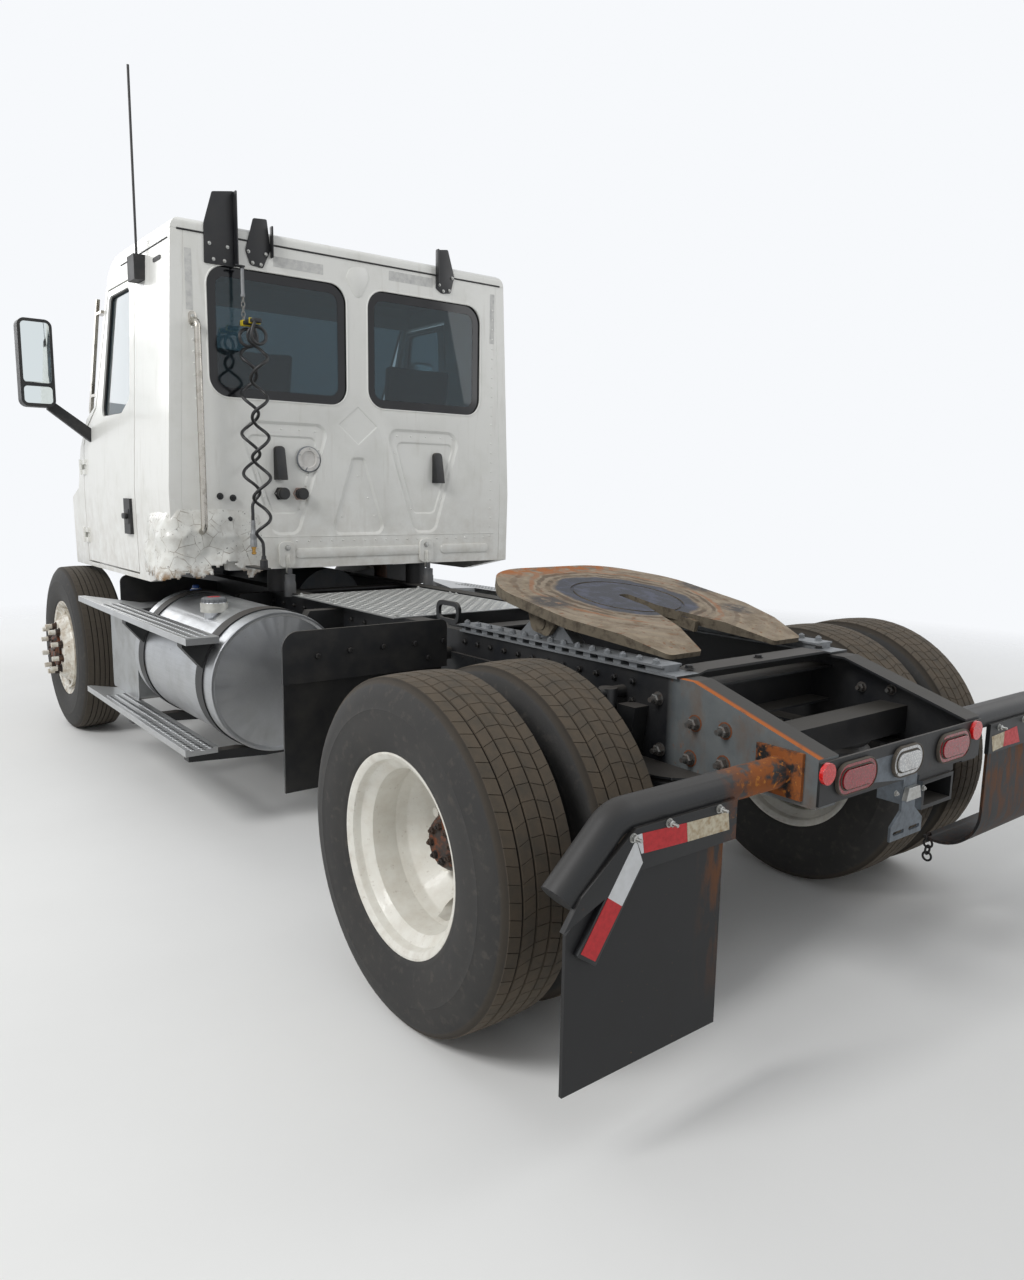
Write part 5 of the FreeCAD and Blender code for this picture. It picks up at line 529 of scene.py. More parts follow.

# %% [markdown]
# A tyre's rubber is black with carbon. Its wall greys, and its tread takes the road's brown. Its grooves are
# painted darker than the clean rubber, as painted shade, and the tread's coats follow the distance from the
# axle. Flaps and seals are rubber as well; the flaps carry rust that has run down from their clamps.

# %% Rubber


def tyre_rubber(name, centre_y, tread_dust):
    """Carbon-black rubber, greyed on the wall, brown with road dust on the tread, with painted shade in its
    grooves.
    """
    rubber = Finish(name, "262524", 0.72)
    far = rubber.from_axis((0, centre_y, AXLE_Z), "YZ")
    rubber.patchy((120, 0.35, 0.75), 0.6, "3B3936", 0.85)
    rubber.patchy((30, 0.55, 0.7), 0.35, "56504A", 0.9)
    tread = rubber.between(far, 0.492, 0.508)
    rubber.coat(rubber.combine(tread, 0.85), tread_dust, 0.92)
    rubber.coat(rubber.combine(tread, rubber.patches(50, 0.4, 0.7)), "4A443B", 0.95)
    # Painted shade: the groove bottoms are darkened below the clean rubber's own colour.
    groove = rubber.combine(rubber.between(far, 0.5135, 0.5105), tread)
    rubber.coat(rubber.combine(groove, 0.7), "1B1917", 0.95)
    rubber.relief(rubber.patches(5, 0.2, 0.9), 0.25)
    return rubber.made()


def black_rubber():
    """EPDM rubber: soft sheen and pale dust."""
    rubber = Finish("black_rubber", "161617", 0.55)
    rubber.patchy((60, 0.4, 0.75), 0.4, "3E3B37", 0.8)
    return rubber.made()


def flap_rubber():
    """A mud flap: flat black rubber, with rust run down from its steel clamp along the inner edge."""
    rubber = Finish("flap_rubber", "0A0B0E", 0.55)
    rubber.patchy((160, 0.4, 0.75), 0.4, "201F1D", 0.75)
    edge = rubber.combine(rubber.along("X", 0.80, 0.72), rubber.along("Z", 0.25, 0.7))
    runs = rubber.patches(28, 0.46, 0.62, (1, 1, 0.25))
    rubber.coat(rubber.combine(edge, runs), "6E4526", 0.9)
    rubber.patchy((9, 0.68, 0.74), 0.7, "8A6A4A", 0.9)
    return rubber.made()


FINISH["rear_tyre"] = tyre_rubber("rear_tyre_rubber", REAR_AXLE_Y, "5B5042")
FINISH["front_tyre"] = tyre_rubber("front_tyre_rubber", FRONT_AXLE_Y, "4A433A")
FINISH["rubber"] = black_rubber()
FINISH["flap"] = flap_rubber()

# %% [markdown]
# Mirror shells, vents and guards are moulded polypropylene: dark, with a fine grain that breaks up its
# sheen. A lamp's lens is clear acrylic over a faceted reflector. Modelling the facets would cost much for
# little, so cells of a Voronoi noise stand for them and are painted lighter as their glints, a painted
# highlight. Window glass lets light through with a grey-green tint.

# %% Plastic, lenses and glass


def moulded_plastic(name, colour="17181A", dust=0.35, roughness=0.5):
    """Injection-moulded polypropylene with its grain, dusty."""
    plastic = Finish(name, colour, roughness)
    plastic.patchy((90, 0.4, 0.75), dust, "4A4640", 0.8)
    plastic.coat(plastic.combine(plastic.facing("Z", 0.4, 0.95), dust), "6A6358", 0.9)
    plastic.relief(plastic.patches(2.5, 0.3, 0.8), 0.12)
    return plastic.made()


def lens(name, colour, painted_facet_glint):
    """A moulded acrylic lamp lens over its reflector, whose facets show as cells painted lighter as their
    glints.
    """
    acrylic = Finish(name, colour, 0.12, Coat_Weight=0.6)
    cells = add(acrylic.tree, "ShaderNodeTexVoronoi", {"Vector": acrylic.place, "Scale": 160.0})
    # The facets are real; their glints are a painted highlight, as lighter cells of the noise.
    acrylic.coat(acrylic.between(cells.outputs["Distance"], 0.55, 0.2), painted_facet_glint)
    acrylic.patchy((40, 0.45, 0.8), 0.35, "5E4A44", 0.5)
    acrylic.relief(cells.outputs["Distance"], 0.6)
    return acrylic.made()


def window_glass():
    """Toughened glass with a grey-green tint."""
    glass = Finish("tinted_glass", "6C8088", 0.02, Transmission_Weight=0.92, IOR=1.45)
    return glass.made()


FINISH["plastic"] = moulded_plastic("black_polypropylene")
FINISH["dash"] = moulded_plastic("grained_dash_plastic", "26272A", 0.2, 0.6)
# The last colour of each lens is its painted facet glint.
FINISH["red_lens"] = lens("red_acrylic_lens", "8C0F1C", "B31B2E")
FINISH["clear_lens"] = lens("clear_acrylic_lens", "C9CBCC", "F0F0EC")
FINISH["reflector"] = lens("red_reflector", "D01016", "F02A24")
FINISH["glass"] = window_glass()
FINISH["mirror"] = Finish("mirror_glass", "DDE4E4", 0.03, 1.0).made()

# %% [markdown]
# Seat cloth is flat woven: threads that cross over and under. Two wave patterns at right angles stand for
# them. The real thread pair is 2 mm wide, which is too fine to show, so it is drawn at 4 mm.

# %% Seat cloth
THREADS_PER_METRE = 250


def woven_cloth():
    """Flat-woven seat cloth, 2 mm to a thread pair, drawn at 4 mm so that it shows."""
    cloth = Finish("woven_seat_cloth", "2B2C30", 0.9, Sheen_Weight=0.4)
    for turn_x, turn_z in ((THREADS_PER_METRE, 0), (0, THREADS_PER_METRE)):
        place = add(cloth.tree, "ShaderNodeMapping", {"Vector": cloth.place, "Scale": (turn_x, 60, turn_z)})
        thread = add(cloth.tree, "ShaderNodeTexWave", {"Vector": place.outputs["Vector"], "Scale": 1.0})
        cloth.coat(cloth.combine(thread.outputs["Fac"], 0.4), "45464C")
    cloth.relief(cloth.patches(4, 0.2, 0.8), 0.3)
    return cloth.made()


FINISH["cloth"] = woven_cloth()

# %% [markdown]
# The many small parts each need only a base and a film of dirt, so one function makes them all from a table:
# its name, base colour, roughness and metallic, then the film's colour, how much of it lies there, and how
# large its patches are in millimetres.

# %% Small parts' finishes


def plain_paint(name, colour, roughness, metallic, film, amount, size_mm):
    """A small part's finish with a film of dirt over it."""
    paint = Finish(name, colour, roughness, metallic)
    paint.patchy((size_mm, 0.4, 0.75), amount, film, 0.8)
    return paint.made()


SMALL_FINISHES = {
    "engine": ("engine_enamel", "3C4146", 0.5, 0.2, "6A6258", 0.3, 60),
    "core": ("radiator_core", "2A2B2B", 0.7, 0.5, "5E564A", 0.5, 120),
    "pipe": ("bright_charge_pipe", "B4B6B8", 0.35, 1.0, "6A655C", 0.4, 60),
    "tank_plastic": ("translucent_tank_plastic", "C9C4B0", 0.45, 0.0, "8A8270", 0.4, 90),
    "line": ("nylon_line_jacket", "141416", 0.35, 0.0, "3A3834", 0.3, 30),
    "grey": ("grey_nylon", "8A8C8E", 0.4, 0.1, "5A564E", 0.35, 30),
    "brass": ("cast_brass", "B08A4A", 0.35, 0.9, "5A4630", 0.4, 12),
    "black_steel": ("black_powder_coat", "141518", 0.4, 0.0, "3C3A36", 0.25, 80),
    "light_zinc": ("bright_zinc", "B4B5B2", 0.35, 0.9, "6A5A48", 0.35, 10),
    "yellow": ("yellow_tape", "C9B21E", 0.5, 0.0, "4A4630", 0.4, 20),
    "frit": ("ceramic_pane_border", "0C0D10", 0.06, 0.0, "22262C", 0.2, 300),
    "strip": ("adhesive_strip", "D2D2CE", 0.6, 0.0, "A6A6A8", 0.6, 25),
    "mount_slot": ("damper_bracket_zinc", "C0BFB8", 0.4, 0.7, "7A756A", 0.4, 30),
    "grey_rubber": ("grey_rubber", "4A4B4D", 0.6, 0.0, "6A665E", 0.4, 50),
    "pale_plastic": ("pale_plastic", "D6D4D0", 0.5, 0.0, "A09A8E", 0.3, 30),
    "ring_plastic": ("grey_ring_plastic", "6C7075", 0.6, 0.0, "94989C", 0.5, 12),
    "grommet": ("grommet_rubber", "4C463E", 0.75, 0.0, "6A6154", 0.5, 15),
    "galvanised": ("galvanised_bracket", "6E757C", 0.5, 0.6, "4A4A48", 0.5, 25),
    "tape_red": ("red_retroreflective_tape", "C8141E", 0.35, 0.0, "8A1A1C", 0.5, 14),
    "tape_white": ("white_retroreflective_tape", "DEE0E2", 0.35, 0.0, "B9B9B4", 0.4, 30),
    "tape_rusty": ("rust_stained_tape", "CFC6AE", 0.5, 0.0, "8E6A34", 0.85, 16),
    "steel_bolt": ("grey_steel_bolt", "6A6A68", 0.5, 0.8, "6A4A34", 0.45, 14),
    "black_bolt": ("black_oxide_bolt", "232426", 0.5, 0.5, "4A443C", 0.5, 14),
    "rust_ring": ("rust_bloom", "7A4422", 0.9, 0.0, "4E3A2C", 0.7, 8),
    "deck_bars": ("worn_tread_bar", "C6C6C2", 0.42, 0.9, "8C877C", 0.5, 80),
    # The step holes' dark discs are painted shade, for the shade seen down a hole.
    "painted_hole_shade": ("shadowed_hole", "1A1A1A", 0.8, 0.0, "33312E", 0.4, 20),
    "cap_grey": ("cap_nylon", "6F7275", 0.5, 0.0, "4C4840", 0.4, 30),
    "blue_plastic": ("blue_plastic", "1F4E9A", 0.4, 0.0, "3A4A60", 0.4, 20),
    "rack": ("worn_rack_steel", "85888B", 0.5, 0.5, "55534E", 0.5, 45),
    "piping": ("seat_piping", "1C1D20", 0.6, 0.0, "3A3B40", 0.3, 20),
    "flange_pink": ("faded_flange", "B8A096", 0.6, 0.0, "8A7468", 0.5, 12),
}
for finish, recipe in SMALL_FINISHES.items():
    FINISH[finish] = plain_paint(*recipe)
print(len(FINISH), "finishes")

# %% [markdown]
# ## Dressing the frame's own parts
# The frame's parts have the right shapes but knife-sharp edges. Real pressings and castings have small
# rounds that catch the light. So each part that stays is copied, its doubles merged and its flat faces
# joined, and a bevel of a few millimetres is put on every edge that turns by more than 32 degrees.

# %% Edges for the frame's parts


def show(name, data, body, finish):
    """Put a mesh into the scene as a piece that rides on a body."""
    thing = bpy.data.objects.new(name, data)
    bpy.context.scene.collection.objects.link(thing)
    if finish is not None:
        data.materials.append(FINISH[finish])
    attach(thing, body)
    return thing


def mesh_of(bm, name, sharp=35):
    """A finished mesh from a bmesh, smooth except over sharp edges."""
    data = bpy.data.meshes.new(name)
    bm.to_mesh(data)
    bm.free()
    data.shade_smooth()
    data.set_sharp_from_angle(angle=math.radians(sharp))
    return data


def merged_copy(node, flat_angle, without=None):
    """A copy of a frame part with its doubles merged, its flat faces joined and some faces left out."""
    bm = bmesh.new()
    bm.from_mesh(frame["nodes"][node].data)
    bmesh.ops.remove_doubles(bm, verts=bm.verts, dist=1e-5)
    if without:
        gone = [face for face in bm.faces if without(face.calc_center_median())]
        bmesh.ops.delete(bm, geom=gone, context="FACES")
    bmesh.ops.dissolve_limit(bm, angle_limit=math.radians(flat_angle), verts=bm.verts, edges=bm.edges)
    return bm


def dressed(node, finish, bevel_mm, without=None):
    """A softened copy of a frame part, which stands for it; pieces stand for what it is without."""
    name = node + "_dressed"
    body = frame["nodes"][node]["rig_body"]
    thing = show(name, mesh_of(merged_copy(node, 0.5, without), name, 30), body, finish)
    soften = thing.modifiers.new("soft_edges", "BEVEL")
    soften.width = bevel_mm / 1000
    soften.segments = 2
    soften.limit_method = "ANGLE"
    soften.angle_limit = math.radians(32)
    soften.harden_normals = True
    soften.use_clamp_overlap = True
    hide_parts(node)
    return thing

# %% [markdown]
# The table gives each frame part its finish and the size of its rounds in millimetres: a casting's are
# large, a folded plate's are small. Two vents in the rear wall get hoods of their own later, so their plain
# frames are left out of the copy. The panes stay as they are, because a bevel would show at their rims.

# %% Finishes and rounds of the frame's parts
DRESS = {
    "frame": ("rail", 2.0), "tail_plate": ("chassis", 1.5), "flap_hangers": ("hanger", 1.5),
    "splash_guards": ("plastic", 1.5), "fifth_wheel_base": ("chassis", 1.5),
    "fifth_wheel_plate": ("coupling", 3.0), "fuel_tank": ("tank", 2.0), "tank_straps": ("chassis", 1.0),
    "steps": ("step", 1.5), "side_boxes": ("tread_plate", 3.0), "deck_plates": ("tread_plate", 1.0),
    "drive_axle": ("axle", 3.0), "rear_suspension": ("chassis", 2.0), "driveshaft": ("iron", 1.0),
    "engine": ("engine", 4.0), "radiator": ("core", 2.0), "front_axle": ("axle", 2.0),
    "cab_floor": ("chassis", 2.0), "cab_frame": ("enamel", 4.0), "cab_rear_wall": ("enamel", 3.0),
    "cab_roof": ("enamel", 6.0), "cab_mounts": ("rubber", 2.0), "wall_fittings": ("plastic", 2.0),
    "handrails": ("bright", 1.5), "antenna": ("plastic", 2.0),
    "dashboard": ("dash", 6.0), "door_left": ("enamel", 3.0),
    "door_right": ("enamel", 3.0), "mirror_left": ("plastic", 8.0), "mirror_right": ("plastic", 8.0),
    "steering_wheel": ("dash", 3.0), "knuckle_left": ("axle", 2.0), "knuckle_right": ("axle", 2.0),
    "tie_rod": ("axle", 2.0), "wheel_front_left": ("front_wheel", 1.5),
    "wheel_front_right": ("front_wheel", 1.5), "wheels_rear_left": ("rear_wheel", 1.5),
    "wheels_rear_right": ("rear_wheel", 1.5), "mud_flaps": ("flap", 1.0), "tail_lamps": ("red_lens", 1.0),
    "engine_fan": ("plastic", 1.5), "engine_pipes": ("pipe", 1.5), "exhaust_pipe": ("exhaust", 1.5),
    "air_cleaner": ("plastic", 4.0), "surge_tank": ("tank_plastic", 4.0), "steering_gear": ("iron", 2.0),
}


def is_vent(spot):
    """The vent frames in the rear wall, for which the hoods stand."""
    return spot.y > -0.29 and 0.40 < abs(spot.x) < 0.52 and spot.z > 1.58


LEFT_OUT = {"wall_fittings": is_vent}
skin = {node: dressed(node, finish, bevel_mm, LEFT_OUT.get(node))
        for node, (finish, bevel_mm) in DRESS.items()}
for node in ("cab_glass", "door_glass_left", "door_glass_right"):
    frame["nodes"][node].data.materials.clear()
    frame["nodes"][node].data.materials.append(FINISH["glass"])
print(len(DRESS), "frame parts dressed")

# %% [markdown]
# ## Tyres
# A truck tyre is a closed ring: beads that sit on the rim, a thin bulged wall and a thick tread. It could be
# a torus, but a real one has a flat tread with sharp shoulders. So half a section is drawn as a chain of
# points and spun about the axle, and the tread's cells are then inset and raised into blocks. The twin rear
# tyres have worn block treads; the front ones have straight ribs with fine cuts across them.

# %% One tyre
CELLS = 72
TREAD_HALF = 0.107
CROWN_DROP = 0.0045
GROOVE_SIDE = 0.0006
GROOVE_WIDTH = 0.0060
TREAD_RADIUS = 0.4995
NARROWEST_BLOCK = 0.009
WALL_CHAIN = [
    (0.098, 0.289), (0.112, 0.293), (0.121, 0.302), (0.126, 0.312), (0.1265, 0.316), (0.1295, 0.326),
    (0.1345, 0.345), (0.1380, 0.372), (0.1395, 0.400), (0.1390, 0.420), (0.1398, 0.424), (0.1382, 0.428),
    (0.1365, 0.448), (0.1310, 0.470), (0.1245, 0.486), (0.1190, 0.498), (0.1130, 0.5065),
]


def tread_chain(edges, groove):
    """The tread's half section: ribs between edges, with grooves of one depth. It bears on the ground."""
    chain = []
    for outer, inner in edges:
        for across, sunk in ((outer, 0.0), (inner, 0.0), (inner - GROOVE_SIDE, groove)):
            chain.append((across, AXLE_Z - CROWN_DROP * (across / TREAD_HALF) ** 2 - sunk))
        chain.append((inner - GROOVE_WIDTH + GROOVE_SIDE, chain[-1][1]))
    return chain


def tyre(name, node, centre_x, axle_y, edges, groove, block, skew, finish):
    """Spin one tyre about its axle and raise its tread blocks, given as their gap and height."""
    gap, height = block
    bm = bmesh.new()
    half = WALL_CHAIN + [(x, r) for x, r in tread_chain(edges, groove) if x > 0]
    chain = half + [(-x, r) for x, r in reversed(half)]
    ring = [bm.verts.new((centre_x + x, axle_y, AXLE_Z + r - (height if r > 0.5 else 0.0))) for x, r in chain]
    edges_made = [bm.edges.new(pair) for pair in zip(ring, ring[1:] + ring[:1])]
    bmesh.ops.spin(bm, geom=ring + edges_made, cent=(centre_x, axle_y, AXLE_Z), axis=(1, 0, 0),
                   angle=math.tau, steps=CELLS, use_merge=True)
    bmesh.ops.remove_doubles(bm, verts=bm.verts, dist=1e-5)
    cell = math.tau / CELLS
    middle = Vector((centre_x, axle_y, AXLE_Z))
    for vert in bm.verts:
        out = vert.co - middle
        if math.hypot(out.y, out.z) > TREAD_RADIUS:
            lean = skew * cell * math.cos(out.x / TREAD_HALF * math.pi * 1.5)
            vert.co = middle + Matrix.Rotation(lean, 3, "X") @ out
    bmesh.ops.recalc_face_normals(bm, faces=bm.faces)
    blocks = []
    for face in bm.faces:
        spot = face.calc_center_median() - middle
        far = math.hypot(spot.y, spot.z)
        wide = max(abs(a.co.x - b.co.x) for a in face.verts for b in face.verts)
        if wide > NARROWEST_BLOCK and far > AXLE_Z - CROWN_DROP - 0.008:
            blocks.append(face)
    bmesh.ops.inset_individual(bm, faces=blocks, thickness=gap, depth=height)
    return show(name, mesh_of(bm, name, 28), frame["nodes"][node]["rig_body"], finish)

# %% [markdown]
# The drive tyres' blocks lean a little from rib to rib, mirrored from one side of the truck to the other.
# The steering tyres have ribs only, so their cells are barely raised and don't lean. Twin tyres are two
# pieces, and the outer one stands for the frame's part.

# %% Six tyres
SIDES = (("left", 1), ("right", -1))
REAR_TRACK_HALF = 0.923
TWIN_SHIFT = 0.165
FRONT_TRACK_HALF = 1.032
DRIVE_RIBS = [(0.1070, 0.0690), (0.0636, 0.0260), (0.0206, -0.0206)]
STEER_RIBS = [(0.1070, 0.0740), (0.0686, 0.0440), (0.0386, 0.0150), (0.0096, -0.0096)]
for side_name, side in SIDES:
    for place, centre in (("outer", REAR_TRACK_HALF + TWIN_SHIFT), ("inner", REAR_TRACK_HALF - TWIN_SHIFT)):
        rear = tyre(f"tyre_rear_{side_name}_{place}", f"tyres_rear_{side_name}", side * centre, REAR_AXLE_Y,
                    DRIVE_RIBS, 0.006, (0.0018, 0.0028), 0.22 * side, "rear_tyre")
        if place == "outer":
            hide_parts(f"tyres_rear_{side_name}")
    front = tyre(f"tyre_front_{side_name}_tread", f"tyre_front_{side_name}", side * FRONT_TRACK_HALF,
                 FRONT_AXLE_Y, STEER_RIBS, 0.009, (0.0009, 0.0012), 0.0, "front_tyre")
    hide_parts(f"tyre_front_{side_name}")
print("tyre faces", len(front.data.polygons))

# %% [markdown]
# ## Fasteners
# Bolts, nuts and rivets are what gives a chassis its scale: the eye knows how large a bolt head is. One
# function sets many of them into one mesh. A bolt is a washer, a chamfered hexagon and a stub of thread; a
# rivet is a low dome.

# %% Rows of bolts, rivets and studs


def turned_to(direction):
    """A turn that takes +z to a direction."""
    return Vector((0, 0, 1)).rotation_difference(Vector(direction)).to_matrix().to_4x4()


def add_cone(bm, base, low, tall, radius, radius_above, sides, caps=True):
    """A cone or cylinder that starts at a height over its base."""
    bmesh.ops.create_cone(bm, cap_ends=caps, segments=sides, radius1=radius, radius2=radius_above, depth=tall,
                          matrix=base @ Matrix.Translation((0, 0, low + tall / 2)))


def add_bolt(bm, spot, direction, across, tall, washer=True, stub=0.5):
    """A hexagon head or nut with its washer and a stub of thread."""
    base = Matrix.Translation(Vector(spot)) @ turned_to(direction)
    radius = across / 2 / math.cos(math.pi / 6)
    low = 0.0
    if washer:
        low = across * 0.09
        add_cone(bm, base, 0.0, low, across * 0.72, across * 0.72, 16)
    add_cone(bm, base, low, tall * 0.8, radius, radius, 6)
    add_cone(bm, base, low + tall * 0.8, tall * 0.2, radius, radius * 0.78, 6)
    if stub:
        add_cone(bm, base, low + tall, tall * stub, across * 0.3, across * 0.27, 10)


def add_dome(bm, spot, direction, radius, tall):
    """A rivet's low dome: two tapering steps and a crown."""
    base = Matrix.Translation(Vector(spot)) @ turned_to(direction)
    for r1, r2, z0, z1 in ((1.0, 0.85, 0.0, 0.4), (0.85, 0.5, 0.4, 0.85), (0.5, 0.0, 0.85, 1.0)):
        add_cone(bm, base, tall * z0, tall * (z1 - z0), radius * r1, radius * r2, 10, caps=False)
    bmesh.ops.remove_doubles(bm, verts=bm.verts, dist=1e-5)


def bolts(name, finish, spots, direction, across, tall, **kind):
    """Many equal bolts as one piece that rides on the chassis."""
    bm = bmesh.new()
    for spot in spots:
        add_bolt(bm, spot, direction, across, tall, **kind)
    return show(name, mesh_of(bm, name, 30), "chassis", finish)


def rivets(name, finish, spots, direction, radius, tall):
    """Many equal rivets as one piece that rides on the chassis."""
    bm = bmesh.new()
    for spot in spots:
        add_dome(bm, spot, direction, radius, tall)
    return show(name, mesh_of(bm, name, 50), "chassis", finish)


def steps_between(first, last, count):
    """Evenly spaced values from first to last."""
    return [first + (last - first) * i / (count - 1) for i in range(count)]

# %% [markdown]
# Most small parts are one of three forms. A board is a flat outline pushed out to its thickness, a turned
# form is a profile spun about a line, and a bead is a round bar along some points. One short function makes
# each, another joins several into one piece, and another gives some of a piece's faces a new finish.

# %% Boards, turned forms and beads


def joined(parts):
    """Several forms as one."""
    whole = bmesh.new()
    for part in parts:
        data = bpy.data.meshes.new("part")
        part.to_mesh(data)
        part.free()
        whole.from_mesh(data)
        bpy.data.meshes.remove(data)
    return whole


def push_out(bm, thick):
    """Give faces a thickness along a direction."""
    made = bmesh.ops.extrude_face_region(bm, geom=bm.faces[:])
    far_side = [item for item in made["geom"] if isinstance(item, bmesh.types.BMVert)]
    bmesh.ops.translate(bm, verts=far_side, vec=Vector(thick))
    bmesh.ops.recalc_face_normals(bm, faces=bm.faces)


def soften_rims(bm, size):
    """Round the sharp edges of a form."""
    rims = [edge for edge in bm.edges if edge.calc_face_angle(0.0) > 0.6]
    bmesh.ops.bevel(bm, geom=rims, offset=size, segments=2, profile=0.5, affect="EDGES", material=-1,
                    clamp_overlap=True)


def board(corners, place, thick, round_by=0.0, edge=0.0):
    """A flat plate: one face with rounded corners, pushed out by thick, its rims softened."""
    bm = bmesh.new()
    bm.faces.new([bm.verts.new(place(u, v)) for u, v in corners])
    if round_by:
        bmesh.ops.bevel(bm, geom=bm.verts[:], offset=round_by, offset_type="OFFSET", segments=6, profile=0.5,
                        affect="VERTICES", material=-1, clamp_overlap=True)
    push_out(bm, thick)
    if edge:
        soften_rims(bm, edge)
    return bm


def turned(centre, direction, profile, steps=24):
    """A turned form: a chain of radius and height spun about a line."""
    bm = bmesh.new()
    chain = [bm.verts.new((radius, 0.0, height)) for radius, height in profile]
    runs = [bm.edges.new(pair) for pair in zip(chain, chain[1:])]
    bmesh.ops.spin(bm, geom=chain + runs, cent=(0, 0, 0), axis=(0, 0, 1), angle=math.tau, steps=steps,
                   use_merge=True)
    bmesh.ops.remove_doubles(bm, verts=bm.verts, dist=1e-5)
    bmesh.ops.recalc_face_normals(bm, faces=bm.faces)
    bmesh.ops.transform(bm, verts=bm.verts, matrix=Matrix.Translation(Vector(centre)) @ turned_to(direction))
    return bm


def bead(line, radius, closed=False):
    """A round bead along a line of points."""
    curve = bpy.data.curves.new("bead", "CURVE")
    curve.dimensions = "3D"
    curve.bevel_depth = radius
    curve.bevel_resolution = 2
    curve.use_fill_caps = True
    spline = curve.splines.new("POLY")
    spline.points.add(len(line) - 1)
    for point, spot in zip(spline.points, line):
        point.co = (*spot, 1.0)
    spline.use_cyclic_u = closed
    carrier = bpy.data.objects.new("bead", curve)
    data = bpy.data.meshes.new_from_object(carrier)
    bm = bmesh.new()
    bm.from_mesh(data)
    bpy.data.objects.remove(carrier)
    return bm


def fitted(name, finish, parts, sharp=35, body="chassis"):
    """Several forms as one piece, which rides on the chassis if no other body is named."""
    return show(name, mesh_of(joined(parts), name, sharp), body, finish)


def repaint(thing, finish, chosen):
    """Give another finish to the faces whose middle passes a test."""
    thing.data.materials.append(FINISH[finish])
    last = len(thing.data.materials) - 1
    for face in thing.data.polygons:
        if chosen(face.center):
            face.material_index = last


def rear_face(y):
    """Places a plate's corners on an upright plane across the truck."""
    return lambda x, z: (x, y, z)


def level(z):
    """Places a plate's corners on a level plane."""
    return lambda x, y: (x, y, z)


def side_face(x):
    """Places a plate's corners on an upright plane along the truck."""
    return lambda y, z: (x, y, z)


def oblong(left, right, low, high):
    """The four corners of a rectangle."""
    return [(left, low), (right, low), (right, high), (left, high)]

# %% [markdown]
# ## Curly air lines
# Two nylon air lines hang behind the cab, wound hot round a bar so that they spring back, and here drawn
# out by their own weight to long, open turns. A screw modifier would give the turns but not the loop at
# the top, so each line is one smooth NURBS spline: down from its clip, once round, down in turns of 190 mm,
# and straight into its plug. Sixteen points a turn keep the helix round.

# %% Two curly lines
LINE_DIAMETER = 0.016
TURN_POINTS = 16
TURN_RADIUS = 0.040
TURN_PITCH = 0.19
CLIP_Z = 2.325
LOOP_Z = 2.268
LOOP_RADIUS = 0.042


def smooth_curve(name, spots):
    """A smooth curve that follows its points and touches the first and the last."""
    curve = bpy.data.curves.new(name, "CURVE")
    curve.dimensions = "3D"
    curve.resolution_u = 6
    spline = curve.splines.new("NURBS")
    spline.points.add(len(spots) - 1)
    for point, spot in zip(spline.points, spots):
        point.co = (*spot, 1.0)
    spline.order_u = 3
    spline.use_endpoint_u = True
    return curve


def curly_line(name, node, axis, hand, low, rest):
    """One line: its loop, its turns and its straight end."""
    x, y = axis
    spots = [(x - hand * 0.020, y + 0.014, CLIP_Z), (x - hand * 0.034, y + 0.015, CLIP_Z - 0.024)]
    for index in range(TURN_POINTS + 4):
        angle = math.pi + math.tau * (index + 0.5) / TURN_POINTS
        back = 0.016 - 0.052 * index / (TURN_POINTS + 4)
        spots.append((x + hand * LOOP_RADIUS * math.cos(angle), y + back,
                      LOOP_Z + LOOP_RADIUS * math.sin(angle)))
    turns = (LOOP_Z - LOOP_RADIUS - low) / TURN_PITCH
    for index in range(1, round(turns * TURN_POINTS)):
        angle = -math.pi / 2 + math.tau * index / TURN_POINTS
        radius = TURN_RADIUS + 0.003 * math.sin(1.7 * angle)
        spots.append((x + hand * radius * math.cos(angle), y + radius * math.sin(angle),
                      LOOP_Z - LOOP_RADIUS - TURN_PITCH * index / TURN_POINTS))
    spots += rest
    curve = smooth_curve(name, spots)
    carrier = bpy.data.objects.new(name + "_route", curve)
    middle = bpy.data.meshes.new_from_object(carrier)
    points = [vert.co.copy() for vert in middle.vertices]
    long = sum((b - a).length for a, b in zip(points, points[1:]))
    curve.bevel_depth = LINE_DIAMETER / 2
    curve.bevel_resolution = 3
    curve.use_fill_caps = True
    tube = bmesh.new()
    tube.from_mesh(bpy.data.meshes.new_from_object(carrier))
    bpy.data.objects.remove(carrier)
    thing = show(name, mesh_of(tube, name, 60), "chassis", "line")
    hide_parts(node)
    print(name, "is", round(long, 3), "m long with", len(spots), "points")
    return thing, points, long

# %% [markdown]
# Where a line ends, a spring keeps it from kinking over a grey nylon connector. The first line's connector
# still has its brass fitting; the second ends in a black plug.

# %% Ends of the lines


def strain_relief(spot):
    """A line's end: spring strain relief and grey connector, hanging from spot."""
    x, y, z = spot
    sleeve = [turned(spot, (0, 0, -1), [
        (0.0, 0.0), (0.0095, 0.0), (0.0105, 0.030), (0.0125, 0.062), (0.017, 0.068), (0.0172, 0.088),
        (0.0155, 0.092), (0.0155, 0.100), (0.0172, 0.104), (0.0172, 0.132), (0.0, 0.133)])]
    coil = [(x + 0.0108 * math.cos(0.7 * i), y + 0.0108 * math.sin(0.7 * i), z - 0.004 - 0.0009 * i)
            for i in range(60)]
    sleeve.append(bead(coil, 0.0016))
    return sleeve


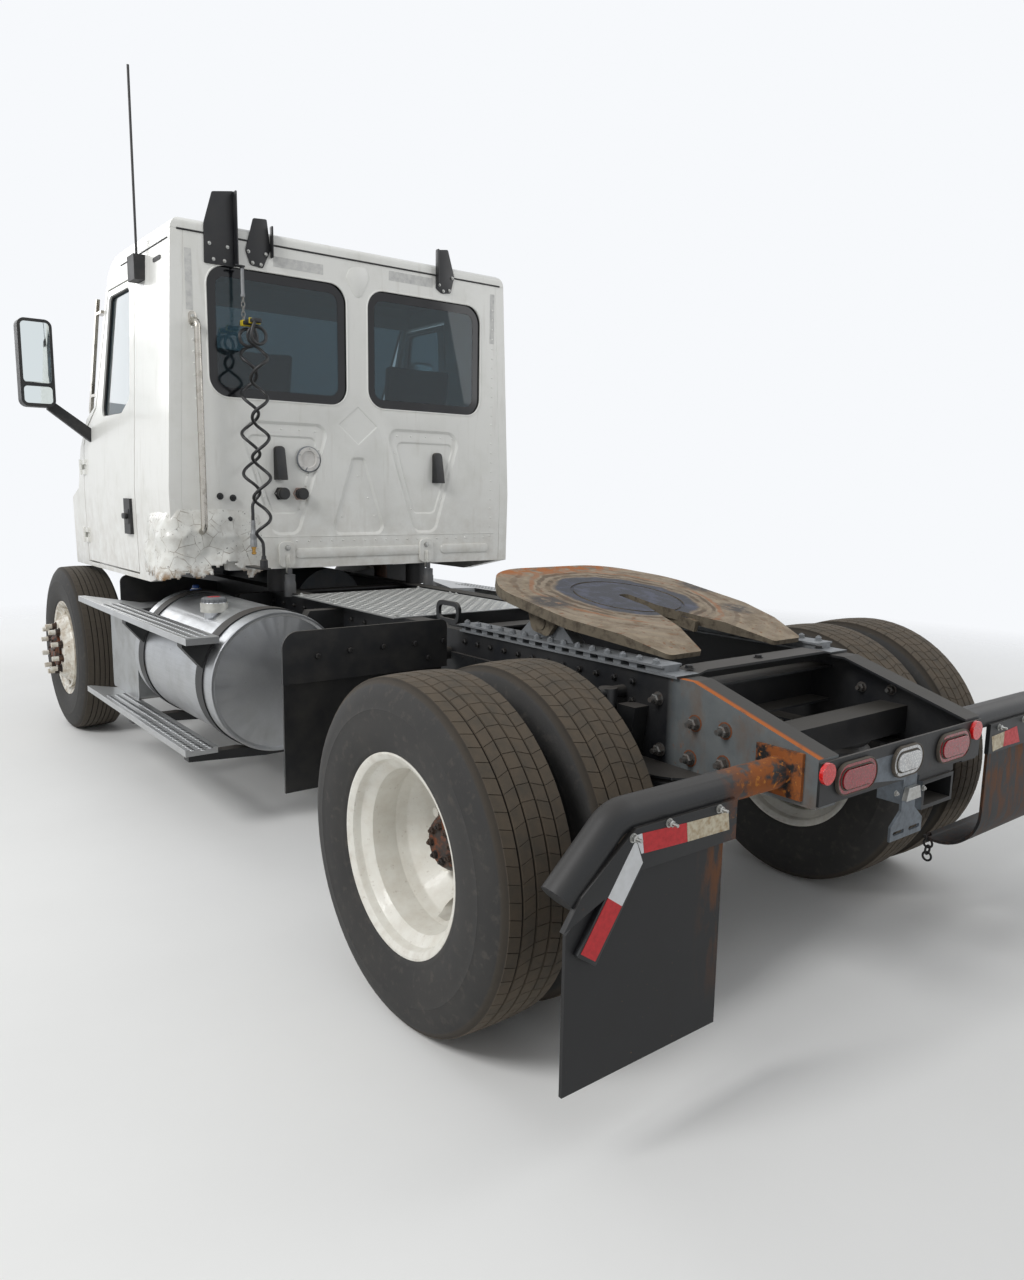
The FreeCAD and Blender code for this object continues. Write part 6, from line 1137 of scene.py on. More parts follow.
line_1, route_1, long_1 = curly_line("curly_line_1", "coil_line_1", (0.645, -0.180), 1, 1.50, [
    (0.645, -0.184, 1.470), (0.645, -0.180, 1.430), (0.645, -0.180, 1.400), (0.645, -0.180, 1.380),
    (0.645, -0.180, 1.360)])
line_2, route_2, long_2 = curly_line("curly_line_2", "coil_line_2", (0.640, -0.070), -1, 1.31, [
    (0.640, -0.076, 1.285), (0.640, -0.070, 1.255), (0.640, -0.070, 1.235), (0.640, -0.070, 1.214)])
plug_1 = fitted("line_connector", "grey", strain_relief((0.645, -0.180, 1.386)))
nose_1 = fitted("line_brass_fitting", "brass", [
    turned((0.645, -0.180, 1.255), (0, 0, -1), [
        (0.0, 0.0), (0.0125, 0.001), (0.0125, 0.011), (0.0085, 0.013), (0.0085, 0.026), (0.0115, 0.028),
        (0.0115, 0.038), (0.0055, 0.041), (0.0, 0.0405)], 6)])
plug_2 = fitted("line_end_socket", "plastic", [turned((0.640, -0.070, 1.216), (0, 0, -1), [
    (0.0, 0.0), (0.0105, 0.0), (0.0130, 0.018), (0.0190, 0.024), (0.0195, 0.060), (0.0, 0.060)])])
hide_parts("line_plugs")

# %% [markdown]
# ## Line holder and roof brackets
# A folded steel plate stands up behind the roof's edge. From its foot hang a spring tube, a short chain and
# the clip that carries both lines. Two smaller plates once held a wind deflector. All three are flat
# outlines pushed out to 4 mm, with one long edge folded back as an angle.

# %% Holder, chain, clip and brackets
WALL_Y = -0.265
HOLDER_X = 0.655
HOLDER_Y = -0.205
LINK_HALF_TALL = 0.016
LINK_HALF_WIDE = 0.0085
holder = [
    board([(0.672, 2.604), (0.820, 2.605), (0.817, 2.786), (0.772, 2.934), (0.667, 2.954)],
          rear_face(WALL_Y + 0.0005), (0, 0.006, 0), 0.006, 0.0012),
    board(oblong(WALL_Y + 0.0005, WALL_Y + 0.046, 2.606, 2.950), side_face(0.664), (0.006, 0, 0),
          0.008, 0.0012),
    board(oblong(0.642, 0.690, WALL_Y + 0.040, WALL_Y + 0.072), level(2.600), (0, 0, 0.006), 0.008, 0.0012),
    bead([(HOLDER_X, HOLDER_Y, 2.604), (HOLDER_X, HOLDER_Y, 2.592)], 0.011),
]
holder_piece = fitted("line_holder_plate", "black_steel", holder)
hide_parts("hose_tender")
fitted("line_holder_tube", "grey", [turned((HOLDER_X, HOLDER_Y, 2.594), (0, 0, -1), [
    (0.0, 0.0), (0.0085, 0.0), (0.0085, 0.118), (0.0105, 0.120), (0.0105, 0.132), (0.0, 0.133)])])
links = []
for index in range(5):
    middle_z = 2.466 - 0.0235 * index - LINK_HALF_TALL
    ring = []
    for corner in range(12):
        angle = math.tau * corner / 12
        across = LINK_HALF_WIDE * math.cos(angle)
        turned_link = index % 2
        ring.append((HOLDER_X + (across if turned_link else 0.0), HOLDER_Y + (0.0 if turned_link else across),
                     middle_z + LINK_HALF_TALL * math.sin(angle)))
    links.append(bead(ring, 0.0022, closed=True))
fitted("line_holder_chain", "zinc", links)
fitted("line_clip", "plastic", [
    board(oblong(0.623, 0.673, -0.222, -0.052), level(2.326), (0, 0, 0.018), 0.010, 0.003)])
fitted("line_clip_tie", "yellow", [
    board(oblong(0.620, 0.676, y, y + 0.008), level(2.322), (0, 0, 0.026), 0.0, 0.001)
    for y in (-0.196, -0.178, -0.092)])
bracket_outlines = [
    [(0.525, 2.621), (0.589, 2.629), (0.613, 2.695), (0.570, 2.850), (0.499, 2.856), (0.482, 2.714)],
    [(-0.536, 2.646), (-0.596, 2.654), (-0.621, 2.746), (-0.577, 2.887), (-0.506, 2.876), (-0.497, 2.669)],
]
roof_plates = [board(outline, rear_face(WALL_Y + 0.0005), (0, 0.005, 0), 0.008, 0.001)
               for outline in bracket_outlines]
roof_plates += [
    board(oblong(WALL_Y, WALL_Y + 0.034, 2.675, 2.824), side_face(0.478), (0.005, 0, 0), 0.008, 0.001),
    board(oblong(WALL_Y, WALL_Y + 0.034, 2.690, 2.876), side_face(-0.502), (0.005, 0, 0), 0.008, 0.001),
]
fitted("roof_bracket_plates", "black_steel", roof_plates)
bolts("roof_bracket_bolts", "light_zinc", [
    (x, WALL_Y + 0.0065, z) for x, z in (
        (0.792, 2.697), (0.774, 2.627), (0.703, 2.692), (0.720, 2.626), (0.598, 2.690), (0.578, 2.640),
        (0.535, 2.637), (0.508, 2.690), (-0.546, 2.660), (-0.586, 2.668), (-0.606, 2.738), (-0.518, 2.690))],
    (0, 1, 0), 0.012, 0.006)

# %% [markdown]
# ## Rear wall
# The wall is one aluminium pressing: its panels and pockets are in the frame. What is added here is what is
# riveted, bonded or bolted to it. First the windows: glass bonded to a wall has a black border that hides the
# glue, about 50 mm wide, and the sheet round it is turned in as a lip. Both start from one rounded outline.

# %% Window borders and lips
WINDOW_NEAR = 0.0600
WINDOW_FAR = 0.8150
WINDOW_LOW = 1.9850
WINDOW_HIGH = 2.6100
BORDER_GAP = 0.0012
BORDER_WIDTH = 0.050
BORDER_Y = -0.2787


def window_face(side, y, gap, corner):
    """One window's rounded outline as a single face."""
    near, far = sorted((side * (WINDOW_NEAR + gap), side * (WINDOW_FAR - gap)))
    bm = bmesh.new()
    bm.faces.new([bm.verts.new((x, y, z)) for x, z in oblong(near, far, WINDOW_LOW + gap, WINDOW_HIGH - gap)])
    bmesh.ops.bevel(bm, geom=bm.verts[:], offset=corner, offset_type="OFFSET", segments=8, profile=0.5,
                    affect="VERTICES", material=-1)
    return bm


borders = []
lips = []
for side in (1, -1):
    border = window_face(side, BORDER_Y, BORDER_GAP, 0.099)
    bmesh.ops.inset_region(border, faces=border.faces[:], thickness=BORDER_WIDTH, use_boundary=True,
                           use_even_offset=True)
    bmesh.ops.delete(border, geom=[face for face in border.faces if len(face.verts) > 4], context="FACES")
    push_out(border, (0, 0.0008, 0))
    borders.append(border)
    lip = window_face(side, WALL_Y - 0.001, 0.0, 0.100)
    lip_line = [vert.co.copy() for vert in lip.faces[:][0].verts]
    lip.free()
    lips.append(bead(lip_line, 0.0045, closed=True))
pane_borders = fitted("pane_borders", "frit", borders)
fitted("window_lips", "enamel", lips)
print("pane borders have", len(pane_borders.data.polygons), "faces")

# %% [markdown]
# Rivets run down the corner posts, along the lower seam and round the pockets, where they hold the inner
# frame. Their rows are evenly spaced, so each row is a line from one end to the other. The ribs are pressed
# beads a few millimetres high, and pale strips of old adhesive show where trim has been pulled off.

# %% Seams, rivets, ribs and strips
fitted("roof_seam", "rubber", [
    bead([(-0.945, WALL_Y + 0.0005, 2.740), (0.945, WALL_Y + 0.0005, 2.740)], 0.0045)])
wall_rivets = [(-0.898, WALL_Y, z) for z in steps_between(1.28, 2.60, 25)]
wall_rivets += [(0.884 - 0.009 * (2.184 - z) / 0.42, WALL_Y, z) for z in steps_between(1.42, 2.30, 17)]
wall_rivets += [(x, WALL_Y, 1.272) for x in steps_between(0.37, -0.85, 19)]
wall_rivets += [(side * x, WALL_Y - 0.010, z) for side in (1, -1) for x, z in (
    (0.25, 1.845), (0.34, 1.848), (0.44, 1.848), (0.54, 1.848), (0.62, 1.845), (0.585, 1.62), (0.545, 1.50),
    (0.300, 1.62), (0.345, 1.44), (0.235, 1.75))]
wall_rivets += [(x, WALL_Y - 0.010, z) for x, z in ((-0.10, 1.40), (0.10, 1.40), (0.0, 1.62), (-0.06, 1.50))]
rivets("wall_rivets", "enamel", wall_rivets, (0, 1, 0), 0.0055, 0.0032)
ribs = [board(oblong(-0.404, 0.385, 1.182, 1.234), rear_face(WALL_Y - 0.001), (0, 0.007, 0), 0.024, 0.005),
        board(oblong(-0.881, -0.534, 1.184, 1.236), rear_face(WALL_Y - 0.001), (0, 0.007, 0), 0.024, 0.005),
        board([(-0.026, 2.558), (0.011, 2.553), (0.069, 2.646), (0.039, 2.700), (-0.050, 2.714),
               (-0.075, 2.667)], rear_face(WALL_Y - 0.001), (0, 0.0032, 0), 0.018, 0.0025),
        board(oblong(-0.925, 0.925, 1.294, 1.298), rear_face(WALL_Y - 0.001), (0, 0.0025, 0), 0.0, 0.001)]
fitted("wall_ribs", "enamel", ribs)
strips = [oblong(0.195, 0.468, 2.640, 2.690), oblong(-0.477, -0.195, 2.670, 2.720),
          oblong(0.880, 0.913, 2.380, 2.660), oblong(-0.910, -0.878, 2.410, 2.690)]
fitted("adhesive_strips", "strip", [
    board(corners, rear_face(WALL_Y - 0.0005), (0, 0.0011, 0), 0.002) for corners in strips])
print("wall rivets", len(wall_rivets))

# %% [markdown]
# Two cabin vents end in moulded hoods, proud at the foot and flush at the top, so that rain runs off. A
# hood is a board whose outer face is pulled in towards its top. The port ring, its pale membrane and the
# sockets' flange are in the frame's part, so they only need other finishes on some of their faces.

# %% Vent hoods, port ring and sockets
SEAT_Y = WALL_Y - 0.016
HOOD_LOW = 1.590
HOOD_HIGH = 1.762
PORT_X = 0.295
PORT_Z = 1.700
hoods = []
for centre in (0.455, -0.517):
    hood = board(oblong(centre - 0.030, centre + 0.030, HOOD_LOW, HOOD_HIGH), rear_face(SEAT_Y + 0.0005),
                 (0, 0.050, 0))
    for vert in hood.verts:
        if vert.co.y > SEAT_Y + 0.02:
            vert.co.y = SEAT_Y + 0.020 + 0.034 * (HOOD_HIGH - vert.co.z) / (HOOD_HIGH - HOOD_LOW)
            vert.co.x = centre + (vert.co.x - centre) * 0.86
    tops = [edge for edge in hood.edges if abs(edge.verts[0].co.y - edge.verts[1].co.y) > 0.01 and
            min(vert.co.z for vert in edge.verts) > 1.7]
    bmesh.ops.bevel(hood, geom=tops, offset=0.020, segments=5, profile=0.5, affect="EDGES", material=-1)
    soften_rims(hood, 0.002)
    hoods.append(hood)
fitted("vent_hoods", "plastic", hoods)
fitting_set = skin["wall_fittings"]
repaint(fitting_set, "ring_plastic", lambda spot: 0.22 < spot.x < 0.37 and spot.z > 1.60)
repaint(fitting_set, "pale_plastic", lambda spot: math.hypot(spot.x - PORT_X, spot.z - PORT_Z) < 0.042)
repaint(fitting_set, "flange_pink", lambda spot: spot.x < 0.382 and spot.z < 1.56 and spot.y < -0.2695)
repaint(skin["cab_mounts"], "enamel", lambda spot: spot.y > -0.30)
bolts("port_ring_screws", "light_zinc", [
    (PORT_X + 0.0555 * math.cos(a), WALL_Y + 0.0045, PORT_Z + 0.0555 * math.sin(a))
    for a in (0.4, 1.66, 2.92, 4.17, 5.43)], (0, 1, 0), 0.008, 0.003, washer=False, stub=0.0)
bolts("socket_screws", "light_zinc", [
    (x + side * 0.029, SEAT_Y + 0.0102, 1.520) for x in (0.345, 0.450) for side in (1, -1)],
    (0, 1, 0), 0.009, 0.004, washer=False, stub=0.0)

# %% [markdown]
# Under the wall, two steel tongues hold the cab to rubber mounts, each with a slotted bracket and a gas
# damper beside it. The grab handle stands on two oval feet, and three studs are left of a lamp that has gone.

# %% Studs, mount tongues, dampers and handle feet
TONGUE_X = 0.430
bolts("corner_studs", "black_steel", [
    (0.778, WALL_Y, 1.503), (0.712, WALL_Y, 1.495), (0.735, WALL_Y, 1.390)], (0, 1, 0), 0.024, 0.016)
bolts("mount_tongue_bolts", "light_zinc", [
    (x, WALL_Y + 0.0145, 1.238) for x in (TONGUE_X, -TONGUE_X)], (0, 1, 0), 0.022, 0.008, stub=0.2)
fitted("mount_tongue_slots", "mount_slot", [
    board(oblong(x - 0.013, x + 0.013, 1.105, 1.205), rear_face(WALL_Y + 0.0142), (0, 0.002, 0),
          0.012, 0.0008) for x in (TONGUE_X, -TONGUE_X)])
fitted("cab_dampers", "grey_rubber", [
    turned((x, WALL_Y + 0.034, 0.985), (0, 0, 1), [
        (0.0, 0.0), (0.030, 0.0), (0.030, 0.075), (0.027, 0.080), (0.027, 0.115), (0.012, 0.118),
        (0.012, 0.150), (0.0, 0.150)]) for x in (TONGUE_X, -TONGUE_X)])
bolts("grab_handle_bolts", "light_zinc", [
    (0.885, WALL_Y, 2.352), (0.885, WALL_Y, 1.306)], (0, 1, 0), 0.018, 0.008, stub=0.2)
fitted("grab_handle_feet", "bright", [
    board(oblong(0.866, 0.904, z - 0.034, z + 0.034), rear_face(WALL_Y - 0.0005), (0, 0.0045, 0),
          0.018, 0.001) for z in (2.342, 1.318)])

# %% [markdown]
# ## Wheel nuts
# A truck hub has ten nuts on a circle of 285.75 mm, and the axle's flange has its own ring of smaller bolts.
# A ring of bolts is the same step each time: turn by an equal angle and set one bolt, so one function does
# all four kinds of ring. The nuts ride on the wheels, which turn.

# %% Hub nuts
NUT_CIRCLE = 0.1429
REAR_NUT_FACE = REAR_TRACK_HALF + 0.011
REAR_FLANGE_FACE = REAR_TRACK_HALF + 0.129
FRONT_NUT_FACE = FRONT_TRACK_HALF + 0.165
FRONT_FLANGE_FACE = FRONT_NUT_FACE + 0.0285


def bolt_ring(bm, face_x, axle_y, side, count, first_degrees, radius, across, tall, stub):
    """Equal bolts in a ring about an axle."""
    for index in range(count):
        angle = math.radians(360 / count * index + first_degrees)
        spot = (side * face_x, axle_y + radius * math.cos(angle), AXLE_Z + radius * math.sin(angle))
        add_bolt(bm, spot, (side, 0, 0), across, tall, stub=stub)


nuts = []
for side_name, side in SIDES:
    bm = bmesh.new()
    bolt_ring(bm, REAR_NUT_FACE, REAR_AXLE_Y, side, 10, 18, NUT_CIRCLE, 0.033, 0.026, 0.0)
    bolt_ring(bm, REAR_FLANGE_FACE, REAR_AXLE_Y, side, 8, 10, 0.052, 0.019, 0.012, 0.4)
    nuts.append(show(f"rear_hub_nuts_{side_name}", mesh_of(bm, "rear_hub_nuts", 30),
                     f"rear_wheels_{side_name}", "iron"))
    bm = bmesh.new()
    bolt_ring(bm, FRONT_NUT_FACE, FRONT_AXLE_Y, side, 10, 18, NUT_CIRCLE, 0.036, 0.022, 0.0)
    bolt_ring(bm, FRONT_FLANGE_FACE, FRONT_AXLE_Y, side, 6, 0, 0.062, 0.014, 0.008, 0.3)
    nuts.append(show(f"front_hub_nuts_{side_name}", mesh_of(bm, "front_hub_nuts", 30),
                     f"front_wheel_{side_name}", "iron"))
print("hub nut faces", [len(thing.data.polygons) for thing in nuts])

# %% [markdown]
# ## Tail
# The tail plate carries oval lamps in rubber grommets. The frame has them as one part, so it gets four
# finishes by where its faces are: how far a face is from a lamp's long middle line tells lens from grommet.
# A grommet's two rims are beads along the same oval.

# %% Lamps and licence bracket
LAMPS = [(0.270, 0.166), (0.010, 0.133), (-0.255, 0.166)]
LAMP_Z = 0.805
LAMP_HALF_TALL = 0.033
LENS_REACH = 0.029
LAMP_FACE_Y = 2.9982


def past_lens(spot):
    """How far a point lies from the nearest lamp's long middle line."""
    return min(math.hypot(max(abs(spot.x - x) - long / 2 + LAMP_HALF_TALL, 0.0), spot.z - LAMP_Z)
               for x, long in LAMPS)


lamp_set = skin["tail_lamps"]
repaint(lamp_set, "grommet", lambda spot: spot.z > 0.745 and LENS_REACH < past_lens(spot) < 0.06)
repaint(lamp_set, "clear_lens", lambda spot: abs(spot.x - 0.010) < 0.07 and past_lens(spot) <= LENS_REACH)
repaint(lamp_set, "reflector", lambda spot: spot.x > 0.376 or spot.x < -0.355)
repaint(lamp_set, "light_zinc", lambda spot: spot.z < 0.745)
rims = []
for lamp_x, long in LAMPS:
    for reach, size in ((0.0300, 0.0026), (0.0440, 0.0022)):
        straight = long / 2 - LAMP_HALF_TALL
        line = []
        for index in range(32):
            angle = math.tau * (index + 0.5) / 32
            shift = straight if math.cos(angle) > 0 else -straight
            line.append((lamp_x + shift + reach * math.cos(angle), LAMP_FACE_Y,
                         LAMP_Z + reach * math.sin(angle)))
        rims.append(bead(line, size, closed=True))
fitted("lamp_grommet_rims", "grommet", rims)
repaint(skin["tail_plate"], "galvanised", lambda spot: spot.z < 0.755 and -0.115 < spot.x < 0.066)
bolts("licence_lamp_screws", "light_zinc", [(0.052, 2.9895, 0.712), (-0.100, 2.9895, 0.700)],
      (0, 1, 0), 0.012, 0.006)

# %% [markdown]
# The flaps' clamp plates carry strips of retroreflective tape in red and white, one of them stained by
# rust. On the left a black backing plate runs down the hanger's slope, and its tape follows it. Each strip
# is a board only a millimetre thick, so that its edge still catches the light.

# %% Reflective tapes and slide racks
CLAMP_Y = 2.9127
TAPE_THICK = (0, 0.0012, 0)
tapes = {
    "tape_red": [[(1.011, 0.780), (0.860, 0.773), (0.854, 0.724), (1.003, 0.730)]],
    "tape_rusty": [[(0.859, 0.773), (0.705, 0.769), (0.698, 0.721), (0.853, 0.724)],
                   [(-0.683, 0.751), (-0.775, 0.756), (-0.775, 0.702), (-0.700, 0.696)]],
    "tape_white": [[(1.034, 0.779), (1.012, 0.780), (1.004, 0.731), (1.012, 0.731)],
                   [(1.031, 0.769), (1.114, 0.650), (1.069, 0.618), (1.006, 0.708)]],
}
for finish, outlines in tapes.items():
    fitted("clamp_" + finish, finish, [
        board(outline, rear_face(CLAMP_Y), TAPE_THICK, 0.001) for outline in outlines])
fitted("clamp_tape_red_low", "tape_red", [
    board(outline, rear_face(CLAMP_Y), TAPE_THICK, 0.001) for outline in (
        [(1.114, 0.650), (1.192, 0.538), (1.148, 0.507), (1.069, 0.618)],
        [(-0.776, 0.756), (-0.866, 0.762), (-0.900, 0.700), (-0.776, 0.702)])])
fitted("clamp_slope_plate", "black_steel", [
    board([(1.034, 0.776), (1.203, 0.534), (1.145, 0.494), (0.996, 0.712)], rear_face(2.8985), (0, 0.0142, 0),
          0.004, 0.001)])
repaint(skin["fifth_wheel_base"], "rack",
        lambda spot: abs(spot.x) > 0.335 and spot.z > 1.0 and 1.34 < spot.y < 2.44)

# %% [markdown]
# The bolts follow the holes and seams of the frame's parts. The tail pieces are held by large bolts with
# rings of rust, the slide racks are bolted from above, and the rest of the rails' webs has two rows of bolts
# where the real rail carries brackets and cross members.

# %% Bolts of the tail, the rails and the slide racks
RAIL_FACE = 0.432
RACK_X = 0.424
EXTENSION_BOLTS = [(2.559, 0.883), (2.671, 0.884), (2.671, 0.786), (2.546, 0.773),
                   (2.425, 0.772), (2.409, 0.930)]
RUSTED_BOLTS = EXTENSION_BOLTS[:4]
bolts("clamp_plate_bolts", "light_zinc", [
    (0.921, 2.9128, 0.786), (0.741, 2.9128, 0.784), (1.040, 2.9128, 0.775), (-0.730, 2.9128, 0.778),
    (-0.915, 2.9128, 0.780)], (0, 1, 0), 0.016, 0.012, stub=1.2)
for side_name, side in SIDES:
    bolts(f"tail_extension_bolts_{side_name}", "steel_bolt", [
        (side * RAIL_FACE, y, z) for y, z in EXTENSION_BOLTS], (side, 0, 0), 0.030, 0.020, stub=0.8)
    rust_rings = [board([(y + 0.026 * math.cos(math.tau * i / 12), z + 0.026 * math.sin(math.tau * i / 12))
                         for i in range(12)], side_face(side * RAIL_FACE), (side * 0.0012, 0, 0))
                  for y, z in RUSTED_BOLTS]
    fitted(f"tail_extension_washers_{side_name}", "rust_ring", rust_rings)
    bolts(f"rail_bolts_{side_name}", "black_bolt", [
        (side * RAIL_FACE, y, z) for y in steps_between(1.38, 2.30, 12) for z in (0.965, 0.905)],
        (side, 0, 0), 0.018, 0.010, stub=0.6)
    bolts(f"rail_bolts_front_{side_name}", "black_bolt", [
        (side * RAIL_FACE, y, z) for y in steps_between(-0.55, 1.20, 15) for z in (0.945, 0.755)],
        (side, 0, 0), 0.018, 0.010, stub=0.6)
    bolts(f"slide_rack_bolts_{side_name}", "rack", [
        (side * RACK_X, y, 1.0350) for y in steps_between(1.378, 2.386, 15)],
        (0, 0, 1), 0.020, 0.011, stub=0.3)
bolts("cross_tube_bolts", "steel_bolt", [
    (-0.4238, 2.572, 0.895), (-0.4238, 2.683, 0.905)], (1, 0, 0), 0.026, 0.016, stub=0.8)
bolts("strap_bolts", "black_bolt", [(x, 2.446, 1.0215) for x in (0.0, 0.34, -0.34)],
      (0, 0, 1), 0.022, 0.008, stub=0.0)

# %% [markdown]
# ## Deck, steps and boxes
# Tread plate is rolled with short raised bars that turn a quarter from one to the next. A bump texture
# would be cheaper, but bars that stand up catch the light on their sides and end cleanly at the plate's
# edge. Each bar is a flattened four-sided cone of six faces, because there are some six hundred of them.

# %% Raised bars of the tread plates


def tread_bars(area, height, pitch=0.034):
    """Rows of raised bars over a rectangle, each row turned a quarter from the last."""
    x0, x1, y0, y1 = area
    bm = bmesh.new()
    columns = int((x1 - x0 - 0.012) / pitch)
    rows = int((y1 - y0 - 0.012) / pitch)
    for column in range(columns):
        for row in range(rows):
            x = x0 + (x1 - x0) * (column + 0.5) / columns
            y = y0 + (y1 - y0) * (row + 0.5) / rows
            turn_by = Matrix.Rotation(math.radians(45 if (column + row) % 2 else -45), 4, "Z")
            base = Matrix.Translation((x, y, height)) @ turn_by @ Matrix.Diagonal((1.0, 0.28, 1.0, 1.0))
            add_cone(bm, base, 0.0, 0.0018, 0.0135, 0.0085, 4)
    return bm


DECK_TOP = 1.0103
DECK_LEFT = 0.485
DECK_RIGHT = -0.275
decks = [tread_bars((DECK_RIGHT, DECK_LEFT, -0.070, 0.292), DECK_TOP),
         tread_bars((DECK_RIGHT, DECK_LEFT, 0.300, 0.920), DECK_TOP)]
deck_bars = fitted("deck_tread_bars", "deck_bars", decks, 20)
bolts("deck_bolts", "light_zinc", [
    (x, y, DECK_TOP) for x in (DECK_RIGHT + 0.030, DECK_LEFT - 0.030) for y in (-0.045, 0.268, 0.325, 0.895)],
    (0, 0, 1), 0.016, 0.007)
print("tread bar faces", len(deck_bars.data.polygons))

# %% [markdown]
# The steps' treads are aluminium, pierced and flared upwards so that a wet boot grips. Holes cut through the
# frame's part would change it, so a flared lip stands round each hole and a dark disc inside it is painted
# shade, where the hole would show. Each second column is shifted by half the distance between holes.

# %% Perforated step treads
STEP_INNER = 1.085
STEP_OUTER = 1.205
STEP_TOPS = (0.915, 0.415)


def grip_holes(low_x, high_x, low_y, high_y, top, pitch=0.033):
    """Raised round holes in a step: a flared lip each, and a dark disc of painted shade inside it."""
    lips = bmesh.new()
    holes = bmesh.new()
    columns = max(1, int((high_x - low_x) / pitch))
    rows = int((high_y - low_y) / pitch)
    for column in range(columns):
        for row in range(rows):
            shift = 0.5 if column % 2 else 0.0
            x = low_x + (high_x - low_x) * (column + 0.5) / columns
            y = low_y + (high_y - low_y) * (row + 0.25 + shift) / rows
            base = Matrix.Translation((x, y, top))
            add_cone(lips, base, 0.0, 0.0024, 0.0125, 0.0095, 10, caps=False)
            # A dark disc inside the lip: painted shade for the hole.
            add_cone(holes, base, 0.0002, 0.0008, 0.0095, 0.0095, 10)
    return lips, holes


step_lips = []
step_hole_shades = []
for side in (1, -1):
    for top in STEP_TOPS:
        near, far = sorted((side * STEP_INNER, side * STEP_OUTER))
        lips, holes = grip_holes(near, far, -0.93, 0.42, top)
        step_lips.append(lips)
        step_hole_shades.append(holes)
fitted("step_grip_lips", "step", step_lips, 60)
# The discs in the holes are painted shade.
painted_shade_discs = fitted("step_grip_hole_shade", "painted_hole_shade", step_hole_shades, 60)
print("step grip holes", len(painted_shade_discs.data.polygons) // 12)

# %% [markdown]
# The tank's cap is a turned form with sixteen grip ribs round its rim, on a bare collar. The fuel sender's
# blue plug stands on the tank's crown, and each strap ends in a long bolt that pulls it tight.

# %% Fuel tank's cap, collar, sender plug and strap bolts
TANK_X = 0.806
TANK_Z = 0.689
TANK_RADIUS = 0.3175
CAP_X = 0.956
CAP_Y = 0.085
CAP_RADIUS = 0.054
STRAP_ANGLE = math.radians(38)
STRAP_FACE = TANK_RADIUS + 0.004
cap = [turned((CAP_X, CAP_Y, 1.018), (0, 0, 1), [
    (0.0, 0.0), (0.052, 0.0), (0.054, 0.004), (0.054, 0.018), (0.050, 0.023),
    (0.030, 0.026), (0.0, 0.026)], 32)]
for index in range(16):
    angle = math.tau * index / 16
    x = CAP_X + CAP_RADIUS * math.cos(angle)
    y = CAP_Y + CAP_RADIUS * math.sin(angle)
    cap.append(bead([(x, y, 1.020), (x, y, 1.037)], 0.0035))
fitted("tank_cap", "cap_grey", cap)
fitted("tank_cap_tag", "tape_red", [
    board(oblong(0.928, 0.984, 0.070, 0.100), level(1.0436), (0, 0, 0.0012), 0.008)])
fitted("tank_cap_collar", "mount_slot", [turned((CAP_X, CAP_Y, 0.975), (0, 0, 1), [
    (0.058, 0.0), (0.062, 0.0), (0.062, 0.043), (0.058, 0.043)], 32)])
sender_foot = (TANK_X, -0.585, TANK_Z + TANK_RADIUS - 0.002)
fitted("tank_sender", "blue_plastic", [turned(sender_foot, (0, 0, 1), [
    (0.0, 0.0), (0.030, 0.0), (0.030, 0.008), (0.018, 0.010), (0.018, 0.026), (0.012, 0.030), (0.0, 0.030)])])
strap_end_x = TANK_X + STRAP_FACE * math.cos(STRAP_ANGLE)
strap_end_z = TANK_Z + STRAP_FACE * math.sin(STRAP_ANGLE)
strap_ends = [(strap_end_x, y + shift, strap_end_z) for y in (-0.495, 0.335) for shift in (-0.022, 0.022)]
bolts("tank_strap_bolts", "light_zinc", strap_ends, (0.788, 0, 0.616), 0.016, 0.010, stub=1.5)

# %% [markdown]
# The splash guards are bolted to their brackets along the upper edge. The bolts are on their rear face.

# %% Splash guards' bolts
GUARD_BACK_Y = 1.3045
guard_bolts = [(side * x, GUARD_BACK_Y, z) for side in (1, -1) for x, z in (
    (0.49, 0.965), (0.62, 0.965), (0.76, 0.965), (0.90, 0.965), (1.03, 0.955), (0.56, 0.905))]
bolts("splash_guard_bolts", "black_bolt", guard_bolts, (0, 1, 0), 0.018, 0.008, stub=0.0)

# %% [markdown]
# ## Crushed corner
# The cab's left rear corner has been hit: the skin is folded like foil above a torn edge. A sculptor would
# dent it by hand. Here a fine grid is wrapped round the corner and pushed out by cell noise, whose borders
# are the sharp folds. It sinks into the sound wall at its upper and outer borders, and its lower border is
# cut ragged.

# %% Where the folds run
FOLD_TOP = 1.445
FOLD_LOW = 1.092
REAR_RUN = 0.445
SIDE_RUN = 0.36
CORNER_ROUND = 0.040
BEND_RUN = 0.063
WHOLE_RUN = REAR_RUN + BEND_RUN + SIDE_RUN


def cab_side_x(z):
    """The cab's side leans in towards the roof."""
    return 1.0985 - 0.045 * z


def on_corner(run, z):
    """A place and its outward direction at a distance run along the skin, from the rear wall to the side."""
    side_x = cab_side_x(z)
    if run < REAR_RUN:
        return Vector((side_x - CORNER_ROUND - REAR_RUN + run, WALL_Y, z)), Vector((0, 1, 0))
    if run < REAR_RUN + BEND_RUN:
        angle = (run - REAR_RUN) / BEND_RUN * math.pi / 2
        out = Vector((math.sin(angle), math.cos(angle), 0))
        return Vector((side_x - CORNER_ROUND, WALL_Y - CORNER_ROUND, z)) + CORNER_ROUND * out, out
    return Vector((side_x, WALL_Y - CORNER_ROUND - (run - REAR_RUN - BEND_RUN), z)), Vector((1, 0, 0))


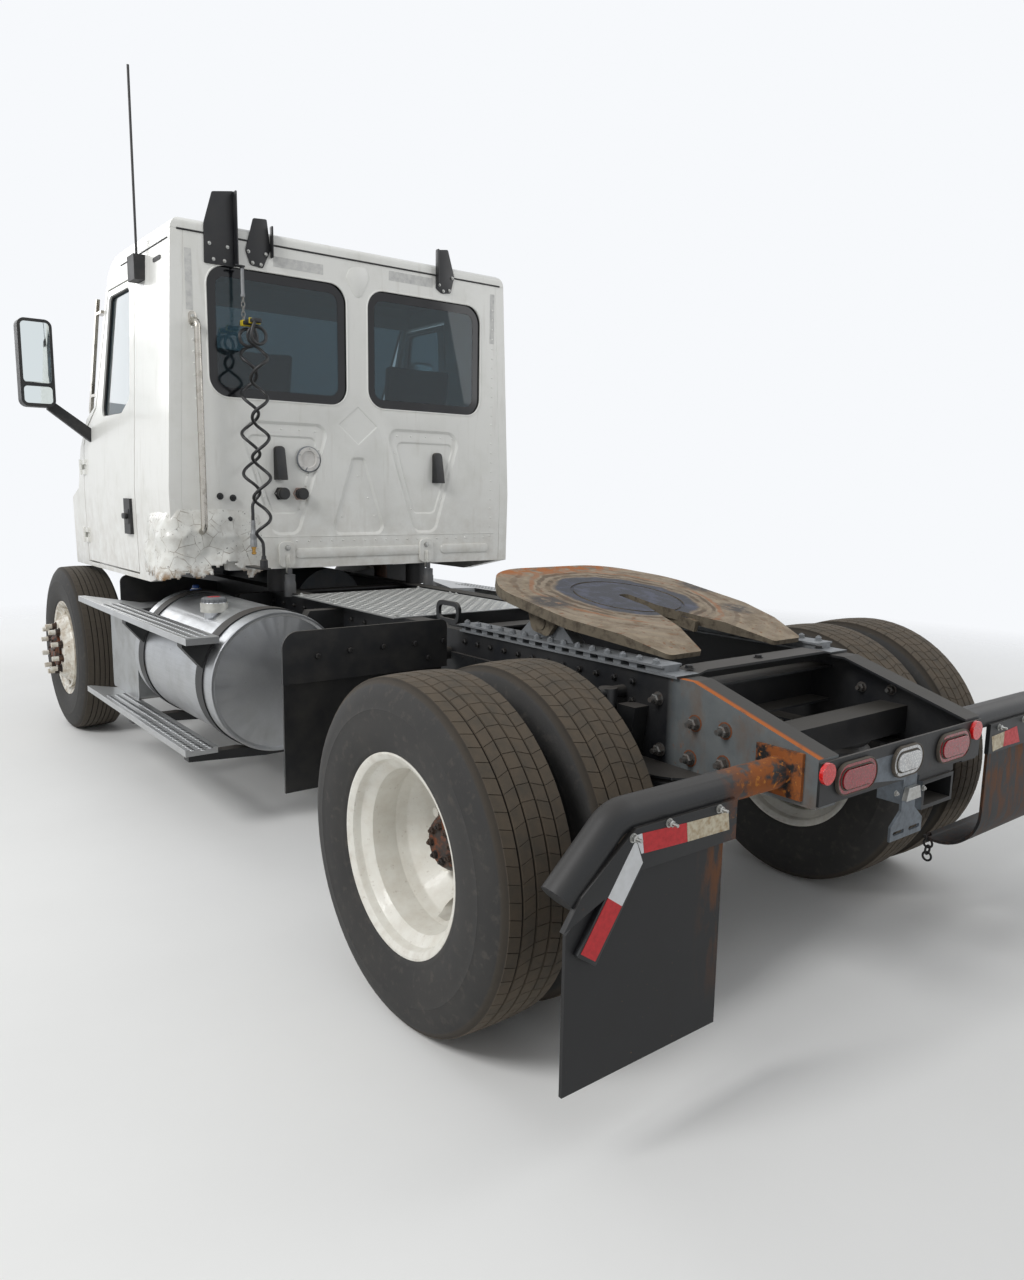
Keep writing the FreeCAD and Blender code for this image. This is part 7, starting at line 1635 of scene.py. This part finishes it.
def fold_height(spot):
    """Folds as the ridges between the cells of two noises."""
    coarse = noise.voronoi(spot * 7.5 + Vector((3.1, 0.4, 7.7)))[0]
    fine = noise.voronoi(spot * 17.0 + Vector((1.3, 5.2, 0.6)))[0]
    soft = noise.noise(spot * 4.0)
    return 0.95 * coarse[0] + 0.20 * fine[0] + 0.40 * soft

# %% [markdown]
# The grid's points are moved one by one, which no operator does: out by the folds' height, less towards the
# grid's borders, where the skin sinks into the sound wall. Faces under a ragged line and in the torn hole are
# deleted, and a Solidify modifier gives the sheet its 1.6 mm.

# %% A grid of folds wrapped round the corner
SHEET = 0.0016
folds = bmesh.new()
bmesh.ops.create_grid(folds, x_segments=112, y_segments=46, size=0.5)
for vert in folds.verts:
    run = (vert.co.x + 0.5) * WHOLE_RUN
    z = FOLD_LOW + (vert.co.y + 0.5) * (FOLD_TOP - FOLD_LOW)
    place, out = on_corner(run, z)
    fade_up = min(1.0, (FOLD_TOP - z) / 0.14)
    fade_in = min(1.0, run / 0.16)
    fade_side = min(1.0, (WHOLE_RUN - run) / 0.14)
    strength = fade_up * fade_in * fade_side
    lift = 0.036 * strength * (0.20 + fold_height(place))
    sunk = 0.0018 + 0.016 * (1.0 - min(1.0, strength * 2.5)) * out.x
    vert.co = place + out * (lift - sunk) - Vector((0, 0, 0.010 * strength * noise.noise(place * 14.0)))
gone = []
for face in folds.faces:
    spot = face.calc_center_median()
    ragged = 0.030 * noise.noise(spot * 17.0) + 0.012 * noise.noise(spot * 60.0)
    in_hole = 0.690 < spot.x + ragged < 0.835 and spot.y > WALL_Y - 0.03 and spot.z < 1.168 + ragged
    below = spot.z < 1.112 + 1.3 * ragged
    if in_hole or below:
        gone.append(face)
bmesh.ops.delete(folds, geom=gone, context="FACES")
bmesh.ops.recalc_face_normals(folds, faces=folds.faces)
crushed = show("crushed_corner_skin", mesh_of(folds, "crushed_corner_skin", 25), "chassis", "crumpled")
sheet = crushed.modifiers.new("sheet", "SOLIDIFY")
sheet.thickness = SHEET
sheet.offset = -1.0
print("crushed skin faces", len(crushed.data.polygons))

# %% [markdown]
# ## Cab sides
# A door's window sits in a rubber seal. Its line is the pane's own outline, so it is read from the frame's
# pane instead of being measured again. The handle is a pull in a moulded cup, and a mirror has a tall flat
# pane over a low wide-angle one. Left and right are the same but for a sign.

# %% Door seals, handles, mirror panes and markers
MIRROR_GLASS_Y = -1.6448
ROOF_SEAM_Z = 2.700
for side_name, side in SIDES:
    door_body = frame["nodes"][f"door_{side_name}"]["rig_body"]
    mirror_body = frame["nodes"][f"mirror_{side_name}"]["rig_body"]
    pane = merged_copy(f"door_glass_{side_name}", 1.0)
    outer_face = max((face for face in pane.faces if face.normal.x * side > 0.5),
                     key=lambda face: face.calc_area())
    line = [vert.co + Vector((side * 0.004, 0, 0)) for vert in outer_face.verts]
    pane.free()
    fitted(f"door_window_seal_{side_name}", "rubber", [bead(line, 0.0065, closed=True)], body=door_body)
    fitted(f"side_roof_seam_{side_name}", "rubber", [
        bead([(side * (cab_side_x(ROOF_SEAM_Z) + 0.0005), y, ROOF_SEAM_Z) for y in (-0.300, -1.05)], 0.0035)])
    fitted(f"door_handle_{side_name}", "plastic", [
        board(oblong(-0.972, -0.888, 1.345, 1.425), side_face(side * 1.0435), (side * 0.0035, 0, 0),
              0.012, 0.001),
        board(oblong(-0.962, -0.898, 1.372, 1.402), side_face(side * 1.0465), (side * 0.018, 0, 0),
              0.012, 0.004)], body=door_body)
    repaint(skin[f"door_{side_name}"], "plastic", lambda spot: abs(spot.x) > 1.030 and -0.99 < spot.y < -0.87
            and 1.285 < spot.z < 1.485)
    near, far = sorted((side * 1.221, side * 1.369))
    fitted(f"mirror_pane_{side_name}", "mirror", [
        board(oblong(near, far, 2.118, 2.452), rear_face(MIRROR_GLASS_Y), (0, 0.0015, 0), 0.022, 0.0006)],
        body=mirror_body)
    fitted(f"mirror_wide_pane_{side_name}", "mirror", [
        board(oblong(near, far, 2.004, 2.098), rear_face(MIRROR_GLASS_Y), (0, 0.0015, 0), 0.020)],
        body=mirror_body)
    fitted(f"side_marker_{side_name}", "plastic", [
        board(oblong(-0.505, -0.395, 2.62, 2.64), side_face(side * cab_side_x(2.63)),
              (side * 0.004, 0, 0), 0.008)])

# %% [markdown]
# The windscreen sits in a rubber seal, and its wipers park at its foot. The seal again follows the pane's
# outline. The wipers are set out from the pane's own outward and upward directions, so they lie on the
# glass however steep it is.

# %% Windscreen seal and wipers
screen = merged_copy("cab_glass", 1.0)
pane_front = max((face for face in screen.faces
                  if face.normal.y < -0.3 and face.calc_center_median().y < -1.0),
                 key=lambda face: face.calc_area())
screen_out = pane_front.normal.copy()
screen_line = [vert.co + 0.003 * screen_out for vert in pane_front.verts]
screen_low = min(vert.co.z for vert in pane_front.verts)
screen_foot = [vert.co.copy() for vert in pane_front.verts if vert.co.z < screen_low + 0.05]
screen.free()
fitted("windscreen_seal", "rubber", [bead(screen_line, 0.010, closed=True)])
screen_up = Vector((0, screen_out.z, -screen_out.y))
foot = sum(screen_foot, Vector()) / len(screen_foot)
wiper_parts = []
for x in (-0.10, 0.62):
    pivot = Vector((x, foot.y, foot.z)) + 0.016 * screen_out
    tip = pivot + Vector((-0.40, 0, 0)) + 0.055 * screen_up
    wiper_parts.append(bead([pivot, pivot.lerp(tip, 0.5) + 0.012 * screen_out, tip], 0.006))
    blade_start = tip + Vector((-0.26, 0, 0)) + 0.010 * screen_up
    blade_end = tip + Vector((0.26, 0, 0)) - 0.010 * screen_up
    wiper_parts.append(bead([blade_start, tip + 0.004 * screen_out, blade_end], 0.0065))
fitted("windscreen_wipers", "rubber", wiper_parts)
print("windscreen leans", round(math.degrees(math.asin(screen_out.z)), 1), "degrees")

# %% [markdown]
# ## Seats
# Each seat is a sprung pedestal with a foam cushion and backrest in cloth. A box with rounded edges looks
# like a block, so the pads are blown up a little as cloth under pressure, which pulls the sides in between
# the corners, and the piping and sewn channels are laid on the finished surface.

# %% Foam pads
SEAT_LEAN = 0.15
PAD_VOXEL = 0.008
SEATS = (("left", 0.5), ("right", -0.5))


def settle(thing):
    """Turn a piece's modifiers into its mesh."""
    deps = bpy.context.evaluated_depsgraph_get()
    data = bpy.data.meshes.new_from_object(thing.evaluated_get(deps))
    thing.modifiers.clear()
    thing.data = data
    data.shade_smooth()


def foam_block(name, low, high, lean):
    """A rounded block, remeshed evenly, ready to be blown up."""
    bm = bmesh.new()
    bmesh.ops.create_cube(bm, size=1.0)
    bmesh.ops.scale(bm, vec=Vector(high) - Vector(low), verts=bm.verts)
    bmesh.ops.translate(bm, vec=(Vector(high) + Vector(low)) / 2, verts=bm.verts)
    bmesh.ops.bevel(bm, geom=bm.edges[:], offset=0.028, segments=3, profile=0.5, affect="EDGES", material=-1)
    for vert in bm.verts:
        vert.co.y += lean * (vert.co.z - low[2])
    thing = show(name, mesh_of(bm, name, 60), "chassis", "cloth")
    even = thing.modifiers.new("even", "REMESH")
    even.mode = "VOXEL"
    even.voxel_size = PAD_VOXEL
    settle(thing)
    return thing


pads = []
for seat_name, cx in SEATS:
    cushion = foam_block(f"seat_cushion_{seat_name}", (cx - 0.235, -0.990, 1.478),
                         (cx + 0.235, -0.560, 1.566), 0.0)
    rest = foam_block(f"seat_backrest_{seat_name}", (cx - 0.222, -0.584, 1.615), (cx + 0.222, -0.512, 2.262),
                      SEAT_LEAN)
    pads += [cushion, rest]
print("pads have", [len(thing.data.vertices) for thing in pads], "corners")

# %% [markdown]
# The pads are blown up by cloth under pressure for twenty frames with gravity off, and the result is kept as
# their mesh. No point may move further than foam would let it, so moves are cut at 22 mm.

# %% Blowing up the pads
PRESSURE = 4.0
LAST_FRAME = 20
MOST_PUFF = 0.022
before = {}
for thing in pads:
    before[thing.name] = [vert.co.copy() for vert in thing.data.vertices]
    cloth = thing.modifiers.new("cloth", "CLOTH")
    cloth.settings.use_pressure = True
    cloth.settings.uniform_pressure_force = PRESSURE
    cloth.settings.effector_weights.gravity = 0.0
    cloth.settings.quality = 4
    cloth.point_cache.frame_start = 1
    cloth.point_cache.frame_end = LAST_FRAME
for step in range(1, LAST_FRAME + 1):
    bpy.context.scene.frame_set(step)
for thing in pads:
    settle(thing)
    for vert, start in zip(thing.data.vertices, before[thing.name]):
        move = vert.co - start
        if move.length > MOST_PUFF:
            vert.co = start + move * (MOST_PUFF / move.length)
    thing.data.update()
bpy.context.scene.frame_set(1)
for thing in pads:
    print(thing.name, "is", [round(side, 3) for side in thing.dimensions], "m")

# %% [markdown]
# Piping is sewn into the seams round a pad, and two channels run down its middle. They lie on the surface,
# which the simulation has just moved, so lines are cast at the pad from outside and a thin bead is laid
# through the places where they meet it.

# %% Piping and sewn channels
RING_POINTS = 56
PIPING = 0.0028
CHANNEL = 0.0018
BACK_MIDDLE = Vector((0, -0.548 + SEAT_LEAN * (1.94 - 1.615), 1.94))


def surface_line(tree, starts, direction_of):
    """The points where lines towards a pad meet its surface."""
    hits = [tree.ray_cast(start, direction_of(start))[0] for start in starts]
    return [hit for hit in hits if hit is not None]


def tree_of(thing):
    """A piece's surface, ready for lines to be cast at it."""
    bm = bmesh.new()
    bm.from_mesh(thing.data)
    tree = BVHTree.FromBMesh(bm)
    bm.free()
    return tree


def seat_seams(seat_name, cx):
    """The piping round one seat's pads and the channels down their middle."""
    cushion_tree = tree_of(bpy.data.objects[f"seat_cushion_{seat_name}"])
    back_tree = tree_of(bpy.data.objects[f"seat_backrest_{seat_name}"])
    turns = [math.tau * index / RING_POINTS for index in range(RING_POINTS)]
    seams = []
    for z in (1.552, 1.492):
        middle = Vector((cx, -0.775, z))
        ring = [middle + 0.6 * Vector((math.cos(turn_by), math.sin(turn_by), 0)) for turn_by in turns]
        line = surface_line(cushion_tree, ring, lambda spot: (middle - spot).normalized())
        seams.append(bead(line, PIPING, closed=True))
    for shift in (-0.115, 0.115):
        starts = [Vector((cx + shift, y, 1.70)) for y in steps_between(-0.955, -0.595, 16)]
        seams.append(bead(surface_line(cushion_tree, starts, lambda spot: Vector((0, 0, -1))), CHANNEL))
        starts = [Vector((cx + shift, -1.2, z)) for z in steps_between(1.66, 2.20, 20)]
        seams.append(bead(surface_line(back_tree, starts, lambda spot: Vector((0, 1, 0))), CHANNEL))
    for face_shift in (-0.020, 0.022):
        middle = BACK_MIDDLE + Vector((cx, face_shift, 0))
        ring = [middle + 0.9 * Vector((math.cos(turn_by), SEAT_LEAN * math.sin(turn_by), math.sin(turn_by)))
                for turn_by in turns]
        line = surface_line(back_tree, ring, lambda spot: (middle - spot).normalized())
        seams.append(bead(line, PIPING, closed=True))
    return seams

# %% [markdown]
# Under each cushion stands a sprung pedestal in a moulded skirt, three boards on top of each other, and two
# posts join cushion and backrest. The left one stands for the frame's seats.

# %% Seams and pedestals
for seat_name, cx in SEATS:
    piping = fitted(f"seat_piping_{seat_name}", "piping", seat_seams(seat_name, cx), 60)
    print(piping.name, "has", len(piping.data.polygons), "faces")
    pedestal = fitted(f"seat_pedestal_{seat_name}", "plastic", [
        board(oblong(cx - 0.200, cx + 0.200, -0.935, -0.555), level(1.1605), (0, 0, 0.060), 0.03, 0.004),
        board(oblong(cx - 0.170, cx + 0.170, -0.905, -0.585), level(1.2205), (0, 0, 0.150), 0.03, 0.004),
        board(oblong(cx - 0.215, cx + 0.215, -0.960, -0.560), level(1.3705), (0, 0, 0.100), 0.04, 0.008),
        bead([(cx - 0.215, -0.545, 1.46), (cx - 0.215, -0.520, 1.64)], 0.014),
        bead([(cx + 0.215, -0.545, 1.46), (cx + 0.215, -0.520, 1.64)], 0.014)])
    if seat_name == "left":
        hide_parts("seats")
